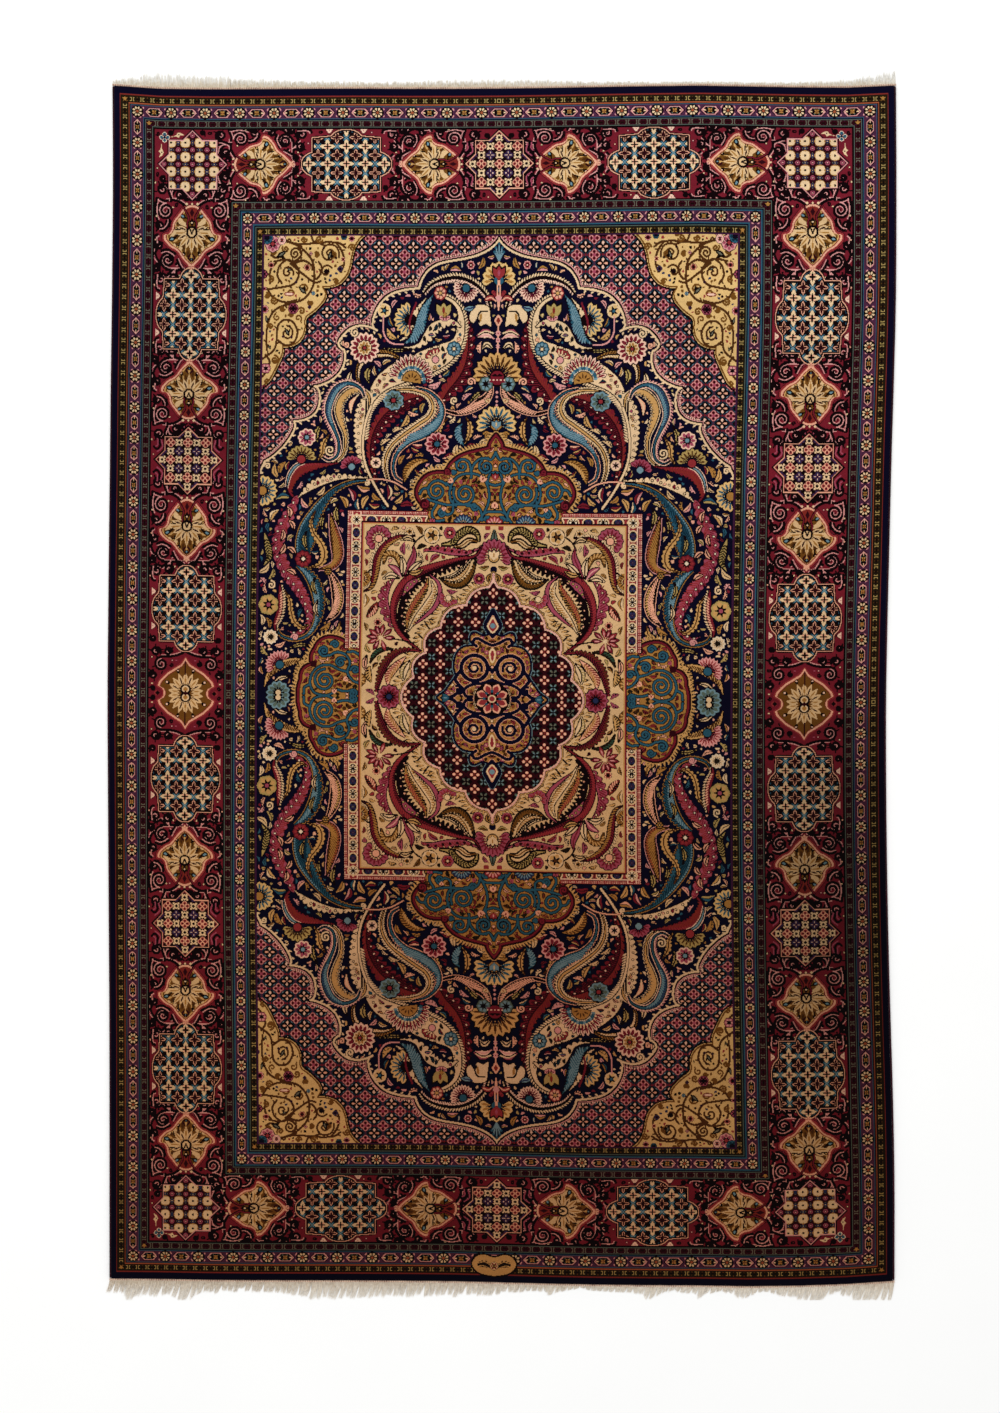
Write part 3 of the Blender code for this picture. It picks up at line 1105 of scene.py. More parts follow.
        pen.disc(0, -1, 12, Yarn.SAND)
        pen.line([(-5, 7), (0, -5), (5, 7)], 3.6, Yarn.INK)
        for k in range(5):
            pen.at(0, -98).petal(0, 12, 6, -90 + (k - 2) * 62, Yarn.SALMON, 0.6)

    def palmette_vines(self, pen: Pen) -> None:
        """Vines round one palmette.

        Args:
            pen: pen to draw with.
        """
        for mirror in (False, True):
            own = pen.flipped() if mirror else pen
            # from the crown out to the large scroll and to the one above it
            vine(own, [(10, 50), (16, 66), (28, 80), (50, 90), (78, 89)])
            scroll(own, 80, 60, 28, 90, -1.8)
            vine(own, [(64, 88), (62, 102), (52, 118), (36, 124)], -4.5)
            scroll(own, 37, 107, 15.5, 90, 1.5)
            vine(own, [(66, 100), (66, 116), (60, 128)], 4.5)
            vine(own, [(14, 106), (6, 116), (10, 128)], 4.5)
            scroll(own, 16, 96, 7, 0, 1.2)
            vine(own, [(64, 96), (70, 110), (74, 124)])
            scroll(own, 90, 121, 18, 170, -1.4)
            vine(own, [(84, 88), (96, 92), (108, 96)], -4.5)
            vine(own, [(108, 92), (112, 70), (111, 48), (106, 34)], -4.5)
            scroll(own, 97, 18, 13, 60, -1.4)
            scroll(own, 74, 22, 8, 90, 1.2)
            vine(own, [(68, 33), (70, 20), (82, 6), (96, 2)], 4.5)
            # below: from the tip
            vine(own, [(8, -112), (24, -104), (44, -104), (62, -104), (76, -103)], 4.5)
            scroll(own, 72, -77, 24, -90, 1.8)
            vine(own, [(50, -60), (62, -52), (78, -48), (92, -52)], -4.5)
            vine(own, [(26, -100), (30, -90), (40, -84), (47, -88)], -4.5)
            scroll(own, 20, -112, 9, 0, 1.3)
            vine(own, [(58, -104), (66, -112), (76, -120)], -4.5)
            scroll(own, 92, -130, 18, 140, -1.4)
            vine(own, [(44, -104), (46, -112), (42, -122)], 4.5)
            scroll(own, 54, -124, 14, 180, 1.3)
            vine(own, [(94, -84), (104, -76), (110, -62), (108, -50)], -4.5)
            scroll(own, 100, -38, 13, -60, 1.5)
            vine(own, [(110, -30), (112, -14), (104, -8)], 4.5)
            vine(own, [(30, -100), (38, -88), (44, -76)], 4.5)
            scroll(own, 106, -98, 11, 90, 1.4)
            vine(own, [(108, -118), (110, -140), (106, -156), (98, -160)], -4.5)
            vine(own, [(30, -128), (20, -136), (12, -132)], -4.5)
            for u, v, yarn in (
                (108, 44, Yarn.CREAM),
                (12, 100, Yarn.ROSE),
                (58, 70, Yarn.CREAM),
                (110, -22, Yarn.SALMON),
                (36, -118, Yarn.CREAM),
                (112, -70, Yarn.ROSE),
                (112, 140, Yarn.CREAM),
                (20, -132, Yarn.ROSE),
                (74, 0, Yarn.ROSE),
                (112, -146, Yarn.SALMON),
            ):
                bud(own, u, v, yarn, 3.4)

    def double_palmette(self, pen: Pen) -> None:
        """The palmette at the middle of a side, the same up and down.

        Args:
            pen: pen to draw with.
        """
        half = smooth([(0, 111), (14, 92), (36, 78), (60, 62), (82, 40), (90, 24)], 4)
        bite = arc((92, 0), 22, 105, 255)
        right = np.vstack([half, bite, (half * (1, -1))[::-1]])
        outline = np.vstack([right, (right * (-1, 1))[::-1]])
        pen.ring(outline, 8, Yarn.MADDER)
        pen.fill(outline, Yarn.SALMON)
        pen.fill(outline * 0.93, Yarn.BRICK)
        pen.fill(outline * 0.90, Yarn.WALNUT)
        for k in range(18):
            angle = 360 * (k + 0.5) / 18
            long = 54 + 12 * abs(math.sin(math.radians(angle)))
            pen.petal(18, long, 15, angle, Yarn.SAND, 0.55)
            pen.petal(20, long - 10, 4.6, angle, Yarn.MAROON if k % 2 else Yarn.OCHRE, 0.6)
        for side in (-1, 1):
            for end in (-1, 1):
                for u, v, size in ((58, 34, 9), (24, 70, 8)):
                    seed = pen.toward((side * u, end * v), (side * u, end * v))
                    seed.fill(oval((0, 0), size, size * 0.62, 16), Yarn.SOOT)
                    seed.disc(size * 0.25, 0, size * 0.36, Yarn.BLUSH)
            pen.disc(side * 92, 0, 9, Yarn.MADDER)
            pen.at(side * 90, 0, 45).fill(rectangle(-5, -5, 5, 5), Yarn.INK)
            pen.stroke([(0, side * 60), (0, side * 100)], 3, Yarn.MAROON)
        for end in (-1, 1):
            pen.disc(0, end * 12, 17, Yarn.INK)
        for end in (-1, 1):
            pen.discs(0, end * 13, (11, Yarn.CREAM), (7, Yarn.OCHRE))
            pen.disc(0, end * 108, 3.4, Yarn.SALMON)
        pen.at(0, 0, 45).fill(rectangle(-6, -6, 6, 6), Yarn.MAROON)

    def double_vines(self, pen: Pen) -> None:
        """Vines round the palmette at the middle of a side.

        Args:
            pen: pen to draw with.
        """
        for right in (False, True):
            for up in (False, True):
                own = pen.at(0, 0, 0 if right else 180, 1.0, right != up)
                scroll(own, 78, 92, 23, 90, -1.5)
                vine(own, [(8, 128), (30, 120), (54, 116), (78, 116)])
                scroll(own, 56, 132, 13, 180, -1.3)
                scroll(own, 96, 132, 16, 200, -1.3)
                scroll(own, 104, 58, 13, 90, -1.3)
                bud(own, 108, 30, Yarn.CREAM, 3.4)
                bud(own, 30, 104, Yarn.ROSE, 3.4)


# ---------------------------------------------------------------------------------------------
# Leaves and flowers of the field
# ---------------------------------------------------------------------------------------------


def bow(start: Sequence[float], end: Sequence[float], bulge: float, lean: float = 0.5) -> Points:
    """Curve between two points that bulges to its left.

    Args:
        start: first point.
        end: last point.
        bulge: how far it bulges, in mm; a negative number bulges to the right.
        lean: where it bulges most, as a share of the way.

    Returns:
        The curve's points.
    """
    a, b = np.asarray(start, float), np.asarray(end, float)
    way = b - a
    normal = np.array([-way[1], way[0]]) / max(np.linalg.norm(way), 1e-9)
    share = np.linspace(0, 1, 17)
    swell = np.sin(np.pi * share ** (math.log(0.5) / math.log(lean))) ** 0.8
    return a + share[:, None] * way + swell[:, None] * bulge * normal


def chain(start: Sequence[float], lobes: Sequence[tuple[float, float, float, float]]) -> Points:
    """Edge made of bows.

    Args:
        start: its first point.
        lobes: for each bow its end x, end y, bulge and lean.

    Returns:
        The edge's points.
    """
    points = [np.asarray([start], float)]
    here = tuple(start)
    for x, y, bulge, lean in lobes:
        points.append(bow(here, (x, y), bulge, lean)[1:])
        here = (x, y)
    return np.vstack(points)


def profile(widths: Sequence[float], share: np.ndarray) -> np.ndarray:
    """Widths given at even places, read smoothly at other places.

    Args:
        widths: the widths.
        share: places from 0 to 1.

    Returns:
        The widths there, never below 0.
    """
    places = np.linspace(0, 1, len(widths))
    curve = smooth(np.stack([places, np.asarray(widths, float)], 1), 8)
    return np.maximum(np.interp(share, curve[:, 0], curve[:, 1]), 0)


@dataclass(frozen=True)
class Leaf:
    """Long curved leaf.

    Attributes:
        body: yarn of its blade.
        edge: yarn of the fine line round it.
        vein: yarn along its middle.
        comb: yarn of the slanting strokes inside its left side.
        comb_right: yarn of the strokes inside its right side.
        teeth_left: yarn of the feathers outside its left edge.
        teeth_right: yarn of the feathers outside its right edge.
        dots: yarn of a row of dots.
        tooth: length of a feather, in mm.
        dot_side: side of the dots, from -1 at the right to 1 at the left.
        dot_pitch: from dot to dot, in mm.
        lobes: how deep the notches of its left and right edges are, in mm.
        lobe: from notch to notch, in mm.
    """

    body: Yarn
    edge: Yarn | None = None
    vein: Yarn | None = None
    comb: Yarn | None = None
    comb_right: Yarn | None = None
    teeth_left: Yarn | None = None
    teeth_right: Yarn | None = None
    dots: Yarn | None = None
    tooth: float = 13.0
    dot_side: float = 0.0
    dot_pitch: float = 18.0
    lobes: tuple[float, float] = (0.0, 0.0)
    lobe: float = 16.0

    def draw(
        self, pen: Pen, points: Sequence[Sequence[float]], left: Sequence[float], right: Sequence[float]
    ) -> None:
        """Draw the leaf.

        Args:
            pen: the pen.
            points: points along its spine, from its foot to its tip.
            left: widths on the left of the spine, at even places.
            right: widths on the right of the spine.
        """
        path, ahead = even_points(smooth(points, 10), 2.0)
        normal = np.stack([-ahead[:, 1], ahead[:, 0]], 1)
        share = np.linspace(0, 1, len(path))
        bite = 1 - np.abs(np.sin(np.pi * 2.0 * np.arange(len(path)) / self.lobe)) ** 0.8
        wides = [profile(side, share) for side in (left, right)]
        wides = [
            np.maximum(wide - np.minimum(deep, wide * 0.8) * bite, 0) for wide, deep in zip(wides, self.lobes)
        ]

        def outline(grow: float) -> Points:
            one = path + normal * (wides[0] + grow)[:, None]
            two = path - normal * (wides[1] + grow)[:, None]
            return np.vstack([one, two[::-1]])

        for yarn, wide, side in ((self.teeth_left, wides[0], 1), (self.teeth_right, wides[1], -1)):
            if yarn is None:
                continue
            base = path + normal * (side * (wide + 1))[:, None]
            for k in range(4, len(path) - 3, 4):
                size = self.tooth * (0.55 + 0.45 * math.sin(math.pi * share[k]))
                direction = ahead[k] * 0.75 + normal[k] * side
                own = pen.toward(base[k], direction)
                own.petal(-3, size + 1.5, 8.0, 0, Yarn.INK, 0.5)
                own.petal(-3, size, 5.2, 0, yarn, 0.5)
        if self.edge is not None:
            pen.fill(outline(5.4), self.edge)
        pen.fill(outline(3.2), Yarn.INK)
        pen.fill(outline(0), self.body)
        for yarn, wide, side in ((self.comb, wides[0], 1), (self.comb_right, wides[1], -1)):
            for k in range(3, len(path) - 3, 4):
                if yarn is not None and wide[k] > 4:
                    reach = (normal[k] * 0.9 * side + ahead[k] * 0.8) * wide[k]
                    pen.line([path[k], path[k] + reach], 2.2, yarn)
        if self.vein is not None:
            pen.line(path[:-4], 2.4, self.vein)
        if self.dots is not None:
            step = max(2, round(self.dot_pitch / 2))
            for k in range(step, len(path) - step // 2, step):
                width = wides[0][k] if self.dot_side > 0 else wides[1][k] if self.dot_side < 0 else 0
                centre = path[k] + normal[k] * width * self.dot_side
                pen.discs(
                    centre[0], centre[1], (4.6, Yarn.INK if self.dots is not Yarn.INK else self.body),
                    (2.6, self.dots),
                )


def crescent(length: float, width: float, bend: float) -> tuple[Points, Points]:
    """Outline and midline of a small bent leaf whose middle is at the origin.

    Args:
        length: its length.
        width: its greatest width.
        bend: how far its middle stands out.

    Returns:
        The outline, and the midline.
    """
    spine = smooth([(-length / 2, -bend / 2), (0, bend / 2), (length / 2, -bend / 2)], 4)
    swell = np.sin(np.pi * np.linspace(0, 1, len(spine)) ** 0.8) * width / 2
    offset = np.stack([np.zeros(len(spine)), swell], 1)
    return np.vstack([spine + offset, (spine - offset)[::-1]]), spine


def sow(
    chart: Chart, ground: Yarn, inside: np.ndarray, yarns: Sequence[Yarn], seed: int,
    sizes: Sequence[float] = (44, 36, 29, 23, 18, 13, 9), tries: int = 700, margin: float = 6.0,
    line: Yarn | None = None,
) -> None:  # fmt: skip
    """Fill bare ground with small leaves, buds and dots, the largest first.

    Args:
        chart: the chart.
        ground: yarn of the bare ground.
        inside: chart-sized array, true where they may go.
        yarns: yarns of the leaves, drawn at random.
        seed: seed of the random draws.
        sizes: their lengths, in mm.
        tries: places tried for each length.
        margin: bare ground left round each, in mm.
        line: yarn of a line round each.
    """
    random = np.random.default_rng(seed)
    for size in sizes:
        free = np.argwhere(inside & (chart.knots == int(ground)))
        for row, column in free[random.integers(0, len(free), tries)]:
            pen = Pen(
                chart, column * KNOT, row * KNOT, random.uniform(0, 360), 1.0, bool(random.random() < 0.5)
            )
            shape = random.random()
            slim = 0.36 if size > 16 else 0.62 if shape < 0.6 else 0.85
            outer, _ = crescent(size + margin, size * slim + margin, size * 0.16)
            if not chart.free(pen.place(outer), inside, ground):
                continue
            one, two = (yarns[k] for k in random.integers(0, len(yarns), 2))
            outline, spine = crescent(size, size * slim, size * 0.16)
            if line is not None:
                pen.fill(crescent(size + 4, size * slim + 4, size * 0.16)[0], line)
            pen.fill(outline, one)
            if size > 20:
                pen.fill(np.vstack([spine, outline[: len(spine)][::-1]]), two if shape < 0.4 else one)
                pen.line(spine[: -2 if shape < 0.7 else -5], 1.2, Yarn.INK)
                if shape > 0.55:
                    for k in (2, 4, 6):
                        pen.line([spine[k], outline[k] * 0.9], 1.2, Yarn.INK)
            elif size > 12 and shape > 0.5:
                pen.line(spine[2:-2], 1.2, two if two != one else Yarn.INK)


def feathers(
    pen: Pen, points: Sequence[Sequence[float]], yarn: Yarn, length: float, side: int = 1, pitch: float = 8.0,
    wide: float = 5.4
) -> None:
    """Draw feathers along one side of a curve, leaning the way it goes.

    Args:
        pen: pen to draw with.
        points: points of the curve.
        yarn: yarn of the feathers.
        length: their length.
        side: side of the curve, 1 for its left.
        pitch: distance between two.
        wide: width of each.
    """
    path, ahead = even_points(smooth(points, 8), pitch)
    for here, way in zip(path, ahead):
        normal = np.array([-way[1], way[0]]) * side
        direction = way * 0.7 + normal
        own = pen.toward(here, direction)
        own.petal(-2, length, wide, 0, yarn, 0.5)


def fan(pen: Pen, radius: float, half_angle: float, count: int, petal: Yarn, line: Yarn, heart: Yarn) -> None:
    """Draw a fan of petals that opens towards +y.

    Args:
        pen: pen to draw with.
        radius: its radius in mm.
        half_angle: half of the angle that it opens, in degrees.
        count: number of petals.
        petal: yarn of the petals.
        line: yarn of the line in each petal.
        heart: yarn of the heart.
    """
    for k in range(count):
        angle = 90 + half_angle * (2 * (k + 0.5) / count - 1)
        width = 2 * math.pi * radius * (2 * half_angle / 360) / count
        pen.petal(radius * 0.2, radius * 1.06, width * 1.3, angle, Yarn.INK, 0.72)
    for k in range(count):
        angle = 90 + half_angle * (2 * (k + 0.5) / count - 1)
        width = 2 * math.pi * radius * (2 * half_angle / 360) / count
        pen.petal(radius * 0.2, radius, width * 0.95, angle, petal, 0.74)
        pen.petal(radius * 0.3, radius * 0.9, max(width * 0.34, 3.0), angle, line, 0.6)
    pen.discs(0, 0, (radius * 0.34, Yarn.INK), (radius * 0.27, heart))


def flower(pen: Pen, radius: float, count: int, outer: Yarn, inner: Yarn, heart: Yarn) -> None:
    """Draw a round two-coloured flower with a dark outline.

    Args:
        pen: pen to draw with.
        radius: its radius in mm.
        count: number of petals.
        outer: yarn of the petals.
        inner: yarn of their middles.
        heart: yarn of the heart.
    """
    pen.disc(0, 0, radius * 0.9, Yarn.INK)
    for k in range(count):
        pen.petal(
            radius * 0.25, radius * 1.08, 2 * math.pi * radius / count * 1.15, 360 * k / count, Yarn.INK, 0.66
        )
    for k in range(count):
        pen.petal(radius * 0.25, radius, 2 * math.pi * radius / count * 0.88, 360 * k / count, outer, 0.66)
        pen.petal(
            radius * 0.3, radius * 0.86, 2 * math.pi * radius / count * 0.5, 360 * k / count, inner, 0.6
        )
    pen.discs(0, 0, (radius * 0.3, Yarn.INK), (radius * 0.22, heart))


def tulip(pen: Pen, size: float, petal: Yarn, tip: Yarn) -> None:
    """Draw a three-petalled bud that opens towards +y.

    Args:
        pen: pen to draw with.
        size: its height.
        petal: yarn of the petals.
        tip: yarn of the middle petal's tip.
    """
    for grow, yarn in ((1.22, Yarn.INK), (1.0, petal)):
        for angle in (58, 90, 122):
            pen.petal(-size * 0.2 * grow, size * grow, size * 0.52 * grow, angle, yarn, 0.55)
    pen.petal(size * 0.1, size * 0.72, size * 0.22, 90, tip, 0.55)


def curl(
    pen: Pen, x: float, y: float, radius: float, start: float, turns: float, yarn: Yarn, width: float = 4.0
) -> None:
    """Draw a plain scroll in one yarn."""
    pen.line(spiral((x, y), radius, radius * 0.16, start, turns), width, yarn)


# ---------------------------------------------------------------------------------------------
# Field
# ---------------------------------------------------------------------------------------------


@dataclass(frozen=True)
class FieldGround:
    """Rose net round the navy field, with a gold scrollwork corner.

    Attributes:
        half_width: half width of the field, in mm.
        half_length: half length of the field, in mm.
        pitch_x: distance between florets along a row.
        pitch_y: distance between rows of the same floret.
        first_row: distance of the first row from the field's end.
        rows: number of rows in the quarter.
    """

    half_width: float = 722.0
    half_length: float = 1384.0
    pitch_x: float = 52.6
    pitch_y: float = 46.0
    first_row: float = 31.0
    rows: int = 18

    def draw(self, chart: Chart) -> None:
        """Draw the net and the corner.

        Args:
            chart: the quarter's chart.
        """
        pen = Pen(chart)
        w, h = self.half_width, self.half_length
        field_square = rectangle(0, 0, w, h)
        with chart.only(pen.mask(field_square)):
            pen.fill(field_square, Yarn.INK)
            self.net(pen)
            self.corner(pen)

    def net(self, pen: Pen) -> None:
        """Small florets in diamonds, dark and rose in turn, with blue lines between.

        Args:
            pen: pen to draw with.
        """
        px, py = self.pitch_x, self.pitch_y
        rose_diamond = np.array([(px / 2, 0), (0, py / 2), (-px / 2, 0), (0, -py / 2)]) * 0.86
        for k in range(self.rows):
            for i in range(int(self.half_width / px) + 2):
                dark = pen.at(i * px, self.half_length - self.first_row - k * py)
                rose = dark.at(px / 2, py / 2)
                dark.disc(px / 2, 0, 5, Yarn.MAUVE)
                dark.disc(0, py / 2, 4, Yarn.CRIMSON)
                for side, end in QUARTERS:
                    dark.line(
                        [(side * px * 0.44, end * py * 0.06), (side * px * 0.06, end * py * 0.44)], 2.4,
                        Yarn.PETROL,
                    )
                    dark.line(
                        [(side * px * 0.28, end * py * 0.22), (side * px * 0.22, end * py * 0.28)], 1.6,
                        Yarn.SKY,
                    )
                rose.fill(rose_diamond, Yarn.CRIMSON)
                for turn in (0, 90, 180, 270):
                    dark.petal(3, 15, 8, turn, Yarn.BLUSH if turn % 180 else Yarn.SALMON, 0.62)
                    rose.petal(0, 10, 5, 45 + turn, Yarn.ROSE, 0.6)
                for yarn, size in ((Yarn.PINK, 7.4), (Yarn.CRIMSON, 5.2), (Yarn.INK, 2.6)):
                    for place in circle((0, 0), 9, 4):
                        rose.disc(*place, size, yarn)
                rose.disc(0, 0, 4.8, Yarn.ROSE)

    def corner(self, pen: Pen) -> None:
        """Gold corner with thick brown scrolls, blossoms and dark-edged leaflets.

        Args:
            pen: pen to draw with.
        """
        w, h = self.half_width, self.half_length
        lobes = (
            [
                (405, h + 4), (424, 1374), (440, 1350), (448, 1325), (453, 1298), (463, 1272), (484, 1250),
                (512, 1240), (537, 1238),
            ],
            [(537, 1238), (528, 1222), (532, 1203), (548, 1184), (568, 1167), (585, 1155), (591, 1141)],
            [(591, 1141), (590, 1120), (596, 1098), (610, 1080), (632, 1069), (657, 1066)],
            [(657, 1066), (658, 1046), (668, 1022), (684, 990), (700, 964), (730, 940)],
        )
        edge = np.vstack([smooth(lobe, 6) for lobe in lobes])
        shape = np.vstack([edge, [(w + 4, h + 4)]])
        pen.ring(shape, 8, Yarn.INK)
        pen.fill(shape, Yarn.IVORY)
        with pen.chart.only(pen.mask(shape)):
            pen.line(edge + (3, 3), 3, Yarn.WALNUT)
            stems = (
                [
                    (w + 4, 1030), (688, 1058), (679, 1092), (676, 1130), (657, 1147), (632, 1142),
                    (616, 1114), (624, 1084), (650, 1072), (674, 1086),
                ],
                [
                    (709, 1058), (711, 1110), (702, 1153), (680, 1180), (639, 1194), (598, 1207), (572, 1239),
                    (566, 1275), (575, 1316), (611, 1352), (657, 1369), (690, 1370),
                ],
                [(711, 1236), (693, 1212), (657, 1198), (620, 1204)],
                [
                    (711, 1234), (666, 1240), (630, 1249), (614, 1276), (625, 1303), (650, 1317), (674, 1300),
                    (680, 1272), (666, 1250),
                ],
                [(702, 1250), (703, 1286), (684, 1310)],
                [(640, 1306), (598, 1274), (566, 1254), (546, 1257)],
                [(634, 1306), (598, 1314), (572, 1297), (566, 1274)],
                [(690, 1312), (657, 1318), (638, 1312), (618, 1318), (606, 1334), (616, 1350)],
                [(560, 1262), (548, 1276), (544, 1296), (553, 1310)],
                [(676, 1378), (634, 1364), (598, 1360), (560, 1364), (534, 1356)],
                [(578, 1386), (566, 1364), (534, 1366), (494, 1364), (470, 1350)],
                [(700, 1330), (684, 1322), (668, 1330)],
                [(w, 980), (706, 1000), (700, 1026), (712, 1044)],
                [(500, 1364), (482, 1340), (474, 1310), (484, 1282)],
            )
            curls = (
                (648, 1108, 22, 90, 1.4), (650, 1281, 20, 200, -1.3), (627, 1334, 18, 180, -1.6),
                (521, 1334, 32, 200, -1.7), (530, 1284, 20, 150, -1.1), (553, 1375, 11, 200, 1.3),
                (597, 1236, 14, 30, 1.2), (690, 1204, 12, 200, 1.3), (700, 1262, 10, 90, 1.2),
                (700, 1302, 10, 90, -1.2), (588, 1294, 10, 0, 1.4), (640, 1222, 12, 180, -1.2),
                (684, 1030, 13, 90, 1.6), (700, 1128, 10, 0, 1.3), (604, 1172, 12, 30, 1.2),
                (600, 1374, 10, 180, 1.3), (508, 1328, 12, 30, 1.2), (540, 1384, 9, 0, 1.2),
                (576, 1196, 9, 30, -1.3), (664, 1180, 9, 200, 1.3), (560, 1330, 9, 60, 1.3),
                (712, 1216, 9, 90, 1.3), (694, 1340, 9, 200, 1.2), (500, 1256, 9, 30, 1.3),
                (450, 1350, 12, 0, 1.4), (706, 968, 10, 200, 1.3), (636, 1160, 8, 0, 1.3),
                (656, 1348, 11, 30, -1.3),
            )  # fmt: skip
            for points in stems:
                path, ahead = even_points(smooth(points), 2.0)
                pen.line(path, 4.6, Yarn.UMBER)
                for k in range(12, len(path) - 4, 22):
                    side = 1 if (k // 22) % 2 else -1
                    across = np.array((-ahead[k, 1], ahead[k, 0])) * side
                    pen.line([path[k], path[k] + across * 8 + ahead[k] * 6], 3, Yarn.UMBER)
            for x, y, radius, start, turns in curls:
                curl(pen, x, y, radius, start, turns, Yarn.WALNUT if radius < 15 else Yarn.UMBER, 4)
            for x, y, turn, size in (
                (668, 1333, 150, 1.2), (603, 1232, 40, 1.1), (648, 1112, 60, 0.9), (519, 1330, 110, 1.0),
                (712, 1150, 80, 0.8), (702, 1068, 60, 0.6), (526, 1286, 30, 0.6), (643, 1290, 200, 0.6),
            ):
                leaf = pen.at(x, y, turn, size)
                leaf.petal(-16, 16, 12, 0, Yarn.SOOT, 0.45)
                leaf.petal(-8, 8, 4.4, 0, Yarn.GREY, 0.4)
                leaf.at(-4, 5, 50).petal(-4, 12, 7, 0, Yarn.SOOT, 0.4)
            for x, y, size, outer, inner in (
                (630, 1180, 16, Yarn.ROSE, Yarn.MAROON), (718, 1178, 12, Yarn.PINK, Yarn.MADDER),
                (722, 1277, 12, Yarn.MAROON, Yarn.ROSE), (700, 1302, 9, Yarn.SALMON, Yarn.MADDER),
                (569, 1223, 6, Yarn.DUSK, Yarn.SKY), (487, 1291, 8, Yarn.DUSK, Yarn.MAUVE),
                (478, 1318, 6, Yarn.SALMON, Yarn.BRICK), (476, 1381, 9, Yarn.TEAL, Yarn.NAVY),
                (530, 1284, 7, Yarn.MAROON, Yarn.INK), (711, 1005, 15, Yarn.ROSE, Yarn.PINK),
                (589, 1295, 9, Yarn.SALMON, Yarn.BRICK), (500, 1322, 4, Yarn.MAROON, Yarn.INK),
                (538, 1350, 4, Yarn.MAROON, Yarn.INK), (660, 1098, 4, Yarn.PLUM, Yarn.INK),
                (634, 1096, 4, Yarn.PLUM, Yarn.INK), (640, 1128, 4, Yarn.MAROON, Yarn.INK),
                (676, 1216, 4, Yarn.MAROON, Yarn.INK), (622, 1254, 4, Yarn.PLUM, Yarn.INK),
                (690, 1284, 4, Yarn.MAROON, Yarn.INK), (604, 1262, 4, Yarn.MAROON, Yarn.INK),
                (578, 1334, 5, Yarn.MADDER, Yarn.PINK), (720, 1236, 6, Yarn.PINK, Yarn.MADDER),
                (580, 1184, 5, Yarn.DUSK, Yarn.MAUVE), (660, 1384, 5, Yarn.MADDER, Yarn.PINK),
                (452, 1376, 9, Yarn.PINK, Yarn.CRIMSON), (716, 950, 7, Yarn.PINK, Yarn.CRIMSON),
                (724, 1108, 6, Yarn.DUSK, Yarn.MAUVE),
            ):  # fmt: skip
                flower(pen.at(x, y), size, 6, outer, inner, Yarn.INK)
            pen.fill(oval((643, 1221), 17, 6, 16), Yarn.BRICK)
            pen.fill(oval((643, 1221), 13, 3, 16), Yarn.BLUSH)
            flower(pen.at(696, 1362), 24, 8, Yarn.PINK, Yarn.ROSE, Yarn.MADDER)
            flower(pen.at(668, 1372), 13, 6, Yarn.BLUSH, Yarn.PINK, Yarn.MADDER)
            flower(pen.at(714, 1379), 18, 6, Yarn.TEAL, Yarn.PETROL, Yarn.NAVY)
        shape_inside = pen.mask(shape)
        strew_scrolls(
            pen.chart, shape_inside, seed=37, ground=Yarn.IVORY, line=Yarn.WALNUT, shade=Yarn.IVORY,
            thick=3.2, winding=1.05, sizes=(17, 14.5, 12.5, 11),
        )  # fmt: skip
        leaflets = (Yarn.WALNUT, Yarn.MADDER, Yarn.DUSK, Yarn.SOOT, Yarn.WALNUT)
        sow(pen.chart, Yarn.IVORY, shape_inside, leaflets, seed=38, sizes=(11, 8), tries=260, margin=7)


CREAM_LEAF = Leaf(Yarn.CREAM, lobes=(0, 9), dots=Yarn.CREAM, dot_side=-0.35, dot_pitch=22)
CREAM_PLAIN = Leaf(Yarn.CREAM, vein=Yarn.INK)
STRAW_LEAF = Leaf(Yarn.STRAW, vein=Yarn.INK, lobes=(3, 3), lobe=10)
GOLD_LEAF = Leaf(Yarn.GOLD, lobes=(6, 6), lobe=13, vein=Yarn.UMBER)
GOLD_BAND = Leaf(Yarn.GOLD, edge=Yarn.CREAM, lobes=(0, 7), lobe=12)
CRIMSON_LEAF = Leaf(
    Yarn.CRIMSON, vein=Yarn.MAROON, comb=Yarn.MAROON, lobes=(16, 16), lobe=24, dots=Yarn.BLUSH, dot_side=0.5,
    dot_pitch=26, comb_right=Yarn.BRICK,
)
ROSE_LEAF = Leaf(
    Yarn.ROSE, lobes=(12, 12), lobe=26, dots=Yarn.WHITE, dot_side=0.45, dot_pitch=24, comb_right=Yarn.MADDER,
    comb=Yarn.CRIMSON,
)
BLUE_PLUME = Leaf(Yarn.TEAL, lobes=(0, 7), lobe=10, comb_right=Yarn.SKY, comb=Yarn.SKY)
TEAL_SICKLE = Leaf(Yarn.TEAL, edge=Yarn.OCHRE, lobes=(0, 7), lobe=12, comb_right=Yarn.PETROL, comb=Yarn.SKY)
FROND = Leaf(Yarn.INK, teeth_left=Yarn.CREAM, teeth_right=Yarn.BLUSH, tooth=15)
COMBED = Leaf(Yarn.INK, edge=Yarn.SALMON, comb=Yarn.SALMON, comb_right=Yarn.GOLD)
BROWN_COMBED = Leaf(Yarn.UMBER, edge=Yarn.PINK, comb=Yarn.OCHRE, comb_right=Yarn.RUST)

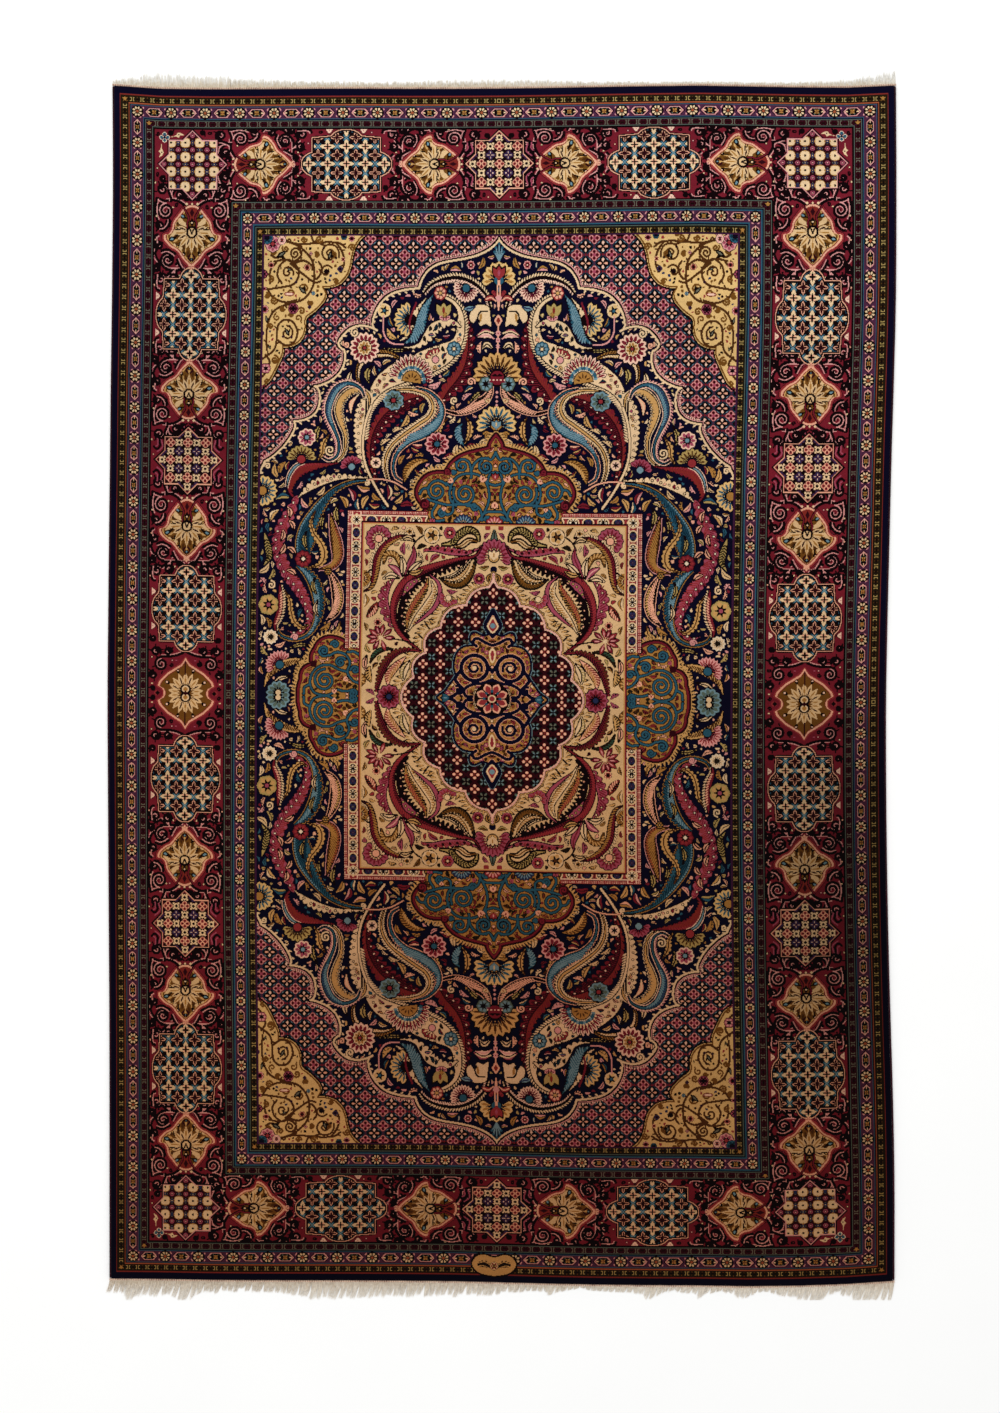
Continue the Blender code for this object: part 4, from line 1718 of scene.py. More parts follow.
# Style, spine, left widths and right widths of each long leaf, in mm from the rug's middle.
NAVY_LEAVES = (
    # beside the axis
    (
        FROND, ((22, 1180), (40, 1222), (74, 1252), (120, 1268), (170, 1264), (208, 1248), (232, 1222)),
        (0, 2, 0), (0, 2, 0),
    ),
    (
        COMBED, ((64, 985), (28, 980), (16, 948), (30, 912), (70, 884), (118, 872), (160, 882)),
        (0, 2, 12, 22, 14, 4, 0), (0, 2, 0),
    ),
    (GOLD_LEAF, ((92, 860), (80, 835), (82, 805), (96, 776)), (0, 9, 8, 0), (0, 9, 8, 0)),
    (BLUE_PLUME, ((104, 842), (116, 822), (112, 796), (98, 772)), (0, 10, 8, 0), (0, 11, 8, 0)),
    (GOLD_LEAF, ((150, 856), (168, 836), (176, 812), (168, 786)), (0, 6, 6, 0), (0, 8, 7, 0)),
    # crimson notched leaf outside the large cream one
    (
        CRIMSON_LEAF,
        (
            (176, 892), (152, 938), (122, 976), (102, 1010), (92, 1050), (90, 1096), (98, 1140), (118, 1186),
            (150, 1215), (178, 1224),
        ),
        (8, 22, 34, 26, 18, 20, 14, 8, 5, 0), (18, 24, 26, 22, 16, 12, 8, 4, 3, 0),
    ),
    # the large cream leaf and the sickle inside it
    (
        Leaf(Yarn.CREAM, teeth_left=Yarn.CREAM, tooth=17),
        (
            (392, 880), (376, 915), (345, 945), (300, 965), (240, 985), (190, 1005), (150, 1030), (122, 1065),
            (108, 1105), (107, 1150), (122, 1188), (155, 1212), (196, 1218),
        ),
        (3, 3, 3, 3, 3, 3, 3, 3, 3, 2, 2, 2, 0), (4, 24, 46, 60, 62, 66, 62, 50, 24, 20, 9, 5, 0),
    ),
    (
        Leaf(Yarn.CREAM, lobes=(0, 11), lobe=17),
        (
            (112, 1130), (140, 1143), (170, 1143), (198, 1128), (218, 1102), (236, 1080), (262, 1070),
            (296, 1068),
        ),
        (0, 7, 8, 12, 10, 5, 2, 0), (2, 10, 19, 22, 20, 11, 3, 0),
    ),
    # blue and cream feathered leaves
    (
        BLUE_PLUME, ((200, 1222), (222, 1196), (238, 1165), (248, 1130), (262, 1100), (288, 1080)),
        (0, 4, 6, 7, 4, 0), (0, 14, 22, 23, 15, 0),
    ),
    (
        Leaf(Yarn.CREAM, lobes=(7, 4), lobe=11, comb_right=Yarn.INK),
        ((222, 1212), (240, 1190), (255, 1160), (264, 1128), (280, 1100), (304, 1086)), (0, 6, 14, 17, 9, 0),
        (0, 4, 5, 5, 4, 0),
    ),
    # leaves round the small rosette
    (
        Leaf(Yarn.OCHRE, comb=Yarn.UMBER, vein=Yarn.INK, comb_right=Yarn.CREAM),
        ((290, 1034), (340, 1050), (388, 1046), (420, 1022), (428, 985), (414, 945)), (0, 8, 9, 6, 4, 0),
        (0, 7, 12, 10, 5, 0),
    ),
    (STRAW_LEAF, ((268, 1062), (310, 1060), (352, 1066)), (0, 5, 0), (0, 5, 0)),
    (STRAW_LEAF, ((384, 1014), (398, 992), (392, 962)), (0, 9, 0), (0, 8, 0)),
    (CREAM_PLAIN, ((446, 1000), (452, 976), (440, 950)), (0, 8, 0), (0, 7, 0)),
    # crimson leaf inside the gold loop, then the loop and the blue one round it
    (
        CRIMSON_LEAF,
        (
            (362, 655), (376, 700), (384, 750), (378, 800), (358, 845), (322, 885), (276, 912), (225, 925),
            (196, 915),
        ),
        (4, 9, 16, 28, 36, 38, 32, 16, 0), (4, 8, 12, 14, 18, 26, 28, 16, 0),
    ),
    (
        Leaf(Yarn.GOLD, edge=Yarn.CREAM, teeth_left=Yarn.CREAM, teeth_right=Yarn.SAND, tooth=14),
        (
            (318, 944), (262, 946), (214, 930), (195, 896), (206, 862), (240, 836), (280, 806), (314, 776),
            (334, 740), (338, 700), (326, 656),
        ),
        (0, 2, 2, 2, 3, 3, 3, 2, 2, 1, 0), (0, 2, 2, 2, 3, 3, 3, 2, 2, 1, 0),
    ),
    (
        Leaf(Yarn.TEAL, edge=Yarn.SALMON, comb=Yarn.SKY, lobes=(9, 0), lobe=9),
        (
            (250, 952), (205, 938), (172, 905), (166, 868), (185, 828), (225, 800), (265, 782), (300, 748),
            (313, 710), (306, 674), (282, 657),
        ),
        (0, 2, 5, 14, 25, 26, 20, 7, 3, 2, 0), (0, 2, 3, 4, 5, 5, 4, 3, 3, 2, 0),
    ),
    (
        Leaf(Yarn.OCHRE, comb=Yarn.UMBER, comb_right=Yarn.GOLD),
        ((206, 724), (240, 716), (266, 692), (278, 656)), (0, 12, 14, 0), (0, 7, 8, 0),
    ),
    # cream dotted leaf beside the stem
    (
        CREAM_LEAF, ((366, 640), (392, 690), (410, 735), (417, 790), (416, 850), (410, 900), (398, 932)),
        (2, 4, 6, 9, 11, 11, 0), (4, 9, 14, 17, 20, 17, 0),
    ),
    # gold and blue loops to its right
    (
        GOLD_BAND,
        (
            (390, 880), (392, 925), (420, 945), (455, 938), (480, 912), (488, 878), (478, 840), (464, 806),
            (460, 770), (470, 734), (500, 708),
        ),
        (0, 2, 3, 4, 4, 4, 3, 2, 2, 1, 0), (0, 3, 8, 13, 15, 15, 12, 7, 3, 2, 0),
    ),
    (Leaf(Yarn.SALMON, vein=Yarn.CREAM), ((424, 928), (444, 902), (446, 866)), (0, 7, 0), (0, 6, 0)),
    (
        Leaf(Yarn.TEAL, edge=Yarn.BLUSH, comb=Yarn.DUSK, comb_right=Yarn.SKY, teeth_left=Yarn.PINK, tooth=16),
        (
            (404, 922), (418, 948), (455, 962), (492, 944), (512, 902), (514, 862), (498, 822), (484, 788),
            (480, 758), (488, 732), (512, 720), (534, 732),
        ),
        (0, 2, 4, 8, 9, 8, 5, 3, 2, 2, 1, 0), (0, 2, 4, 8, 9, 7, 5, 3, 2, 2, 1, 0),
    ),
    (GOLD_LEAF, ((512, 800), (528, 772), (532, 742), (546, 716)), (0, 10, 8, 0), (0, 8, 7, 0)),
    (STRAW_LEAF, ((536, 836), (550, 806), (546, 776)), (0, 8, 0), (0, 7, 0)),
    # crimson leaf under the gold flower
    (
        Leaf(Yarn.CRIMSON, lobes=(0, 6), comb=Yarn.MADDER, comb_right=Yarn.BRICK),
        ((478, 712), (520, 706), (562, 702), (600, 692), (626, 662), (630, 626), (612, 600)),
        (0, 3, 7, 9, 8, 4, 0), (0, 6, 14, 22, 20, 9, 0),
    ),
    (
        Leaf(Yarn.SKY, edge=Yarn.BLUSH), ((586, 712), (612, 700), (632, 672), (640, 636)), (0, 3, 2, 0),
        (0, 2, 2, 0),
    ),
    # rose notched leaf and the teal sickle with its brown edge
    (
        ROSE_LEAF,
        (
            (606, 612), (628, 562), (650, 520), (662, 478), (656, 430), (636, 385), (606, 346), (580, 306),
            (564, 264), (568, 224), (598, 196), (630, 204),
        ),
        (6, 16, 20, 20, 20, 20, 20, 18, 14, 9, 7, 0), (6, 18, 20, 20, 20, 22, 20, 18, 14, 12, 8, 0),
    ),
    (
        TEAL_SICKLE,
        (
            (378, 660), (430, 656), (480, 638), (522, 606), (560, 562), (588, 520), (600, 470), (594, 424),
            (574, 396),
        ),
        (1, 2, 3, 4, 5, 5, 5, 4, 0), (1, 3, 6, 14, 26, 40, 48, 34, 0),
    ),
    (
        TEAL_SICKLE,
        (
            (604, 404), (570, 385), (545, 355), (532, 315), (530, 270), (540, 226), (566, 190), (606, 176),
            (648, 188), (664, 214),
        ),
        (0, 14, 20, 18, 13, 7, 4, 3, 2, 0), (0, 8, 11, 13, 11, 6, 3, 2, 2, 0),
    ),
    (
        GOLD_LEAF, ((550, 566), (562, 532), (552, 500), (528, 470), (517, 438), (530, 408), (566, 398)),
        (0, 6, 9, 12, 14, 10, 0), (0, 5, 8, 9, 10, 8, 0),
    ),
    (
        BROWN_COMBED, ((504, 560), (486, 512), (472, 470), (470, 430), (490, 402), (536, 392)),
        (0, 14, 24, 22, 10, 0), (0, 4, 5, 5, 4, 0),
    ),
    (
        COMBED, ((504, 388), (478, 350), (466, 308), (476, 264), (506, 236)), (0, 16, 22, 14, 0),
        (0, 4, 5, 4, 0),
    ),
    (STRAW_LEAF, ((478, 588), (486, 560), (476, 526)), (0, 8, 0), (0, 7, 0)),
    (STRAW_LEAF, ((520, 558), (530, 534), (526, 512)), (0, 6, 0), (0, 6, 0)),
    (STRAW_LEAF, ((576, 506), (582, 480), (572, 450)), (0, 7, 0), (0, 6, 0)),
    (STRAW_LEAF, ((548, 366), (552, 340), (540, 316)), (0, 7, 0), (0, 6, 0)),
    (CREAM_PLAIN, ((536, 300), (544, 274), (534, 248)), (0, 6, 0), (0, 5, 0)),
    # cream dotted leaf above the sickle
    (
        Leaf(Yarn.CREAM, lobes=(9, 0), dots=Yarn.CREAM, dot_side=0.3, dot_pitch=26),
        ((372, 668), (430, 667), (480, 664), (530, 650), (570, 632), (604, 606)), (0, 5, 14, 20, 17, 0),
        (0, 2, 3, 5, 6, 0),
    ),
    # low beside the edge of the field
    (
        GOLD_LEAF, ((640, 326), (624, 300), (619, 264), (608, 232), (584, 214), (562, 224)),
        (0, 7, 9, 9, 7, 0), (0, 7, 8, 9, 7, 0),
    ),
    (
        Leaf(Yarn.CRIMSON, comb=Yarn.SALMON, teeth_left=Yarn.CREAM, tooth=13),
        ((664, 196), (668, 222), (656, 258), (652, 300), (656, 350)), (0, 5, 6, 5, 0), (0, 7, 9, 7, 0),
    ),
    (
        Leaf(Yarn.STRAW, comb=Yarn.OLIVE, comb_right=Yarn.OLIVE),
        ((706, 502), (696, 464), (690, 430), (706, 404)), (0, 7, 8, 0), (0, 8, 8, 0),
    ),
    (GOLD_LEAF, ((466, 234), (470, 208), (490, 188)), (0, 9, 0), (0, 9, 0)),
    # above and beside the side cartouche
    (STRAW_LEAF, ((560, 158), (590, 160), (622, 150)), (0, 6, 0), (0, 6, 0)),
    (
        Leaf(Yarn.GOLD, comb_right=Yarn.UMBER, lobes=(0, 7), lobe=11),
        ((552, 102), (600, 112), (650, 98), (686, 66), (700, 24)), (0, 5, 7, 6, 0), (0, 12, 18, 12, 0),
    ),
    (
        Leaf(Yarn.GOLD, comb=Yarn.INK, lobes=(5, 0), lobe=10), ((568, 134), (586, 100), (600, 66), (604, 34)),
        (0, 9, 10, 0), (0, 8, 8, 0),
    ),
    (CREAM_PLAIN, ((616, 60), (650, 52), (676, 30)), (0, 6, 0), (0, 6, 0)),
)  # fmt: skip

# Place, turn, radius, half angle, petals, petal yarn, line yarn and heart of each fan.
NAVY_FANS = (
    (0, 1262, 0, 52, 108, 9, Yarn.IVORY, Yarn.OCHRE, Yarn.TEAL),
    (0, 1236, 180, 24, 80, 5, Yarn.MADDER, Yarn.CRIMSON, Yarn.TEAL),
    (100, 1240, -160, 40, 100, 13, Yarn.BLUSH, Yarn.CRIMSON, Yarn.TEAL),
    (268, 1150, -90, 52, 84, 9, Yarn.IVORY, Yarn.TEAL, Yarn.INK),
    (0, 982, 0, 76, 98, 11, Yarn.GOLD, Yarn.UMBER, Yarn.CRIMSON),
    (0, 838, 0, 62, 112, 11, Yarn.IVORY, Yarn.TEAL, Yarn.OCHRE),
    (440, 700, -20, 36, 80, 7, Yarn.ROSE, Yarn.CRIMSON, Yarn.SKY),
    (596, 722, 0, 46, 92, 9, Yarn.STRAW, Yarn.UMBER, Yarn.MADDER),
    (714, 626, 90, 46, 100, 9, Yarn.IVORY, Yarn.TEAL, Yarn.OCHRE),
    (652, 96, -40, 46, 86, 11, Yarn.PINK, Yarn.MADDER, Yarn.TEAL),
    (190, 1034, -28, 34, 50, 4, Yarn.MADDER, Yarn.CREAM, Yarn.PINK),
)  # fmt: skip

# Place, radius, petals, outer, inner and heart yarn of each round flower.
NAVY_FLOWERS = (
    (179, 1226, 20, 7, Yarn.MADDER, Yarn.SALMON, Yarn.GOLD),
    (134, 1066, 22, 8, Yarn.TEAL, Yarn.SKY, Yarn.CREAM),
    (350, 1176, 21, 5, Yarn.CREAM, Yarn.IVORY, Yarn.TEAL),
    (408, 1066, 47, 15, Yarn.BLUSH, Yarn.CRIMSON, Yarn.CREAM),
    (408, 1066, 22, 9, Yarn.CREAM, Yarn.OCHRE, Yarn.MADDER),
    (316, 912, 32, 9, Yarn.SKY, Yarn.SAGE, Yarn.MADDER),
    (180, 776, 38, 11, Yarn.PINK, Yarn.CRIMSON, Yarn.TEAL),
    (580, 792, 29, 9, Yarn.BLUSH, Yarn.ROSE, Yarn.SKY),
    (584, 424, 26, 9, Yarn.CRIMSON, Yarn.MADDER, Yarn.WHITE),
    (690, 284, 32, 7, Yarn.STRAW, Yarn.GOLD, Yarn.ROSE),
    (682, 184, 24, 11, Yarn.WHITE, Yarn.CREAM, Yarn.OLIVE),
    (656, 8, 38, 11, Yarn.SKY, Yarn.SAGE, Yarn.CREAM),
    (34, 964, 22, 7, Yarn.SAGE, Yarn.SKY, Yarn.INK),
    (506, 386, 12, 6, Yarn.OLIVE, Yarn.OCHRE, Yarn.STRAW),
    (86, 1304, 12, 6, Yarn.PINK, Yarn.MADDER, Yarn.BLUSH),
    (366, 714, 17, 6, Yarn.CREAM, Yarn.BLUSH, Yarn.INK),
)  # fmt: skip

# Place, radius, start and turns of each scroll in the navy field, with its yarn.
NAVY_CURLS = (
    (80, 970, 13, 200, -1.3, Yarn.SALMON), (130, 914, 12, -80, 1.3, Yarn.CREAM),
    (28, 806, 11, 20, 1.4, Yarn.OCHRE), (398, 1128, 12, 200, -1.3, Yarn.SALMON),
    (438, 1110, 14, 90, -1.4, Yarn.CREAM), (464, 1076, 12, 40, -1.3, Yarn.SALMON),
    (508, 752, 17, 240, 1.5, Yarn.CREAM), (682, 344, 13, 90, 1.3, Yarn.CREAM),
    (606, 184, 11, 0, 1.5, Yarn.PINK), (392, 652, 9, 90, 1.2, Yarn.CREAM), (700, 700, 11, 0, 1.3, Yarn.CREAM),
)  # fmt: skip


@dataclass(frozen=True)
class NavyField:
    """Navy ground with a scalloped edge, full of sickle leaves, fans and rosettes."""

    def edge(self) -> Points:
        """The scalloped edge, from the axis down to the side.

        Returns:
            Its points.
        """
        return chain(
            (0, 1388),
            (
                (96, 1328, -14, 0.4),
                (247, 1242, 32, 0.62),
                (388, 1140, 38, 0.55),
                (374, 1121, 4, 0.5),
                (492, 1084, 30, 0.5),
                (474, 1064, 5, 0.5),
                (563, 956, -34, 0.45),
                (548, 940, -3, 0.5),
                (624, 847, -34, 0.5),
                (626, 812, -4, 0.5),
                (712, 718, -10, 0.5),
                (730, 676, 0, 0.5),
            ),
        )

    def draw(self, chart: Chart) -> None:
        """Draw the ground, its edge and what grows on it.

        Args:
            chart: the quarter's chart.
        """
        pen = Pen(chart)
        ground = FieldGround()
        edge = self.edge()
        shape = np.vstack([edge, [(730, -10), (-10, -10), (-10, 1388)]])
        w, h = ground.half_width, ground.half_length
        in_field = pen.mask(rectangle(0, 0, w, h))
        with chart.only(in_field):
            path, ahead = even_points(edge, 7.5)
            for here, way in zip(path[4:], ahead[4:]):
                direction = way * -0.35 + np.array([-way[1], way[0]])
                own = pen.toward(here, direction)
                own.petal(0, 14, 4.6, 0, Yarn.BLUSH, 0.5)
            pen.line(edge, 13, Yarn.INK)
            pen.line(edge + (3, 3), 3, Yarn.PINK)
            pen.fill(shape, Yarn.NAVY)
            pen.line(edge, 5, Yarn.INK)
            pen.line(edge + (-3.5, -3.5), 4, Yarn.CREAM)
            inside = pen.mask(shape) & in_field & ~self.near(pen, edge, 7)
            outside = inside & self.outside_panels(pen)
            with chart.only(inside):
                for here, way in zip(path[44::3], ahead[44::3]):
                    direction = way * -0.7 + np.array([way[1], -way[0]])
                    own = pen.toward(here, direction)
                    own.petal(5, 20, 6.0, 0, Yarn.CREAM, 0.45)
                self.growth(pen)
                self.axis(pen)
                pale = (
                    Yarn.CREAM, Yarn.STRAW, Yarn.GOLD, Yarn.CREAM, Yarn.SALMON, Yarn.OCHRE, Yarn.PINK,
                    Yarn.SAND, Yarn.CRIMSON, Yarn.TEAL,
                )  # fmt: skip
                sow(chart, Yarn.NAVY, outside, pale, seed=7)
                dark = (Yarn.MAROON, Yarn.BRICK, Yarn.MAROON, Yarn.INK, Yarn.ROSE)
                sow(
                    chart, Yarn.CRIMSON, outside, dark, seed=52, sizes=(26, 21, 16, 12, 8), tries=400,
                    margin=5,
                )
                bright = (Yarn.ROSE, Yarn.GOLD, Yarn.TEAL, Yarn.OLIVE, Yarn.CRIMSON, Yarn.SALMON, Yarn.PETROL)
                off_axis = outside & (chart.squares()[0] > 110)
                sow(
                    chart, Yarn.CREAM, off_axis, bright, seed=51, sizes=(22, 17, 13, 9), tries=400,
                    margin=6, line=Yarn.INK,
                )  # fmt: skip

    def outside_panels(self, pen: Pen) -> np.ndarray:
        """Chart-sized array that is true outside the ivory panel's rectangle."""
        return ~pen.mask(rectangle(-5, -5, 452, 569))

    def near(self, pen: Pen, path: Points, distance: float) -> np.ndarray:
        """Chart-sized array that is true near a path.

        Args:
            pen: pen to draw with.
            path: points in mm.
            distance: how near, in mm.

        Returns:
            The array.
        """
        probe = Chart(pen.chart.half_width, pen.chart.half_length)
        probe.trace(path, 2 * distance, Yarn.WHITE)
        return probe.knots == int(Yarn.WHITE)

    def growth(self, pen: Pen) -> None:
        """Long leaves, fans, flowers and scrolls.

        Args:
            pen: pen to draw with.
        """
        for style, spine, left, right in NAVY_LEAVES:
            style.draw(pen, spine, left, right)
        self.half_flower(pen.at(262, 972, 8))
        for x, y, turn, *fan_values in NAVY_FANS:
            fan(pen.at(x, y, turn), *fan_values)
        for x, y, *flower_values in NAVY_FLOWERS:
            flower(pen.at(x, y), *flower_values)
        for x, y, radius, start, turns, yarn in NAVY_CURLS:
            curl(pen, x, y, radius, start, turns, Yarn.INK, 7.5)
            curl(pen, x, y, radius, start, turns, yarn, 3.6)
        # stem of the large leaf, then the bud inside its bend
        stem = smooth(
            [(326, 584), (352, 620), (373, 654), (396, 702), (406, 750), (406, 800), (398, 850), (384, 892)]
        )
        feathers(pen, [(404, 786), (398, 850), (384, 892), (352, 930)], Yarn.CREAM, 18, 1, 8)
        pen.lines(stem, (9, Yarn.INK), (5, Yarn.CREAM))
        tulip(pen.at(168, 1160), 40, Yarn.STRAW, Yarn.BRICK)
        fan(pen.at(164, 1166, 180), 20, 70, 4, Yarn.PINK, Yarn.CRIMSON, Yarn.OCHRE)
        pen.stroke([(352, 1160), (350, 1110), (328, 1082), (290, 1078)], 3, Yarn.PINK)
        pen.stroke([(252, 1198), (264, 1170), (272, 1140), (268, 1112)], 4, Yarn.CRIMSON)
        for x, y in (
            (206, 1052), (182, 1072), (202, 1066), (118, 1143), (126, 1118), (366, 958), (346, 976),
            (384, 940),
        ):
            pen.discs(x, y, (4.8, Yarn.INK), (2.4, Yarn.CREAM))
        for x, y, turn in (
            (622, 522, 60), (652, 492, 100), (620, 446, 40), (652, 452, 120), (632, 560, 80), (618, 380, 30)
        ):
            Leaf(Yarn.SALMON, vein=Yarn.INK).draw(
                pen.at(x, y, turn), [(-16, 0), (2, 5), (20, 0)], (0, 7, 0), (0, 6, 0)
            )
        pen.strokes([(270, 634), (310, 656), (352, 664), (386, 662)], (5, Yarn.INK), (2.6, Yarn.SALMON))

    def half_flower(self, pen: Pen) -> None:
        """The rayed half flower on the large leaf.

        Args:
            pen: pen to draw with.
        """
        for k in range(15):
            angle = 8 + 164 * k / 14
            pen.petal(34, 82 - 10 * abs(k - 5) / 7, 16, angle, Yarn.INK, 0.7)
            pen.petal(34, 80 - 10 * abs(k - 5) / 7, 11, angle, Yarn.BLUSH, 0.7)
            pen.petal(38, 74 - 8 * abs(k - 5) / 7, 6.6, angle, Yarn.CRIMSON, 0.6)
        for k in range(17):
            pen.at(0, 0, 4 + 172 * k / 16).petal(30, 45, 10, 0, Yarn.SKY if k % 3 == 0 else Yarn.TEAL, 0.6)
        pen.fill(np.vstack([arc((0, 0), 31, 0, 180), [(-31, -6), (31, -6)]]), Yarn.INK)
        pen.fill(np.vstack([arc((0, 0), 28, 0, 180), [(-28, -4), (28, -4)]]), Yarn.OCHRE)
        for k in range(5):
            pen.at(0, 0, 20 + 35 * k).petal(8, 24, 5, 0, Yarn.UMBER, 0.5)

    def axis(self, pen: Pen) -> None:
        """Flowers stacked along the rug's axis.

        Args:
            pen: pen to draw with.
        """
        for side in (-1, 1):
            pen.stroke([(0, 1180), (side * 4, 1225), (0, 1290)], 3, Yarn.SALMON)
        for k, (x, y) in enumerate(((0, 1362), (-10, 1352), (10, 1352), (-14, 1340), (14, 1340))):
            pen.line([(0, 1316), (x, y)], 2.2, Yarn.SKY)
            pen.disc(x, y, 3.2, Yarn.DUSK if k % 2 else Yarn.TEAL)
        tulip(pen.at(0, 1268), 34, Yarn.MADDER, Yarn.ROSE)
        pen.fill([(-12, 1214), (0, 1200), (12, 1214), (0, 1222)], Yarn.PINK)
        for side in (-1, 1):
            own = pen if side > 0 else pen.flipped()
            # pair of cream bells
            bell = own.at(50, 1164, 10)
            shape = np.array(
                [
                    (0, 30), (20, 26), (34, 8), (36, -16), (22, -26), (14, -12), (0, -30), (-16, -22),
                    (-32, -26), (-24, 4), (-16, 26),
                ]
            )
            bell.blob(shape * 1.1, Yarn.INK)
            bell.blob(shape, Yarn.CREAM)
            bell.stroke([(-14, 14), (6, 10), (12, -8), (4, -20)], 3, Yarn.INK)
            bell.blob([(0, 4), (8, 0), (6, -12), (0, -18)], Yarn.OCHRE)
            for style, spine in (
                (Leaf(Yarn.SKY, vein=Yarn.DUSK), ((72, 1188), (88, 1184), (106, 1182))),
                (Leaf(Yarn.ROSE, vein=Yarn.CREAM), ((14, 1112), (40, 1118), (66, 1104))),
                (Leaf(Yarn.BLUSH, vein=Yarn.PINK), ((12, 1096), (34, 1106), (64, 1100))),
                (CREAM_PLAIN, ((14, 1066), (34, 1080), (48, 1066))),
                (STRAW_LEAF, ((44, 944), (62, 930), (80, 912))),
                (Leaf(Yarn.MADDER, vein=Yarn.SALMON), ((8, 1204), (24, 1214), (46, 1206))),
            ):
                style.draw(own, spine, (0, 7, 0), (0, 7, 0))
            tulip(own.at(24, 908, -20), 15, Yarn.SAND, Yarn.RUST)
        # lozenge flower above the gold fan
        pen.fill([(-13, 1150), (0, 1168), (13, 1150), (0, 1128)], Yarn.SALMON)
        pen.fill([(-7, 1150), (0, 1160), (7, 1150), (0, 1138)], Yarn.BRICK)
        pen.line([(0, 1128), (0, 1056)], 3.2, Yarn.SALMON)
        for k, v in enumerate((1112, 1092, 1074)):
            floret(pen.at(0, v), 9 - k, Yarn.PINK, Yarn.MADDER)
        pen.fill([(-26, 968), (26, 968), (12, 988), (-12, 988)], Yarn.CRIMSON)
        for k in range(-2, 3):
            pen.disc(k * 11, 976, 3, Yarn.BLUSH)
        for v in (940, 926, 912, 900):
            pen.discs(0, v, (5, Yarn.INK), (3.4, Yarn.PINK))
        tulip(pen.at(0, 828), 26, Yarn.SKY, Yarn.IVORY)


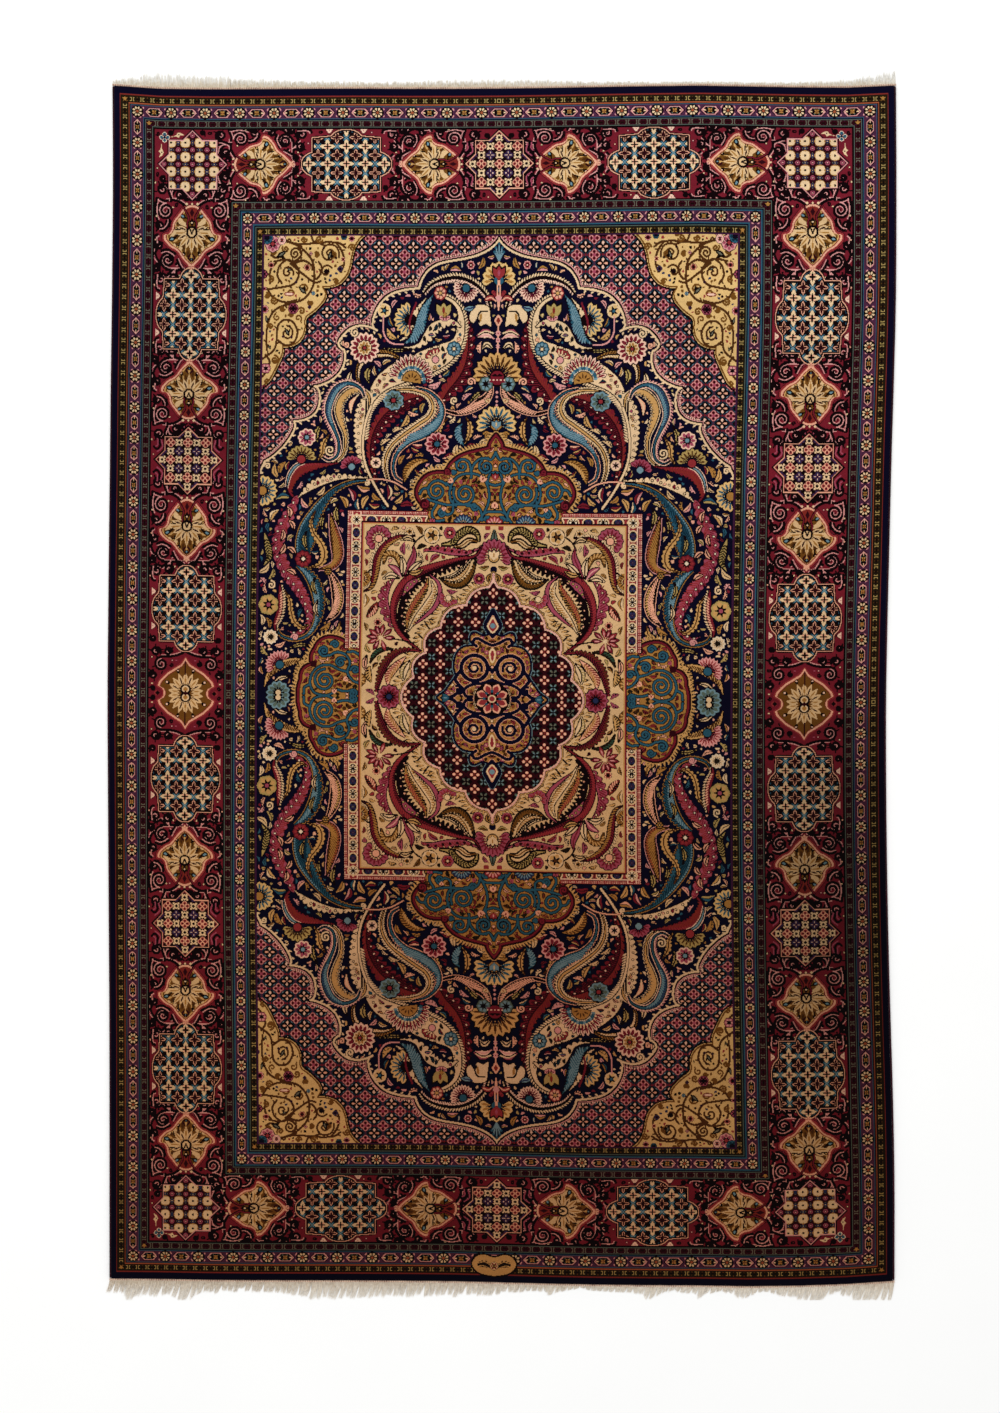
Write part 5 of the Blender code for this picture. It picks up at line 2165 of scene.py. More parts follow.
@dataclass(frozen=True)
class Cartouches:
    """Lobed gold panels with teal arabesque, above and beside the ivory panel."""

    def draw(self, chart: Chart) -> None:
        """Draw the quarter's share of the end and of the side panel.

        Args:
            chart: the quarter's chart.
        """
        pen = Pen(chart)
        self.end_panel(pen)
        self.side_panel(pen)

    def dress_edge(self, pen: Pen, edge: Points, shape: Points, outward: int) -> None:
        """Feathered teeth and a dark crimson line round a panel, and its ground.

        Args:
            pen: pen to draw with.
            edge: points of the edge.
            shape: outline of the panel.
            outward: side of the edge that the teeth point to, 1 for its left.
        """
        path, ahead = even_points(edge, 9.0)
        for grow, yarn in ((1.35, Yarn.INK), (1.0, Yarn.GOLD)):
            for here, way in zip(path, ahead):
                direction = way * 0.35 + np.array([-way[1], way[0]]) * outward
                own = pen.toward(here, direction)
                own.petal(0, 23 + 3 * grow, 6.4 * grow, 0, yarn, 0.5)
        for width, yarn in ((22, Yarn.GOLD), (17, Yarn.INK), (12, Yarn.MAROON), (5, Yarn.CRIMSON)):
            pen.line(edge, width, yarn)
        pen.fill(shape, Yarn.OCHRE)
        pen.lines(edge, (8, Yarn.MAROON), (4, Yarn.CRIMSON))

    def arabesque(
        self, pen: Pen, stems: Sequence[Sequence[Sequence[float]]], curls: Sequence[tuple[float, ...]]
    ) -> None:
        """Teal scrolls outlined in dark.

        Args:
            pen: pen to draw with.
            stems: points of each stem.
            curls: place, radius, start and turns of each curl.
        """
        for width, yarn in ((9.6, Yarn.INK), (4.0, Yarn.TEAL)):
            for points in stems:
                pen.stroke(points, width, yarn)
            for x, y, radius, start, turns in curls:
                curl(pen, x, y, radius, start, turns, yarn, width)

    def specks(self, pen: Pen, shape: Points, seed: int) -> None:
        """Small leaves between the scrolls.

        Args:
            pen: pen to draw with.
            shape: outline of the panel.
            seed: seed of the random draws.
        """
        yarns = (Yarn.RUST, Yarn.BRICK, Yarn.UMBER, Yarn.MADDER, Yarn.SALMON, Yarn.OLIVE, Yarn.CRIMSON)
        sow(
            pen.chart, Yarn.OCHRE, pen.mask(shape), yarns, seed, sizes=(24, 18, 14, 11, 8), tries=500,
            margin=4, line=Yarn.OLIVE,
        )  # fmt: skip

    def end_panel(self, pen: Pen) -> None:
        """The panel on the rug's axis.

        Args:
            pen: pen to draw with.
        """
        edge = chain(
            (0, 806),
            (
                (20, 766, 4, 0.6),
                (146, 698, 18, 0.62),
                (150, 684, 2, 0.5),
                (240, 630, 24, 0.5),
                (214, 588, 6, 0.5),
                (222, 562, -6, 0.5),
                (206, 524, 4, 0.5),
            ),
        )
        shape = np.vstack([edge, [(-6, 524), (-6, 800)]])
        self.dress_edge(pen, edge, shape, 1)
        with pen.chart.only(pen.mask(shape)):
            self.arabesque(
                pen,
                (
                    [(22, 734), (50, 730), (70, 706), (74, 672)],
                    [
                        (56, 534), (34, 566), (19, 602), (20, 642), (36, 670), (62, 684), (102, 682),
                        (126, 664), (138, 634), (134, 604), (118, 588),
                    ],
                    [(72, 592), (110, 593), (150, 592), (204, 606)],
                    [(38, 546), (42, 574), (58, 590), (84, 588)],
                    [(126, 604), (128, 572), (146, 562), (158, 576)],
                    [(178, 592), (192, 566), (180, 544), (154, 546)],
                    [(74, 690), (80, 718), (100, 730), (120, 718)],
                    [(0, 752), (12, 730), (30, 734)],
                    [(148, 656), (132, 640)],
                    [(206, 640), (222, 636), (230, 622)],
                    [(0, 690), (16, 684), (22, 660), (0, 650)],
                    [(0, 574), (22, 572), (34, 566)],
                ),
                (
                    (28, 706, 24, 60, -1.8),
                    (102, 708, 20, 60, -1.3),
                    (92, 624, 37, 30, -2.1),
                    (178, 632, 34, 150, -1.9),
                    (62, 588, 13, 200, 1.3),
                    (160, 566, 13, 90, -1.4),
                    (128, 690, 8, 180, 1.2),
                    (20, 548, 12, 0, 1.4),
                ),
            )
            for x, y, turn, size in (
                (42, 662, 30, 20), (130, 660, -60, 16), (155, 574, 0, 13), (60, 562, 40, 12),
                (190, 536, 0, 15), (110, 660, 90, 12), (0, 600, 180, 20), (100, 566, 180, 14),
            ):
                tulip(pen.at(x, y, turn), size, Yarn.SALMON if size % 3 else Yarn.ROSE, Yarn.BRICK)
            tulip(pen.at(0, 668), 20, Yarn.MADDER, Yarn.PINK)
            fan(pen.at(95, 530), 34, 90, 9, Yarn.DUSK, Yarn.SKY, Yarn.MADDER)
            fan(pen.at(0, 530), 30, 90, 7, Yarn.MADDER, Yarn.PINK, Yarn.DUSK)
            self.specks(pen, shape, seed=21)
        for x, y, radius, start in ((146, 690, 13, 200), (214, 592, 16, 120)):
            pen.disc(x, y, radius, Yarn.MAROON)
            curl(pen, x, y, radius * 0.8, start, 1.3, Yarn.CRIMSON, 3)

    def side_panel(self, pen: Pen) -> None:
        """The panel on the rug's cross axis.

        Args:
            pen: pen to draw with.
        """
        edge = chain(
            (592, -6),
            (
                (584, 52, -4, 0.5),
                (548, 98, -14, 0.5),
                (542, 148, -8, 0.5),
                (484, 184, -14, 0.5),
                (440, 162, -4, 0.5),
                (400, 150, 3, 0.5),
            ),
        )
        shape = np.vstack([edge, [(400, -8), (592, -8)]])
        self.dress_edge(pen, edge, shape, -1)
        with pen.chart.only(pen.mask(shape)):
            self.arabesque(
                pen,
                (
                    [(402, 40), (424, 50), (440, 76), (432, 104), (446, 130), (474, 138), (498, 126)],
                    [
                        (440, 76), (468, 84), (492, 96), (524, 94), (550, 70), (556, 36), (540, 8), (500, 2),
                        (470, 20),
                    ],
                    [(556, 36), (574, 24), (576, 4)],
                    [(402, 128), (420, 140), (440, 138)],
                    [(470, 20), (446, 14), (420, 20)],
                ),
                (
                    (510, 48, 36, 90, -2.1),
                    (462, 106, 17, 150, -1.6),
                    (514, 142, 19, 220, 1.7),
                    (480, 162, 13, 0, 1.4),
                    (416, 82, 14, 0, 1.4),
                    (424, 160, 9, 0, 1.2),
                    (422, 8, 13, 120, 1.4),
                ),
            )
            for x, y, turn, size in (
                (480, 8, 0, 15), (450, 50, 60, 15), (540, 116, 40, 12), (420, 112, 90, 12), (566, 60, 0, 12)
            ):
                tulip(pen.at(x, y, turn), size, Yarn.SALMON if size % 2 else Yarn.ROSE, Yarn.BRICK)
            self.specks(pen, shape, seed=22)
        pen.disc(546, 100, 11, Yarn.MAROON)
        pen.disc(446, 160, 10, Yarn.MAROON)


# Style, spine, left widths and right widths of each long leaf on the ivory panel.
PANEL_LEAVES = (
    # round the large leaf's foot, then the large leaf with its dark comb
    (
        Leaf(
            Yarn.ROSE, lobes=(0, 11), lobe=21, comb_right=Yarn.CRIMSON, dots=Yarn.CREAM, dot_side=-0.4,
            dot_pitch=26,
        ),
        ((262, 198), (298, 228), (318, 268), (326, 306), (318, 342), (300, 372)), (0, 4, 5, 4, 0),
        (4, 16, 24, 22, 0),
    ),
    (
        Leaf(
            Yarn.ROSE, lobes=(0, 9), lobe=17, comb_right=Yarn.MADDER, dots=Yarn.MAROON, dot_side=-0.4,
            dot_pitch=22,
        ),
        ((216, 452), (180, 458), (130, 450), (84, 448), (40, 466)), (0, 6, 7, 4, 0), (4, 13, 15, 8, 0),
    ),
    (
        Leaf(Yarn.INK, lobes=(13, 0), lobe=15, dots=Yarn.SALMON, dot_side=0.5, dot_pitch=26),
        (
            (252, 186), (274, 214), (284, 252), (276, 302), (250, 350), (206, 384), (150, 404), (98, 420),
            (56, 440),
        ),
        (0, 14, 20, 22, 22, 20, 18, 12, 0), (0, 4, 4, 4, 4, 4, 4, 4, 0),
    ),
    (
        Leaf(Yarn.CRIMSON, comb=Yarn.MAROON, comb_right=Yarn.MADDER),
        (
            (208, 140), (250, 172), (284, 206), (302, 250), (298, 302), (272, 350), (224, 388), (164, 412),
            (104, 430), (56, 442), (34, 474),
        ),
        (0, 2, 4, 7, 10, 11, 9, 7, 5, 3, 0), (0, 4, 7, 8, 12, 14, 13, 9, 6, 3, 0),
    ),
    (
        Leaf(Yarn.ROSE, dots=Yarn.STRAW, dot_pitch=14), ((276, 316), (256, 348), (222, 372)), (0, 10, 0),
        (0, 9, 0),
    ),
    # leaves inside its bend
    (
        Leaf(Yarn.ROSE, comb=Yarn.CRIMSON),
        ((244, 226), (206, 254), (176, 284), (162, 322), (168, 358), (200, 386)), (0, 3, 4, 0), (0, 6, 6, 0),
    ),
    (
        Leaf(Yarn.CREAM, comb=Yarn.OCHRE, lobes=(5, 0), lobe=9),
        ((258, 206), (232, 252), (204, 290), (182, 330), (190, 364)), (0, 7, 11, 9, 0), (0, 4, 6, 5, 0),
    ),
    (
        Leaf(Yarn.OCHRE, comb=Yarn.INK, comb_right=Yarn.MADDER, lobes=(6, 4), lobe=11),
        ((262, 214), (256, 254), (232, 300), (206, 342), (200, 372)), (0, 8, 12, 9, 0), (0, 9, 12, 9, 0),
    ),
    (
        Leaf(Yarn.OLIVE, lobes=(0, 8), lobe=12, comb_right=Yarn.WALNUT),
        ((168, 374), (132, 350), (96, 350), (70, 376), (58, 412), (56, 440)), (0, 4, 5, 3, 0),
        (0, 12, 16, 8, 0),
    ),
    (
        Leaf(Yarn.CREAM, comb=Yarn.OCHRE, comb_right=Yarn.INK, vein=Yarn.INK),
        ((160, 372), (122, 374), (92, 396), (70, 430)), (0, 10, 8, 0), (0, 10, 9, 0),
    ),
    # at the top
    (
        Leaf(Yarn.STRAW, edge=Yarn.OLIVE, comb=Yarn.OLIVE, comb_right=Yarn.INK),
        ((162, 472), (128, 478), (108, 500), (80, 516), (54, 506), (46, 482)), (0, 5, 7, 5, 0),
        (0, 6, 10, 8, 0),
    ),
    (
        Leaf(Yarn.SAND, edge=Yarn.INK, vein=Yarn.WALNUT), ((52, 484), (76, 486), (100, 470), (124, 468)),
        (0, 6, 0), (0, 6, 0),
    ),
    (
        Leaf(Yarn.MAROON, comb=Yarn.OCHRE, comb_right=Yarn.CRIMSON, teeth_right=Yarn.CREAM, tooth=15),
        ((398, 326), (372, 344), (362, 386), (354, 432), (328, 472), (288, 494), (240, 498)),
        (0, 8, 11, 10, 9, 4, 0), (0, 4, 8, 9, 7, 4, 0),
    ),
    (Leaf(Yarn.SAND, vein=Yarn.INK), ((240, 480), (262, 492), (286, 484)), (0, 6, 0), (0, 6, 0)),
    # lily of loose petals
    (
        Leaf(Yarn.ROSE, vein=Yarn.CRIMSON), ((272, 368), (258, 406), (244, 440), (246, 468)), (0, 7, 8, 0),
        (0, 7, 8, 0),
    ),
    (CREAM_PLAIN, ((268, 376), (240, 406), (214, 426)), (0, 8, 0), (0, 8, 0)),
    (CREAM_PLAIN, ((278, 374), (276, 410), (284, 440)), (0, 9, 0), (0, 9, 0)),
    (Leaf(Yarn.ROSE, vein=Yarn.PINK), ((282, 374), (298, 396), (322, 410)), (0, 8, 0), (0, 8, 0)),
    (CREAM_PLAIN, ((286, 368), (312, 378), (338, 366)), (0, 8, 0), (0, 8, 0)),
    (
        Leaf(Yarn.WALNUT, comb=Yarn.GOLD), ((286, 404), (300, 436), (326, 440), (336, 410)), (0, 9, 8, 0),
        (0, 5, 5, 0),
    ),
    (Leaf(Yarn.GOLD, vein=Yarn.INK), ((264, 390), (240, 386), (214, 398)), (0, 7, 0), (0, 7, 0)),
    # right side
    (
        Leaf(Yarn.BRICK, comb=Yarn.INK, comb_right=Yarn.SALMON), ((352, 296), (364, 272), (384, 248)),
        (0, 9, 9, 0), (0, 9, 8, 0),
    ),
    (
        Leaf(Yarn.OLIVE, comb=Yarn.MOSS), ((300, 150), (330, 150), (356, 134), (372, 104)), (0, 6, 6, 0),
        (0, 5, 5, 0),
    ),
    (Leaf(Yarn.GOLD, comb=Yarn.OLIVE), ((372, 96), (376, 70), (366, 44)), (0, 7, 8, 0), (0, 7, 7, 0)),
    (Leaf(Yarn.SALMON, vein=Yarn.INK), ((382, 130), (388, 104), (382, 80)), (0, 7, 0), (0, 6, 0)),
    # below, towards the cross axis
    (
        Leaf(Yarn.CRIMSON, comb=Yarn.UMBER, comb_right=Yarn.MAROON, lobes=(6, 0), lobe=12),
        ((212, 144), (262, 150), (302, 132), (330, 96), (344, 52), (352, 14)), (0, 6, 12, 13, 9, 3),
        (0, 5, 9, 10, 8, 3),
    ),
    (
        Leaf(Yarn.SALMON, comb=Yarn.BRICK, comb_right=Yarn.OCHRE),
        ((262, 128), (288, 102), (312, 68), (316, 34)), (0, 9, 12, 0), (0, 9, 10, 0),
    ),
    (
        Leaf(Yarn.CREAM, comb=Yarn.STRAW, vein=Yarn.INK), ((250, 116), (268, 86), (270, 50)), (0, 9, 8, 0),
        (0, 11, 9, 0),
    ),
)  # fmt: skip


@dataclass(frozen=True)
class IvoryPanel:
    """Ivory panel with a narrow flowered border, round the medallion.

    Attributes:
        half_width: half width over its border, in mm.
        half_length: half length over its border, in mm.
        band: width of the border.
    """

    half_width: float = 451.0
    half_length: float = 572.0
    band: float = 54.0

    def draw(self, chart: Chart) -> None:
        """Draw the border, the ground and what grows on it.

        Args:
            chart: the quarter's chart.
        """
        pen = Pen(chart)
        w, h = self.half_width, self.half_length
        iw, ih = w - self.band, h - self.band + 12
        x, y = chart.squares()
        band = ((x < w) & (x > iw - 2) & (y > 152) & (y < h)) | ((y < h) & (y > ih - 2) & (x > 204) & (x < w))
        with chart.only(band):
            self.border(pen, w, h)
        ground = rectangle(0, 0, iw, ih)
        for grow, yarn in ((10, Yarn.INK), (7, Yarn.MADDER), (4, Yarn.GOLD)):
            pen.fill(rectangle(-1, -1, iw + grow, ih + grow), yarn)
        pen.fill(ground, Yarn.SAND)
        with chart.only(pen.mask(ground)):
            self.growth(pen)
            yarns = (
                Yarn.STRAW, Yarn.GOLD, Yarn.SALMON, Yarn.ROSE, Yarn.OLIVE, Yarn.WALNUT, Yarn.CREAM,
                Yarn.MADDER, Yarn.OCHRE, Yarn.MAROON,
            )
            sow(
                chart, Yarn.SAND, pen.mask(ground), yarns, seed=9, sizes=(38, 31, 25, 20, 15, 11), tries=600,
                margin=8, line=Yarn.INK,
            )  # fmt: skip

    def border(self, pen: Pen, w: float, h: float) -> None:
        """The flowered band of the panel.

        Args:
            pen: pen to draw with.
            w: half width of the panel.
            h: half length of the panel.
        """
        for inset, yarn in (
            (0, Yarn.INK), (2, Yarn.MADDER), (12, Yarn.MAROON), (14, Yarn.BLUSH), (16, Yarn.INK)
        ):
            pen.fill(rectangle(0, 0, w - inset, h - inset), yarn)
        for k in range(int(h / 5.5)):
            for across in (5, 9.5):
                pen.disc(w - across, k * 5.5, 1.5, Yarn.BLUSH)
                pen.disc(k * 5.5, h - across, 1.5, Yarn.BLUSH)
        x, y = w - 30.0, h - 29.0
        for k in range(11):
            for place, odd in ((pen.at(x, y - k * 39.4, 90), k % 2), (pen.at(x - k * 45.5, y), k % 2)):
                for side in (-1, 1):
                    place.fill([(side * 22, -13), (side * 14, 0), (side * 22, 13)], Yarn.MADDER)
                    for end in (-1, 1):
                        place.line([(side * 23, end * 12), (side * 12, end * 13)], 2.2, Yarn.BLUSH)
                        place.line([(0, end * 13), (side * 7, end * 15)], 2.2, Yarn.MADDER)
                place.ring(oval((0, 0), 17, 13.5, 12), 2.4, Yarn.CREAM)
                if odd:
                    floret(place, 12, Yarn.DUSK, Yarn.SAGE)
                    floret(place, 7, Yarn.PLUM, Yarn.GREY, turn=0)
                else:
                    for a in range(8):
                        place.petal(
                            3, 12, 3.4 if a % 2 else 5, 45 * a, Yarn.CREAM if a % 2 else Yarn.WHITE, 0.7
                        )
                    place.disc(0, 0, 4.4, Yarn.INK)

    def growth(self, pen: Pen) -> None:
        """Leaves and flowers on the ivory ground.

        Args:
            pen: pen to draw with.
        """
        for side in (-1, 1):
            pen.disc(side * 20, 526, 9, Yarn.MADDER)
            Leaf(Yarn.OCHRE, vein=Yarn.INK).draw(
                pen, [(side * 2, 386), (side * 14, 376), (side * 10, 358)], (0, 6, 0), (0, 6, 0)
            )
        Leaf(Yarn.SAGE, vein=Yarn.OLIVE).draw(pen, [(0, 470), (0, 496), (0, 520)], (3, 8, 0), (3, 8, 0))
        fan(pen.at(0, 438), 54, 118, 13, Yarn.ROSE, Yarn.CRIMSON, Yarn.GOLD)
        tulip(pen.at(0, 432), 28, Yarn.CREAM, Yarn.OCHRE)
        pen.disc(0, 400, 11, Yarn.NAVY)
        # leafy teeth round the medallion
        for start, end, bulge in (
            ((22, 352), (84, 312), 12),
            ((98, 300), (172, 240), 20),
            ((176, 234), (222, 156), 18),
            ((224, 150), (258, 78), 14),
            ((258, 68), (288, 0), 12),
        ):
            path = bow(start, end, bulge)[::2]
            feathers(pen, path, Yarn.INK, 26, 1, 12, 9.0)
            feathers(pen, path + (0.6, 0.4), Yarn.GOLD, 18, 1, 12)
        for style, spine, left, right in PANEL_LEAVES:
            style.draw(pen, spine, left, right)
        # red lily at the side
        for k, angle in enumerate((140, 100, 68, 36, 6, -24, -60, -110, 180)):
            own = pen.at(340, 186)
            own.petal(4, 46, 17, angle, Yarn.INK, 0.6)
            own.petal(5, 43, 12, angle, Yarn.MADDER if k % 2 else Yarn.CRIMSON, 0.6)
            own.petal(12, 34, 4, angle, Yarn.PINK, 0.6)
        pen.disc(340, 186, 7, Yarn.CREAM)
        for x, y, turn, *values in (
            (352, 488, -36, 40, 116, 9, Yarn.ROSE, Yarn.CRIMSON, Yarn.SALMON),
            (136, 312, 205, 30, 100, 7, Yarn.ROSE, Yarn.MADDER, Yarn.CREAM),
            (400, 368, 80, 26, 96, 7, Yarn.OCHRE, Yarn.UMBER, Yarn.MADDER),
            (404, 52, 80, 22, 96, 5, Yarn.WALNUT, Yarn.GOLD, Yarn.BRICK),
        ):
            fan(pen.at(x, y, turn), *values)
        for x, y, *values in (
            (190, 500, 24, 5, Yarn.CREAM, Yarn.GOLD, Yarn.UMBER),
            (136, 508, 18, 6, Yarn.ROSE, Yarn.MADDER, Yarn.CREAM),
            (44, 372, 17, 6, Yarn.ROSE, Yarn.CRIMSON, Yarn.GOLD),
            (312, 0, 38, 12, Yarn.ROSE, Yarn.CRIMSON, Yarn.DUSK),
            (350, 234, 12, 6, Yarn.SALMON, Yarn.BRICK, Yarn.INK),
            (258, 510, 11, 5, Yarn.CREAM, Yarn.OCHRE, Yarn.INK),
        ):
            flower(pen.at(x, y), *values)
        for points in (
            [(214, 500), (234, 486), (250, 462)], [(160, 500), (168, 500)], [(370, 396), (388, 384)],
            [(240, 170), (270, 178), (304, 184)], [(206, 236), (188, 214), (170, 224)],
            [(226, 200), (212, 186), (200, 194)],
        ):
            pen.stroke(points, 3, Yarn.INK)


@dataclass(frozen=True)
class Medallion:
    """Lobed medallion with a net of florets and navy strapwork at its heart.

    Attributes:
        pitch_x: distance between florets along a row.
        pitch_y: distance between rows.
        first_row: distance of the first row from the cross axis.
    """

    pitch_x: float = 52.6
    pitch_y: float = 44.6
    first_row: float = 17.0

    def edge(self) -> Points:
        """Its outline from the axis to the cross axis and a little beyond.

        Returns:
            Its points.
        """
        return chain(
            (0, 386),
            (
                (14, 346, -4, 0.5),
                (81, 290, 17, 0.5),
                (158, 221, 24, 0.5),
                (202, 141, 24, 0.5),
                (237, 64, 20, 0.5),
                (237, -64, 38, 0.5),
            ),
        )

    def draw(self, chart: Chart) -> None:
        """Draw the medallion.

        Args:
            chart: the quarter's chart.
        """
        pen = Pen(chart)
        edge = self.edge()
        shape = np.vstack([edge, [(-8, -64), (-8, 380)]])
        for width, yarn in ((17, Yarn.INK), (14, Yarn.GOLD), (9, Yarn.MAROON), (5, Yarn.BLUSH)):
            pen.line(edge, width, yarn)
        pen.fill(shape, Yarn.INK)
        pen.line(edge, 2.4, Yarn.PINK)
        with chart.only(pen.mask(shape)):
            self.net(pen)
            pen.line(edge, 3, Yarn.BLUSH)
            self.strapwork(pen)

    def net(self, pen: Pen) -> None:
        """White florets and grey crosses between maroon lines.

        Args:
            pen: pen to draw with.
        """
        px, py, low = self.pitch_x, self.pitch_y, self.first_row
        for i in range(-1, 7):
            for j in range(-1, 10):
                x, y = i * px, low + j * py
                for side in (-1, 1):
                    pen.line([(x, y + py / 2), (x + side * px / 2, y)], 5, Yarn.MAROON)
                    pen.line([(x + side * px / 2, y + py), (x, y + py / 2)], 5, Yarn.MAROON)
        for i in range(-1, 7):
            for j in range(-1, 10):
                white, grey = pen.at(i * px, low + j * py), pen.at((i + 0.5) * px, low + (j + 0.5) * py)
                for k in range(4):
                    white.disc(*circle((0, 0), 9.4, 8)[2 * k], 5.4, Yarn.MADDER)
                    white.disc(*circle((0, 0), 9.8, 8)[2 * k], 4.6, Yarn.SALMON)
                    white.disc(*circle((0, 0), 10.4, 8)[2 * k], 3.0, Yarn.BLUSH)
                    grey.petal(2, 15, 6.4, 45 + 90 * k, Yarn.SAGE, 0.6)
                    grey.petal(2, 11, 3.6, 45 + 90 * k, Yarn.SKY if (i + j) % 2 else Yarn.GREY, 0.6)
                white.disc(0, 0, 2.4, Yarn.BRICK)

    def strapwork(self, pen: Pen) -> None:
        """Navy straps that wind through each other on gold, round a rosette.

        Args:
            pen: pen to draw with.
        """
        right = np.array(
            [
                (0, 276), (16, 246), (22, 228), (10, 204), (30, 196), (58, 206), (66, 184), (52, 166),
                (86, 160), (108, 136), (114, 98), (108, 70), (124, 44), (142, 18), (164, 0), (142, -18),
            ],
            float,
        )
        outline = np.vstack([smooth(right, 5), [(-6, -18), (-6, 276)]])
        for width, yarn in ((15, Yarn.SKY), (12, Yarn.NAVY)):
            pen.ring(outline, width, yarn)
        pen.fill(outline, Yarn.OCHRE)
        with pen.chart.only(pen.mask(outline)):
            for x, y in ((30, 186), (14, 150), (96, 140), (100, 60), (60, 40), (130, 14), (30, 60), (86, 20)):
                tulip(pen.at(x, y, (x * 5 + y) % 360), 13, Yarn.ROSE if x % 4 else Yarn.MADDER, Yarn.CREAM)
            for width, yarn in ((14, Yarn.SALMON), (10.5, Yarn.NAVY)):
                pen.stroke([(0, 276), (18, 244), (22, 228), (0, 196)], width, yarn)
                pen.line(arc((54, 96), 40, -150, 210), width, yarn)
                pen.line(spiral((54, 96), 24, 5, 200, -1.4), width * 0.7, yarn)
                pen.stroke([(0, 168), (20, 176), (48, 190), (60, 176), (48, 164)], width * 0.8, yarn)
                pen.stroke([(14, 106), (0, 84), (-14, 72)], width * 0.8, yarn)
                pen.stroke([(94, 90), (112, 60), (96, 32), (118, 6), (150, 0)], width * 0.9, yarn)
                pen.stroke([(0, 60), (30, 48), (60, 44), (84, 28), (80, 8), (60, 4)], width * 0.8, yarn)
                curl(pen, 100, 24, 16, 60, 1.3, yarn, width * 0.7)
            pen.blob([(0, 258), (14, 236), (17, 226), (0, 206), (-17, 226), (-14, 236)], Yarn.CREAM)
            pen.blob([(0, 250), (10, 234), (12, 226), (0, 212), (-12, 226), (-10, 234)], Yarn.MADDER)
            pen.disc(0, 230, 8, Yarn.SKY)
            pen.blob([(0, 160), (10, 148), (8, 124), (0, 112), (-8, 124), (-10, 148)], Yarn.CREAM)
            pen.blob([(0, 152), (5, 144), (4, 128), (0, 120), (-4, 128), (-5, 144)], Yarn.MADDER)
            pen.disc(54, 96, 6, Yarn.CREAM)
            pen.discs(0, 100, (6, Yarn.INK), (3.4, Yarn.SALMON))
            yarns = (Yarn.SALMON, Yarn.RUST, Yarn.MADDER, Yarn.UMBER, Yarn.CREAM, Yarn.ROSE, Yarn.MAROON)
            sow(
                pen.chart, Yarn.OCHRE, pen.mask(outline), yarns, seed=23, sizes=(22, 17, 13, 9, 7),
                tries=500, margin=4, line=Yarn.INK,
            )  # fmt: skip
        pen.disc(0, 0, 54, Yarn.INK)
        for k in range(8):
            pen.petal(10, 50, 25, 22.5 + 45 * k, Yarn.SALMON, 0.66)
            pen.petal(12, 44, 18, 22.5 + 45 * k, Yarn.MADDER, 0.62)
        for k in range(8):
            pen.at(
                24 * math.cos(k * math.pi / 4), 24 * math.sin(k * math.pi / 4), 45 * k
            ).fill(rectangle(-4, -4, 4, 4), Yarn.TEAL)
        pen.discs(0, 0, (12, Yarn.CREAM), (8, Yarn.MADDER))
        tulip(pen.at(132, 0, -90), 22, Yarn.TEAL, Yarn.SKY)


def plain_label(knots: np.ndarray) -> None:
    """Draw the small gold oval at the middle of the lower end, with leaves only, on the whole chart.

    Args:
        knots: the whole chart, which it changes.
    """
    chart = Chart(2 * HALF_WIDTH, 2 * HALF_LENGTH)
    chart.knots = knots
    pen = Pen(chart, HALF_WIDTH - 8, 52)
    shape = smooth(
        [
            (-66, 6), (-52, 30), (-30, 36), (0, 28), (30, 36), (52, 30), (66, 6), (48, -20), (14, -30),
            (-14, -30), (-48, -20),
        ],
        6, True,
    )
    pen.ring(shape, 9, Yarn.SOOT)
    pen.fill(shape, Yarn.GOLD)
    for side in (-1, 1):
        Leaf(Yarn.OLIVE, Yarn.GOLD, teeth_left=Yarn.OLIVE, teeth_right=Yarn.OLIVE, tooth=9).draw(
            pen, [(side * 10, -4), (side * 28, 6), (side * 50, 4)], (0, 2, 0), (0, 2, 0)
        )
    flower(pen, 13, 6, Yarn.SAND, Yarn.BRICK, Yarn.OCHRE)


def draw_chart() -> np.ndarray:
    """Draw the whole rug's chart.

    Returns:
        Array of yarn numbers, with row 0 at the lower end and column 0 at the left.
    """
    chart = Chart()
    GuardStripes().draw(chart)
    MainBorder().draw(chart)
    FieldGround().draw(chart)
    NavyField().draw(chart)
    Cartouches().draw(chart)
    IvoryPanel().draw(chart)
    Medallion().draw(chart)
    knots = chart.whole()
    plain_label(knots)
    return knots


# ---------------------------------------------------------------------------------------------
# The rug's outline
# ---------------------------------------------------------------------------------------------


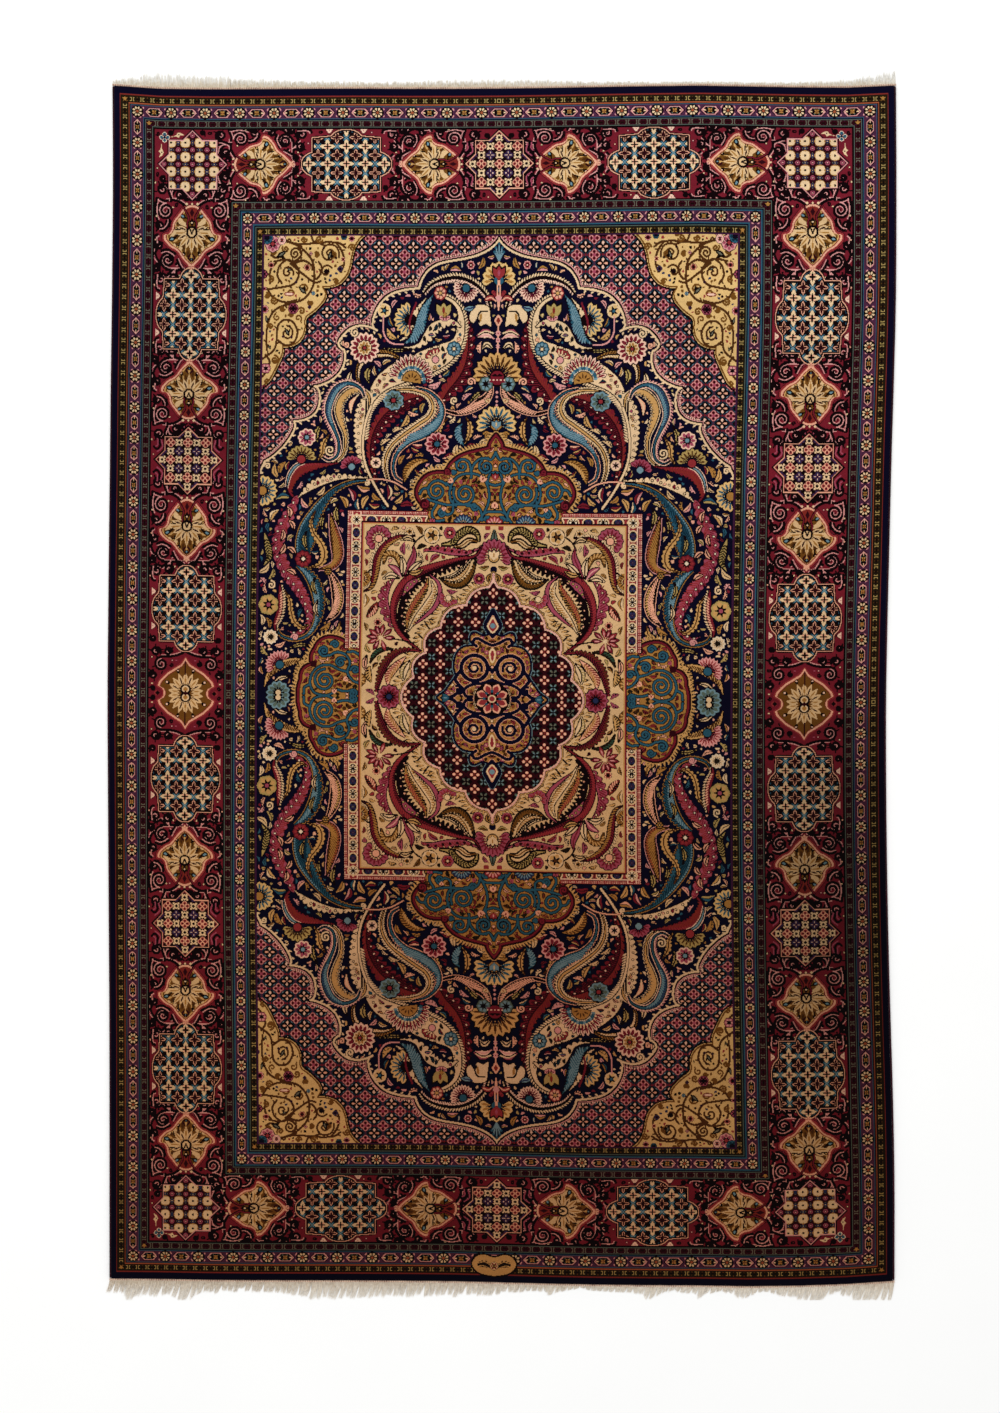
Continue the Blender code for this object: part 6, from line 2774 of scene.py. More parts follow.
@dataclass(frozen=True)
class Outline:
    """The slightly bowed outline that the CAD model has.

    Attributes:
        sides: place along the rug, then the left and the right edge, in mm.
        ends: place across the rug, then the lower and the upper edge, and the reach of the
            fringe beyond each, in mm.
    """

    sides: tuple[tuple[float, float, float], ...] = (
        (-1830.0, -1201.0, 1201.0),
        (-1513.0, -1201.0, 1201.0),
        (-1268.0, -1201.0, 1196.5),
        (-1023.0, -1201.5, 1189.0),
        (-778.0, -1203.0, 1182.5),
        (-534.0, -1204.5, 1178.0),
        (-289.0, -1206.0, 1175.5),
        (-44.0, -1207.0, 1175.5),
        (200.0, -1205.0, 1180.0),
        (445.0, -1202.5, 1186.0),
        (690.0, -1199.5, 1192.0),
        (935.0, -1197.0, 1199.5),
        (1180.0, -1193.5, 1205.5),
        (1547.0, -1190.5, 1207.0),
        (1830.0, -1192.0, 1205.5),
    )
    ends: tuple[tuple[float, float, float, float, float], ...] = (
        (-1200.0, -1812.0, 1836.0, 42.0, 16.0),
        (-1060.0, -1813.0, 1826.0, 52.0, 46.0),
        (-950.0, -1815.0, 1824.5, 50.0, 44.0),
        (-860.0, -1816.5, 1824.0, 32.0, 36.0),
        (-680.0, -1817.5, 1825.0, 38.0, 26.0),
        (-510.0, -1817.5, 1826.5, 52.0, 23.0),
        (-330.0, -1818.5, 1825.5, 50.0, 22.0),
        (-140.0, -1820.5, 1825.5, 44.0, 26.0),
        (40.0, -1825.0, 1827.0, 32.0, 25.0),
        (220.0, -1829.5, 1830.0, 20.0, 20.0),
        (400.0, -1832.0, 1833.0, 27.0, 14.0),
        (590.0, -1833.0, 1835.5, 25.0, 14.0),
        (770.0, -1835.5, 1832.5, 24.0, 14.0),
        (960.0, -1832.5, 1829.5, 43.0, 18.0),
        (1100.0, -1826.5, 1830.0, 38.0, 28.0),
        (1200.0, -1819.0, 1836.0, 54.0, 40.0),
    )

    def column(
        self, table: Sequence[Sequence[float]], column: int, half: float, pieces: int, share: np.ndarray
    ) -> np.ndarray:
        """A column of a table, smooth at the joints of the straight stretches and straight between.

        Args:
            table: rows of a place and its values.
            column: which value.
            half: place of the last joint.
            pieces: number of straight stretches.
            share: places from 0 to 1.

        Returns:
            The value at each place.
        """
        rows = np.asarray(table, float)
        places, values = rows[:, 0], rows[:, column]
        steps = np.diff(values) / np.diff(places)
        inner = (values[2:] - values[:-2]) / (places[2:] - places[:-2])
        slopes = np.concatenate([steps[:1], inner, steps[-1:]])
        joints = np.clip((2 * np.arange(pieces + 1) / pieces - 1) * half, places[0], places[-1])
        after = np.clip(np.searchsorted(places, joints), 1, len(places) - 1)
        before = after - 1
        span = places[after] - places[before]
        t = (joints - places[before]) / span
        at_joints = (
            (2 * t**3 - 3 * t**2 + 1) * values[before]
            + (t**3 - 2 * t**2 + t) * slopes[before] * span
            + (3 * t**2 - 2 * t**3) * values[after]
            + (t**3 - t**2) * slopes[after] * span
        )
        return np.interp(share, np.arange(pieces + 1) / pieces, at_joints)

    def side(self, which: int, share: np.ndarray) -> np.ndarray:
        """Left (1) or right (2) edge at shares of the way up."""
        return self.column(self.sides, which, 1830.0, 34, share)

    def end(self, which: int, share: np.ndarray) -> np.ndarray:
        """Lower (1) or upper (2) edge, or the fringe there (3, 4), at shares of the way across."""
        return self.column(self.ends, which, 1200.0, 16, share)

    def point(self, across: np.ndarray, along: np.ndarray) -> tuple[np.ndarray, np.ndarray]:
        """Place on the rug in metres, in the frame of the CAD model.

        Args:
            across: shares of the way from the left to the right edge.
            along: shares of the way from the lower to the upper end.

        Returns:
            The x and y of each place.
        """
        left, right = self.side(1, along), self.side(2, along)
        lower, upper = self.end(1, across), self.end(2, across)
        shift_x, shift_y = self.shift()
        x = left + (right - left) * across
        y = lower + (upper - lower) * along
        return x * MM + shift_x, y * MM + shift_y

    def shift(self) -> tuple[float, float]:
        """How far the CAD model was moved so that its middle is at the origin, in metres.

        Returns:
            The distances across and along.
        """
        joints = np.arange(35) / 34
        low_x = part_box("side_cord_left")[0][0] - float(self.side(1, joints).min()) * MM
        low_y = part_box("rug_pile")[0][1] - float(self.end(1, np.arange(17) / 16).min()) * MM
        return low_x, low_y


OUTLINE = Outline()


# How far the woven pattern lies off its even place, in mm, because the warps were not equally tight:
# place along the rug, then the shift along it at the left and at the right border.
DRIFT_ALONG = (
    (-1832, 0, 0), (-1605, -13, -9), (-1452, -24, -24), (-1238, -27, -30), (-993, -15, -24), (-748, -20, -40),
    (-503, -25, -44), (-259, -23, -47), (-14, -27, -55), (231, -35, -60), (445, -33, -56), (690, -24, -48),
    (935, -34, -48), (1180, -22, -34), (1409, -2, -2), (1593, 3, 4), (1745, 0, 0), (1832, 0, 0),
)  # fmt: skip
# Place along the rug, then the shift across it at the places DRIFT_COLUMNS.
DRIFT_ACROSS = (
    (-1832, 0, -20, -24, -16, -10, -2, 0), (-1300, 0, -18, -22, -15, -12, -8, 0),
    (-600, 0, -18, -25, -15, -8, -2, 0), (0, 0, -12, -22, -15, -5, 0, 0), (700, 0, -14, -17, -16, -12, -2, 0),
    (1832, 0, -7, -14, -16, -14, -5, 0),
)  # fmt: skip
DRIFT_COLUMNS = (-1200, -950, -430, 0, 430, 950, 1200)


def pattern_place(x: np.ndarray, y: np.ndarray) -> tuple[np.ndarray, np.ndarray]:
    """Where a place of the chart comes to lie, as shares across and along the rug.

    Args:
        x: places across the chart, in mm from its middle.
        y: places along it.

    Returns:
        The shares across, and the shares along.
    """
    table = np.array(DRIFT_ALONG, float)
    left, right = (np.interp(y, table[:, 0], table[:, k]) for k in (1, 2))
    drift_y = y + left + (right - left) * np.clip(0.5 + x / 1900, 0, 1)
    table = np.array(DRIFT_ACROSS, float)
    shifts = np.stack([np.interp(y, table[:, 0], table[:, k]) for k in range(1, 8)], -1)
    weights = np.stack([np.interp(x, DRIFT_COLUMNS, np.eye(7)[k]) for k in range(7)], -1)
    drift_x = x + (shifts * weights).sum(-1)
    return (drift_x + HALF_WIDTH) / (2 * HALF_WIDTH), (drift_y + HALF_LENGTH) / (2 * HALF_LENGTH)


# ---------------------------------------------------------------------------------------------
# Nodes and meshes
# ---------------------------------------------------------------------------------------------


def add(
    tree: bpy.types.NodeTree, kind: str, inputs: dict[str | int, object] | None = None, **settings: object
) -> Node:
    """Add a node.

    Args:
        tree: the tree that gets it.
        kind: its Blender type without the leading ShaderNode.
        inputs: for each input, by name or number, a value or the socket that feeds it.
        **settings: its own settings.

    Returns:
        The node.
    """
    node = tree.nodes.new(f"ShaderNode{kind}")
    for name, value in settings.items():
        setattr(node, name, value)
    for name, value in (inputs or {}).items():
        if isinstance(value, bpy.types.NodeSocket):
            tree.links.new(value, node.inputs[name])
        else:
            node.inputs[name].default_value = value
    return node


def maths(tree: bpy.types.NodeTree, operation: str, *values: float | Socket) -> Socket:
    """Result of a sum of up to three values."""
    return add(tree, "Math", dict(enumerate(values)), operation=operation).outputs[0]


def ramp(
    tree: bpy.types.NodeTree, factor: Socket, stops: Sequence[tuple[float, str]],
    interpolation: str = "LINEAR",
) -> Socket:
    """Colour read from a row of stops, given as place and hex colour.

    Args:
        tree: node tree to add to.
        factor: what the stops are read with.
        stops: place and colour of each.
        interpolation: how colours between stops are found.

    Returns:
        Socket of the colour.
    """
    node = add(tree, "ValToRGB", {"Fac": factor})
    node.color_ramp.interpolation = interpolation
    elements = node.color_ramp.elements
    while len(elements) < len(stops):
        elements.new(0.5)
    for element, (place, hex_colour) in zip(elements, stops):
        element.position = place
        element.color = linear(hex_colour)
    return node.outputs["Color"]


def tinted(tree: bpy.types.NodeTree, colour: Socket | tuple, factor: Socket) -> Socket:
    """A colour times a number."""
    return add(tree, "VectorMath", {0: colour, 1: factor}, operation="MULTIPLY").outputs[0]


def new_material(name: str) -> tuple[bpy.types.Material, bpy.types.NodeTree, Node]:
    """Empty material with a surface shader.

    Args:
        name: its name.

    Returns:
        The material, its tree and its shader.
    """
    material = bpy.data.materials.new(name)
    material.use_nodes = True
    tree = material.node_tree
    tree.nodes.clear()
    shader = add(tree, "BsdfPrincipled")
    add(tree, "OutputMaterial", {"Surface": shader.outputs[0]})
    return material, tree, shader


def new_mesh(name: str, verts: np.ndarray, faces: np.ndarray) -> bpy.types.Object:
    """Make an object of quads.

    Args:
        name: its name.
        verts: one row of x, y and z in metres for each corner.
        faces: one row of four vertex numbers for each face.

    Returns:
        The object, in the scene.
    """
    mesh = bpy.data.meshes.new(name)
    mesh.vertices.add(len(verts))
    mesh.vertices.foreach_set("co", verts.astype(np.float32).ravel())
    mesh.loops.add(faces.size)
    mesh.loops.foreach_set("vertex_index", faces.astype(np.int32).ravel())
    mesh.polygons.add(len(faces))
    mesh.polygons.foreach_set("loop_start", np.arange(0, faces.size, 4, dtype=np.int32))
    mesh.update(calc_edges=True)
    mesh.polygons.foreach_set("use_smooth", np.ones(len(faces), bool))
    mesh.update()
    item = bpy.data.objects.new(name, mesh)
    bpy.context.collection.objects.link(item)
    return item


def tube_faces(bodies: int, rings: int, sides: int) -> np.ndarray:
    """Quads of many tubes whose vertices are stored body by body and ring by ring.

    Args:
        bodies: number of tubes.
        rings: rings in each.
        sides: vertices in a ring.

    Returns:
        The vertices of each face.
    """
    ring = np.arange(sides)
    one = np.stack([ring, (ring + 1) % sides], 1)
    quads = []
    for k in range(rings - 1):
        quads.append(
            np.stack(
                [
                    one[:, 0] + k * sides, one[:, 1] + k * sides, one[:, 1] + (k + 1) * sides,
                    one[:, 0] + (k + 1) * sides,
                ],
                1,
            )
        )
    single = np.vstack(quads)
    starts = np.arange(bodies)[:, None, None] * rings * sides
    return (single[None] + starts).reshape(-1, 4)


# ---------------------------------------------------------------------------------------------
# Pile
# ---------------------------------------------------------------------------------------------

BLOCK = 8  # knots along each side of a mesh face
DIGITS = 4  # knots that share one stored number
BASE = 64  # what a knot's place in that number counts for
WORDS = BLOCK * BLOCK // DIGITS  # numbers that hold a face's knots


@dataclass(frozen=True)
class WoolPile:
    """Hand-knotted wool pile: clipped tufts of dyed wool, soft and matt, with a faint sheen.

    Each tuft's colour comes from the chart. The dye varies a little from skein to skein, and
    painted shade makes the lower end darker and warmer.

    Attributes:
        roughness: clipped wool scatters light widely.
        specular: wool has very little gloss.
        sheen: light that the fibre ends catch.
        knot_lift: height of one tuft's rounded top, in mm.
    """

    roughness: float = 0.93
    specular: float = 0.03
    sheen: float = 0.03
    knot_lift: float = 0.7
    # painted shade along the rug: full at the upper end, darker and warmer towards the lower end
    PAINTED_SHADE_ALONG: ClassVar = (
        (0.0, "#BDA591"), (0.12, "#C3AB98"), (0.3, "#D2BFAD"), (0.5, "#E2D4C8"), (0.7, "#F1E7E0"),
        (0.86, "#FAF6F2"), (1.0, "#FFFDFB"),
    )  # fmt: skip
    # painted shade on the lower right
    PAINTED_SHADE_RIGHT: ClassVar = (
        (0.0, "#F0F0F0"), (0.14, "#E6E6E6"), (0.24, "#C4C4C4"), (0.33, "#B4B4B4"), (0.43, "#C4C4C4"),
        (0.5, "#E6E6E6"), (0.6, "#FFFFFF"),
    )  # fmt: skip
    # painted shade on the middle of the lower half
    PAINTED_SHADE_MIDDLE: ClassVar = (
        (0.03, "#F2EEEE"), (0.1, "#EAE3E4"), (0.18, "#E6DADA"), (0.28, "#E2D4D2"), (0.34, "#E8DCD8"),
        (0.42, "#F8F0EA"), (0.5, "#FFFFFF"),
    )  # fmt: skip
    # painted shade on the upper left
    PAINTED_SHADE_LEFT: ClassVar = ((0.45, "#FFFFFF"), (0.6, "#F4F4F4"), (0.75, "#E4E4E4"), (0.92, "#F0F0F0"))

    def material(self, columns: int, rows: int) -> bpy.types.Material:
        """Make the material for a chart of this many knots.

        Args:
            columns: knots across the rug.
            rows: knots along it.

        Returns:
            The material.
        """
        material, tree, shader = new_material("knotted_wool_pile")
        place = add(tree, "SeparateXYZ", {0: add(tree, "UVMap", uv_map="knots").outputs[0]})
        across, along = place.outputs[0], place.outputs[1]
        fine_x = maths(tree, "MULTIPLY", across, float(columns))
        fine_y = maths(tree, "MULTIPLY", along, float(rows))
        knot_x, knot_y = maths(tree, "FLOOR", fine_x), maths(tree, "FLOOR", fine_y)
        yarn = self.yarn(tree, knot_x, knot_y)
        number = len(YARN_COLOURS)
        stops = [(k / number, YARN_COLOURS[Yarn(k)]) for k in range(number)]
        middle = maths(tree, "ADD", yarn, 0.5)
        colour = ramp(tree, maths(tree, "DIVIDE", middle, float(number)), stops, "CONSTANT")
        colour = tinted(tree, colour, self.dye_variation(tree, knot_x, knot_y))
        # painted shade, multiplied into the yarn colour
        colour = tinted(tree, colour, self.painted_shade(tree, across, along))
        tree.links.new(colour, shader.inputs["Base Color"])
        shader.inputs["Roughness"].default_value = self.roughness
        shader.inputs["Specular IOR Level"].default_value = self.specular
        shader.inputs["Sheen Weight"].default_value = self.sheen
        shader.inputs["Sheen Roughness"].default_value = 0.5
        tree.links.new(self.tufts(tree, fine_x, fine_y), shader.inputs["Normal"])
        return material

    def yarn(self, tree: bpy.types.NodeTree, knot_x: Socket, knot_y: Socket) -> Socket:
        """Number of the yarn of a knot, read from the numbers that its mesh face holds.

        Args:
            tree: node tree to add to.
            knot_x: number of the knot's column.
            knot_y: number of its row.

        Returns:
            Socket of the yarn's number.
        """
        in_x = maths(tree, "FLOORED_MODULO", knot_x, float(BLOCK))
        in_y = maths(tree, "FLOORED_MODULO", knot_y, float(BLOCK))
        word_x = maths(tree, "FLOOR", maths(tree, "DIVIDE", in_x, float(DIGITS)))
        word = maths(tree, "MULTIPLY_ADD", in_y, float(BLOCK // DIGITS), word_x)
        total: Socket | float = 0.0
        for k in range(WORDS):
            stored = add(tree, "Attribute", attribute_name=f"knots_{k:02d}").outputs["Fac"]
            chosen = maths(tree, "COMPARE", word, float(k), 0.25)
            total = maths(tree, "MULTIPLY_ADD", stored, chosen, total)
        size = maths(tree, "POWER", float(BASE), maths(tree, "FLOORED_MODULO", in_x, float(DIGITS)))
        shifted = maths(tree, "FLOOR", maths(tree, "DIVIDE", total, size))
        return maths(tree, "FLOORED_MODULO", shifted, float(BASE))

    def dye_variation(self, tree: bpy.types.NodeTree, knot_x: Socket, knot_y: Socket) -> Socket:
        """Lighter and darker tufts, and bands where a new skein was begun.

        Args:
            tree: node tree to add to.
            knot_x: number of the knot's column.
            knot_y: number of its row.

        Returns:
            Socket of the factor that the colour is multiplied with.
        """
        both = add(tree, "CombineXYZ", {0: knot_x, 1: knot_y}).outputs[0]
        single = add(tree, "TexWhiteNoise", {"Vector": both}, noise_dimensions="2D").outputs["Value"]
        tuft = add(tree, "MapRange", {"Value": single, "To Min": 0.86, "To Max": 1.12}).outputs[0]
        skein_place = add(
            tree, "VectorMath", {0: both, 1: (0.0016, 0.028, 0.0)}, operation="MULTIPLY"
        ).outputs[0]
        skein = add(
            tree, "TexNoise", {"Vector": skein_place, "Scale": 1.0, "Detail": 3.0}, noise_dimensions="2D"
        ).outputs[0]
        band = add(
            tree, "MapRange",
            {"Value": skein, "From Min": 0.3, "From Max": 0.7, "To Min": 0.90, "To Max": 1.09},
        ).outputs[0]
        return maths(tree, "MULTIPLY", tuft, band)

    def painted_shade(self, tree: bpy.types.NodeTree, across: Socket, along: Socket) -> Socket:
        """Painted shade: full tone at the upper end, darker and warmer towards the lower one.

        More painted shade darkens the lower right, the lower middle and the upper left.

        Args:
            tree: node tree to add to.
            across: place across the rug, from 0 to 1.
            along: place along it, from 0 at the lower end.

        Returns:
            Socket of the tone.
        """
        tone = ramp(tree, along, self.PAINTED_SHADE_ALONG)
        from_axis = maths(tree, "ABSOLUTE", maths(tree, "SUBTRACT", across, 0.5))
        # painted shade at the right, the left and the middle, multiplied into the tone
        for stops, place, start, full in (
            (self.PAINTED_SHADE_RIGHT, across, 0.66, 0.93),
            (self.PAINTED_SHADE_LEFT, across, 0.30, 0.08),
            (self.PAINTED_SHADE_MIDDLE, from_axis, 0.34, 0.14),
        ):
            weight = add(
                tree, "MapRange", {"Value": place, "From Min": start, "From Max": full},
                interpolation_type="SMOOTHSTEP"
            ).outputs[0]
            mixed = {0: weight, 6: tone, 7: ramp(tree, along, stops)}
            tone = add(tree, "Mix", mixed, data_type="RGBA", blend_type="MULTIPLY").outputs[2]
        return tone

    def tufts(self, tree: bpy.types.NodeTree, fine_x: Socket, fine_y: Socket) -> Socket:
        """Surface normal of rounded tuft tops, loosened by the fibres.

        Args:
            tree: node tree to add to.
            fine_x: place across, in knots.
            fine_y: place along, in knots.

        Returns:
            Socket of the normal.
        """
        own_x = maths(tree, "SUBTRACT", maths(tree, "FRACT", fine_x), 0.5)
        own_y = maths(tree, "SUBTRACT", maths(tree, "FRACT", fine_y), 0.5)
        square = maths(tree, "MULTIPLY_ADD", own_x, own_x, maths(tree, "MULTIPLY", own_y, own_y))
        dome = maths(tree, "MULTIPLY_ADD", square, -2.0, 1.0)
        where = add(tree, "TexCoord").outputs["Object"]
        fibre = add(tree, "TexNoise", {"Vector": where, "Scale": 1 / (1.6 * MM), "Detail": 2.0}).outputs[0]
        height = maths(tree, "MULTIPLY_ADD", fibre, 0.9, dome)
        return add(
            tree, "Bump", {"Height": height, "Distance": self.knot_lift * MM, "Strength": 0.7}
        ).outputs[0]


@dataclass
class RugPile:
    """The knotted sheet: one closed body, flat underneath, with a rounded upper rim.

    Attributes:
        thickness: height of the pile's top, in mm.
        rounding: how far the rim is rounded.
        margin: width that the side cord takes up at each side.
        wave: how far the clipped surface rises and falls.
        rim: grid lines of the rounded rim, in mm from the edge.
        top_share: share of the OFBake map's width that the top takes.
        under_share: share that the underside takes.
        under_start: where the underside begins in it.
        wall_start: where the first of the four narrow walls begins.
        wall_pitch: distance from wall to wall.
        wall_width: width of a wall there.
    """

    thickness: float = 9.0
    rounding: float = 2.5
    margin: float = 6.3
    wave: float = 0.35
    rim: tuple[float, ...] = (0.0, 1.0, 3.0)
    top_share: float = 0.86
    under_share: float = 0.125
    under_start: float = 0.875
    wall_start: float = 0.862
    wall_pitch: float = 0.003
    wall_width: float = 0.002
    finish: WoolPile = field(default_factory=WoolPile)

    def stations(self, half: float, margin: float) -> tuple[np.ndarray, np.ndarray]:
        """Grid lines in mm from one edge, and the block of knots that each strip belongs to.

        Args:
            half: half the rug's size in this direction.
            margin: distance of the first line from the edge.

        Returns:
            The lines, and the number of each strip's block.
        """
        size = 2 * half
        block = BLOCK * KNOT
        count = round(size / block)
        inner = np.arange(1, count) * block
        rim = np.array(self.rim)
        lines = np.concatenate([margin + rim, inner, size - margin - rim[::-1]])
        middles = (lines[1:] + lines[:-1]) / 2
        return lines, np.clip((middles // block).astype(int), 0, count - 1)

    def build(self, knots: np.ndarray) -> bpy.types.Object:
        """Make the piece.

        Args:
            knots: the chart.

        Returns:
            The piece.
        """
        columns, block_x = self.stations(HALF_WIDTH, self.margin)
        rows, block_y = self.stations(HALF_LENGTH, 0.0)
        across, along = pattern_place(*np.meshgrid(columns - HALF_WIDTH, rows - HALF_LENGTH))
        x, y = OUTLINE.point(across, along)
        z = self.heights(columns, rows)
        low = np.zeros_like(z)
        wide, tall = len(columns), len(rows)
        verts = np.vstack([np.stack([x, y, h * MM], -1).reshape(-1, 3) for h in (z, low)])
        j, i = np.mgrid[0 : tall - 1, 0 : wide - 1]
        first = (j * wide + i).ravel()
        top = np.stack([first, first + 1, first + wide + 1, first + wide], 1)
        below = wide * tall
        bottom = np.stack([first, first + wide, first + wide + 1, first + 1], 1) + below
        walls, wall_cells = self.walls(wide, tall)
        item = new_mesh("rug_pile_wool", verts, np.vstack([top, bottom, walls]))
        cell = np.stack([np.tile(block_x, tall - 1), np.repeat(block_y, wide - 1)], 1)
        wall_blocks = np.stack([block_x[wall_cells[:, 0]], block_y[wall_cells[:, 1]]], 1)
        cells = np.vstack([cell, cell, wall_blocks])
        self.store(item.data, knots, cells)
        self.lay_maps(item.data, columns, rows, len(first))
        item.data.materials.append(self.finish.material(knots.shape[1], knots.shape[0]))
        return item

    def heights(self, columns: np.ndarray, rows: np.ndarray) -> np.ndarray:
        """Height of the top at each grid point, in mm.

        Args:
            columns: places of the grid's columns, in mm.
            rows: places of its rows.

        Returns:
            The heights, row by row.
        """
        reach_x = np.minimum(columns - columns[0], columns[-1] - columns)
        reach_y = np.minimum(rows, rows[-1] - rows)
        reach = np.minimum(*np.meshgrid(reach_x, reach_y))
        share = np.clip(reach / self.rim[-1], 0, 1)
        z = self.thickness - self.rounding * (1 - np.sqrt(1 - (1 - share) ** 2))
        px, py = np.meshgrid(columns / 1000, rows / 1000)
        wave = np.sin(px * 7.1 + 1.3 * np.sin(py * 2.3)) * np.sin(py * 5.3 + 1.1 * np.sin(px * 3.7))
        return z + self.wave * wave * share

    def walls(self, wide: int, tall: int) -> tuple[np.ndarray, np.ndarray]:
        """Faces between the top's rim and the underside's, and the grid cell beside each.

        Args:
            wide: number of grid points across.
            tall: number of grid points along.

        Returns:
            The faces, and the cells.
        """
        below = wide * tall
        faces, cells = [], []
        for i in range(wide - 1):
            for j, flip in ((0, False), (tall - 1, True)):
                a, b = j * wide + i, j * wide + i + 1
                quad = [a + below, b + below, b, a]
                faces.append(quad[::-1] if flip else quad)
                cells.append((i, min(j, tall - 2)))
        for j in range(tall - 1):
            for i, flip in ((0, True), (wide - 1, False)):
                a, b = j * wide + i, (j + 1) * wide + i
                quad = [a + below, b + below, b, a]
                faces.append(quad[::-1] if flip else quad)
                cells.append((min(i, wide - 2), j))
        return np.array(faces), np.array(cells)

    def store(self, mesh: bpy.types.Mesh, knots: np.ndarray, cells: np.ndarray) -> None:
        """Give each face the yarns of its block of knots, packed four to a number.

        Args:
            mesh: the pile's mesh.
            knots: the chart's yarn numbers.
            cells: block of each face, as column and row.
        """
        high, wide = knots.shape[0] // BLOCK, knots.shape[1] // BLOCK
        blocks = knots.reshape(high, BLOCK, wide, BLOCK).transpose(0, 2, 1, 3)
        blocks = blocks.reshape(high, wide, BLOCK * BLOCK)
        digits = blocks[cells[:, 1], cells[:, 0]].astype(np.int64)
        scale = BASE ** np.arange(DIGITS)
        for k in range(WORDS):
            packed = (digits[:, DIGITS * k : DIGITS * (k + 1)] * scale).sum(1).astype(np.float32)
            mesh.attributes.new(f"knots_{k:02d}", "FLOAT", "FACE").data.foreach_set("value", packed)

    def lay_maps(self, mesh: bpy.types.Mesh, columns: np.ndarray, rows: np.ndarray, count: int) -> None:
        """Lay the map that finds a knot and the map OFBake, which gives the top, the underside and the walls
        each their own share of the square.

        Args:
            mesh: the pile's mesh.
            columns: places of the grid's columns, in mm.
            rows: places of its rows.
            count: number of faces on the top.
        """
        total = len(columns) * len(rows)
        u, v = np.meshgrid(columns / (2 * HALF_WIDTH), rows / (2 * HALF_LENGTH))
        place = np.stack([u.ravel(), v.ravel()], 1)
        corner = np.zeros(len(mesh.loops), np.int32)
        mesh.loops.foreach_get("vertex_index", corner)
        own = place[corner % total]
        mesh.uv_layers.new(name="knots").data.foreach_set("uv", own.astype(np.float32).ravel())
        baked = own.copy()
        top, bottom = slice(0, 4 * count), slice(4 * count, 8 * count)
        baked[top] = own[top] * (self.top_share, 1.0)
        baked[bottom] = own[bottom] * (self.under_share, 1.0) + (self.under_start, 0.0)
        walls = np.arange(8 * count, len(corner))
        under = (corner[walls] >= total).astype(float)
        at_end = walls - 8 * count < 4 * 2 * (len(columns) - 1)
        along = np.where(at_end, own[walls, 0], own[walls, 1])
        which = ((walls - 8 * count) // 4) % 2 + np.where(at_end, 0, 2)
        strip = self.wall_start + which * self.wall_pitch + under * self.wall_width
        baked[walls] = np.stack([strip, along], 1)
        mesh.uv_layers.new(name="OFBake").data.foreach_set("uv", baked.astype(np.float32).ravel())


# ---------------------------------------------------------------------------------------------
# Edges and fringes
# ---------------------------------------------------------------------------------------------


@dataclass(frozen=True)
class OvercastWool:
    """Dark crimson wool wound tightly over the edge: fine ridges that catch a little light."""

    colour: str = "#3A0F1C"
    dark: str = "#16070F"

    def material(self) -> bpy.types.Material:
        """Make the material.

        Returns:
            The material.
        """
        material, tree, shader = new_material("overcast_crimson_wool")
        where = add(tree, "TexCoord").outputs["Object"]
        skein = add(tree, "TexNoise", {"Vector": where, "Scale": 9.0, "Detail": 2.0}).outputs[0]
        fibre = add(tree, "TexNoise", {"Vector": where, "Scale": 1 / (1.2 * MM), "Detail": 2.0}).outputs[0]
        mix = maths(tree, "MULTIPLY_ADD", fibre, 0.4, maths(tree, "MULTIPLY", skein, 0.75))
        tree.links.new(ramp(tree, mix, ((0.3, self.dark), (0.75, self.colour))), shader.inputs["Base Color"])
        shader.inputs["Roughness"].default_value = 0.9
        shader.inputs["Specular IOR Level"].default_value = 0.12
        shader.inputs["Sheen Weight"].default_value = 0.08
        bump = add(tree, "Bump", {"Height": fibre, "Distance": 0.3 * MM, "Strength": 0.5})
        tree.links.new(bump.outputs[0], shader.inputs["Normal"])
        return material


@dataclass
class SideCord:
    """Wool overcast round the outermost warps of one side.

    Attributes:
        left: whether it is the left one.
        width: width of the cord, in mm.
        height: its height.
        pitch: distance from wrap to wrap.
    """

    left: bool
    width: float = 6.0
    height: float = 7.5
    pitch: float = 3.4
    finish: OvercastWool = field(default_factory=OvercastWool)

    def build(self) -> bpy.types.Object:
        """Make the piece.

        Returns:
            The piece.
        """
        inward = 1.0 if self.left else -1.0
        profile = np.array(
            [
                (0.12, 0.0), (0.9, 0.0), (1.0, 0.35), (0.96, 0.72), (0.7, 0.98), (0.38, 1.0), (0.1, 0.74),
                (0.0, 0.3),
            ]
        )
        half = self.pitch / 2
        count = int(2 * HALF_LENGTH / half)
        share = np.linspace(0.0006, 0.9994, count)
        ridge = np.where(np.arange(count) % 2 == 0, 1.0, 0.88)
        ridge[0] = ridge[-1] = 0.7
        angle = np.linspace(0, 2 * math.pi, len(profile), endpoint=False)
        lean = np.sin(angle) * half * 0.45
        along = np.clip(share[:, None] + lean[None, :] / (2 * HALF_LENGTH), 0.0003, 0.9997)
        x, y = OUTLINE.point(np.full_like(along, 0.0 if self.left else 1.0), along)
        middle = np.array([0.5, 0.5])
        shaped = middle + (profile - middle)[None] * ridge[:, None, None]
        shaped[:, :, 1] = np.maximum(shaped[:, :, 1], 0.0)
        verts = np.stack(
            [x + inward * shaped[:, :, 0] * self.width * MM, y, shaped[:, :, 1] * self.height * MM], -1
        ).reshape(-1, 3)
        sides = len(profile)
        faces = tube_faces(1, count, sides)
        last = (count - 1) * sides
        caps = np.array([[0, 7, 6, 5], [0, 5, 4, 3], [0, 3, 2, 1]])
        faces = np.vstack([faces, caps, caps[:, ::-1] + last])
        if not self.left:
            faces = faces[:, ::-1]
        item = new_mesh(f"side_cord_{'left' if self.left else 'right'}_overcast", verts, faces)
        item.data.materials.append(self.finish.material())
        return item


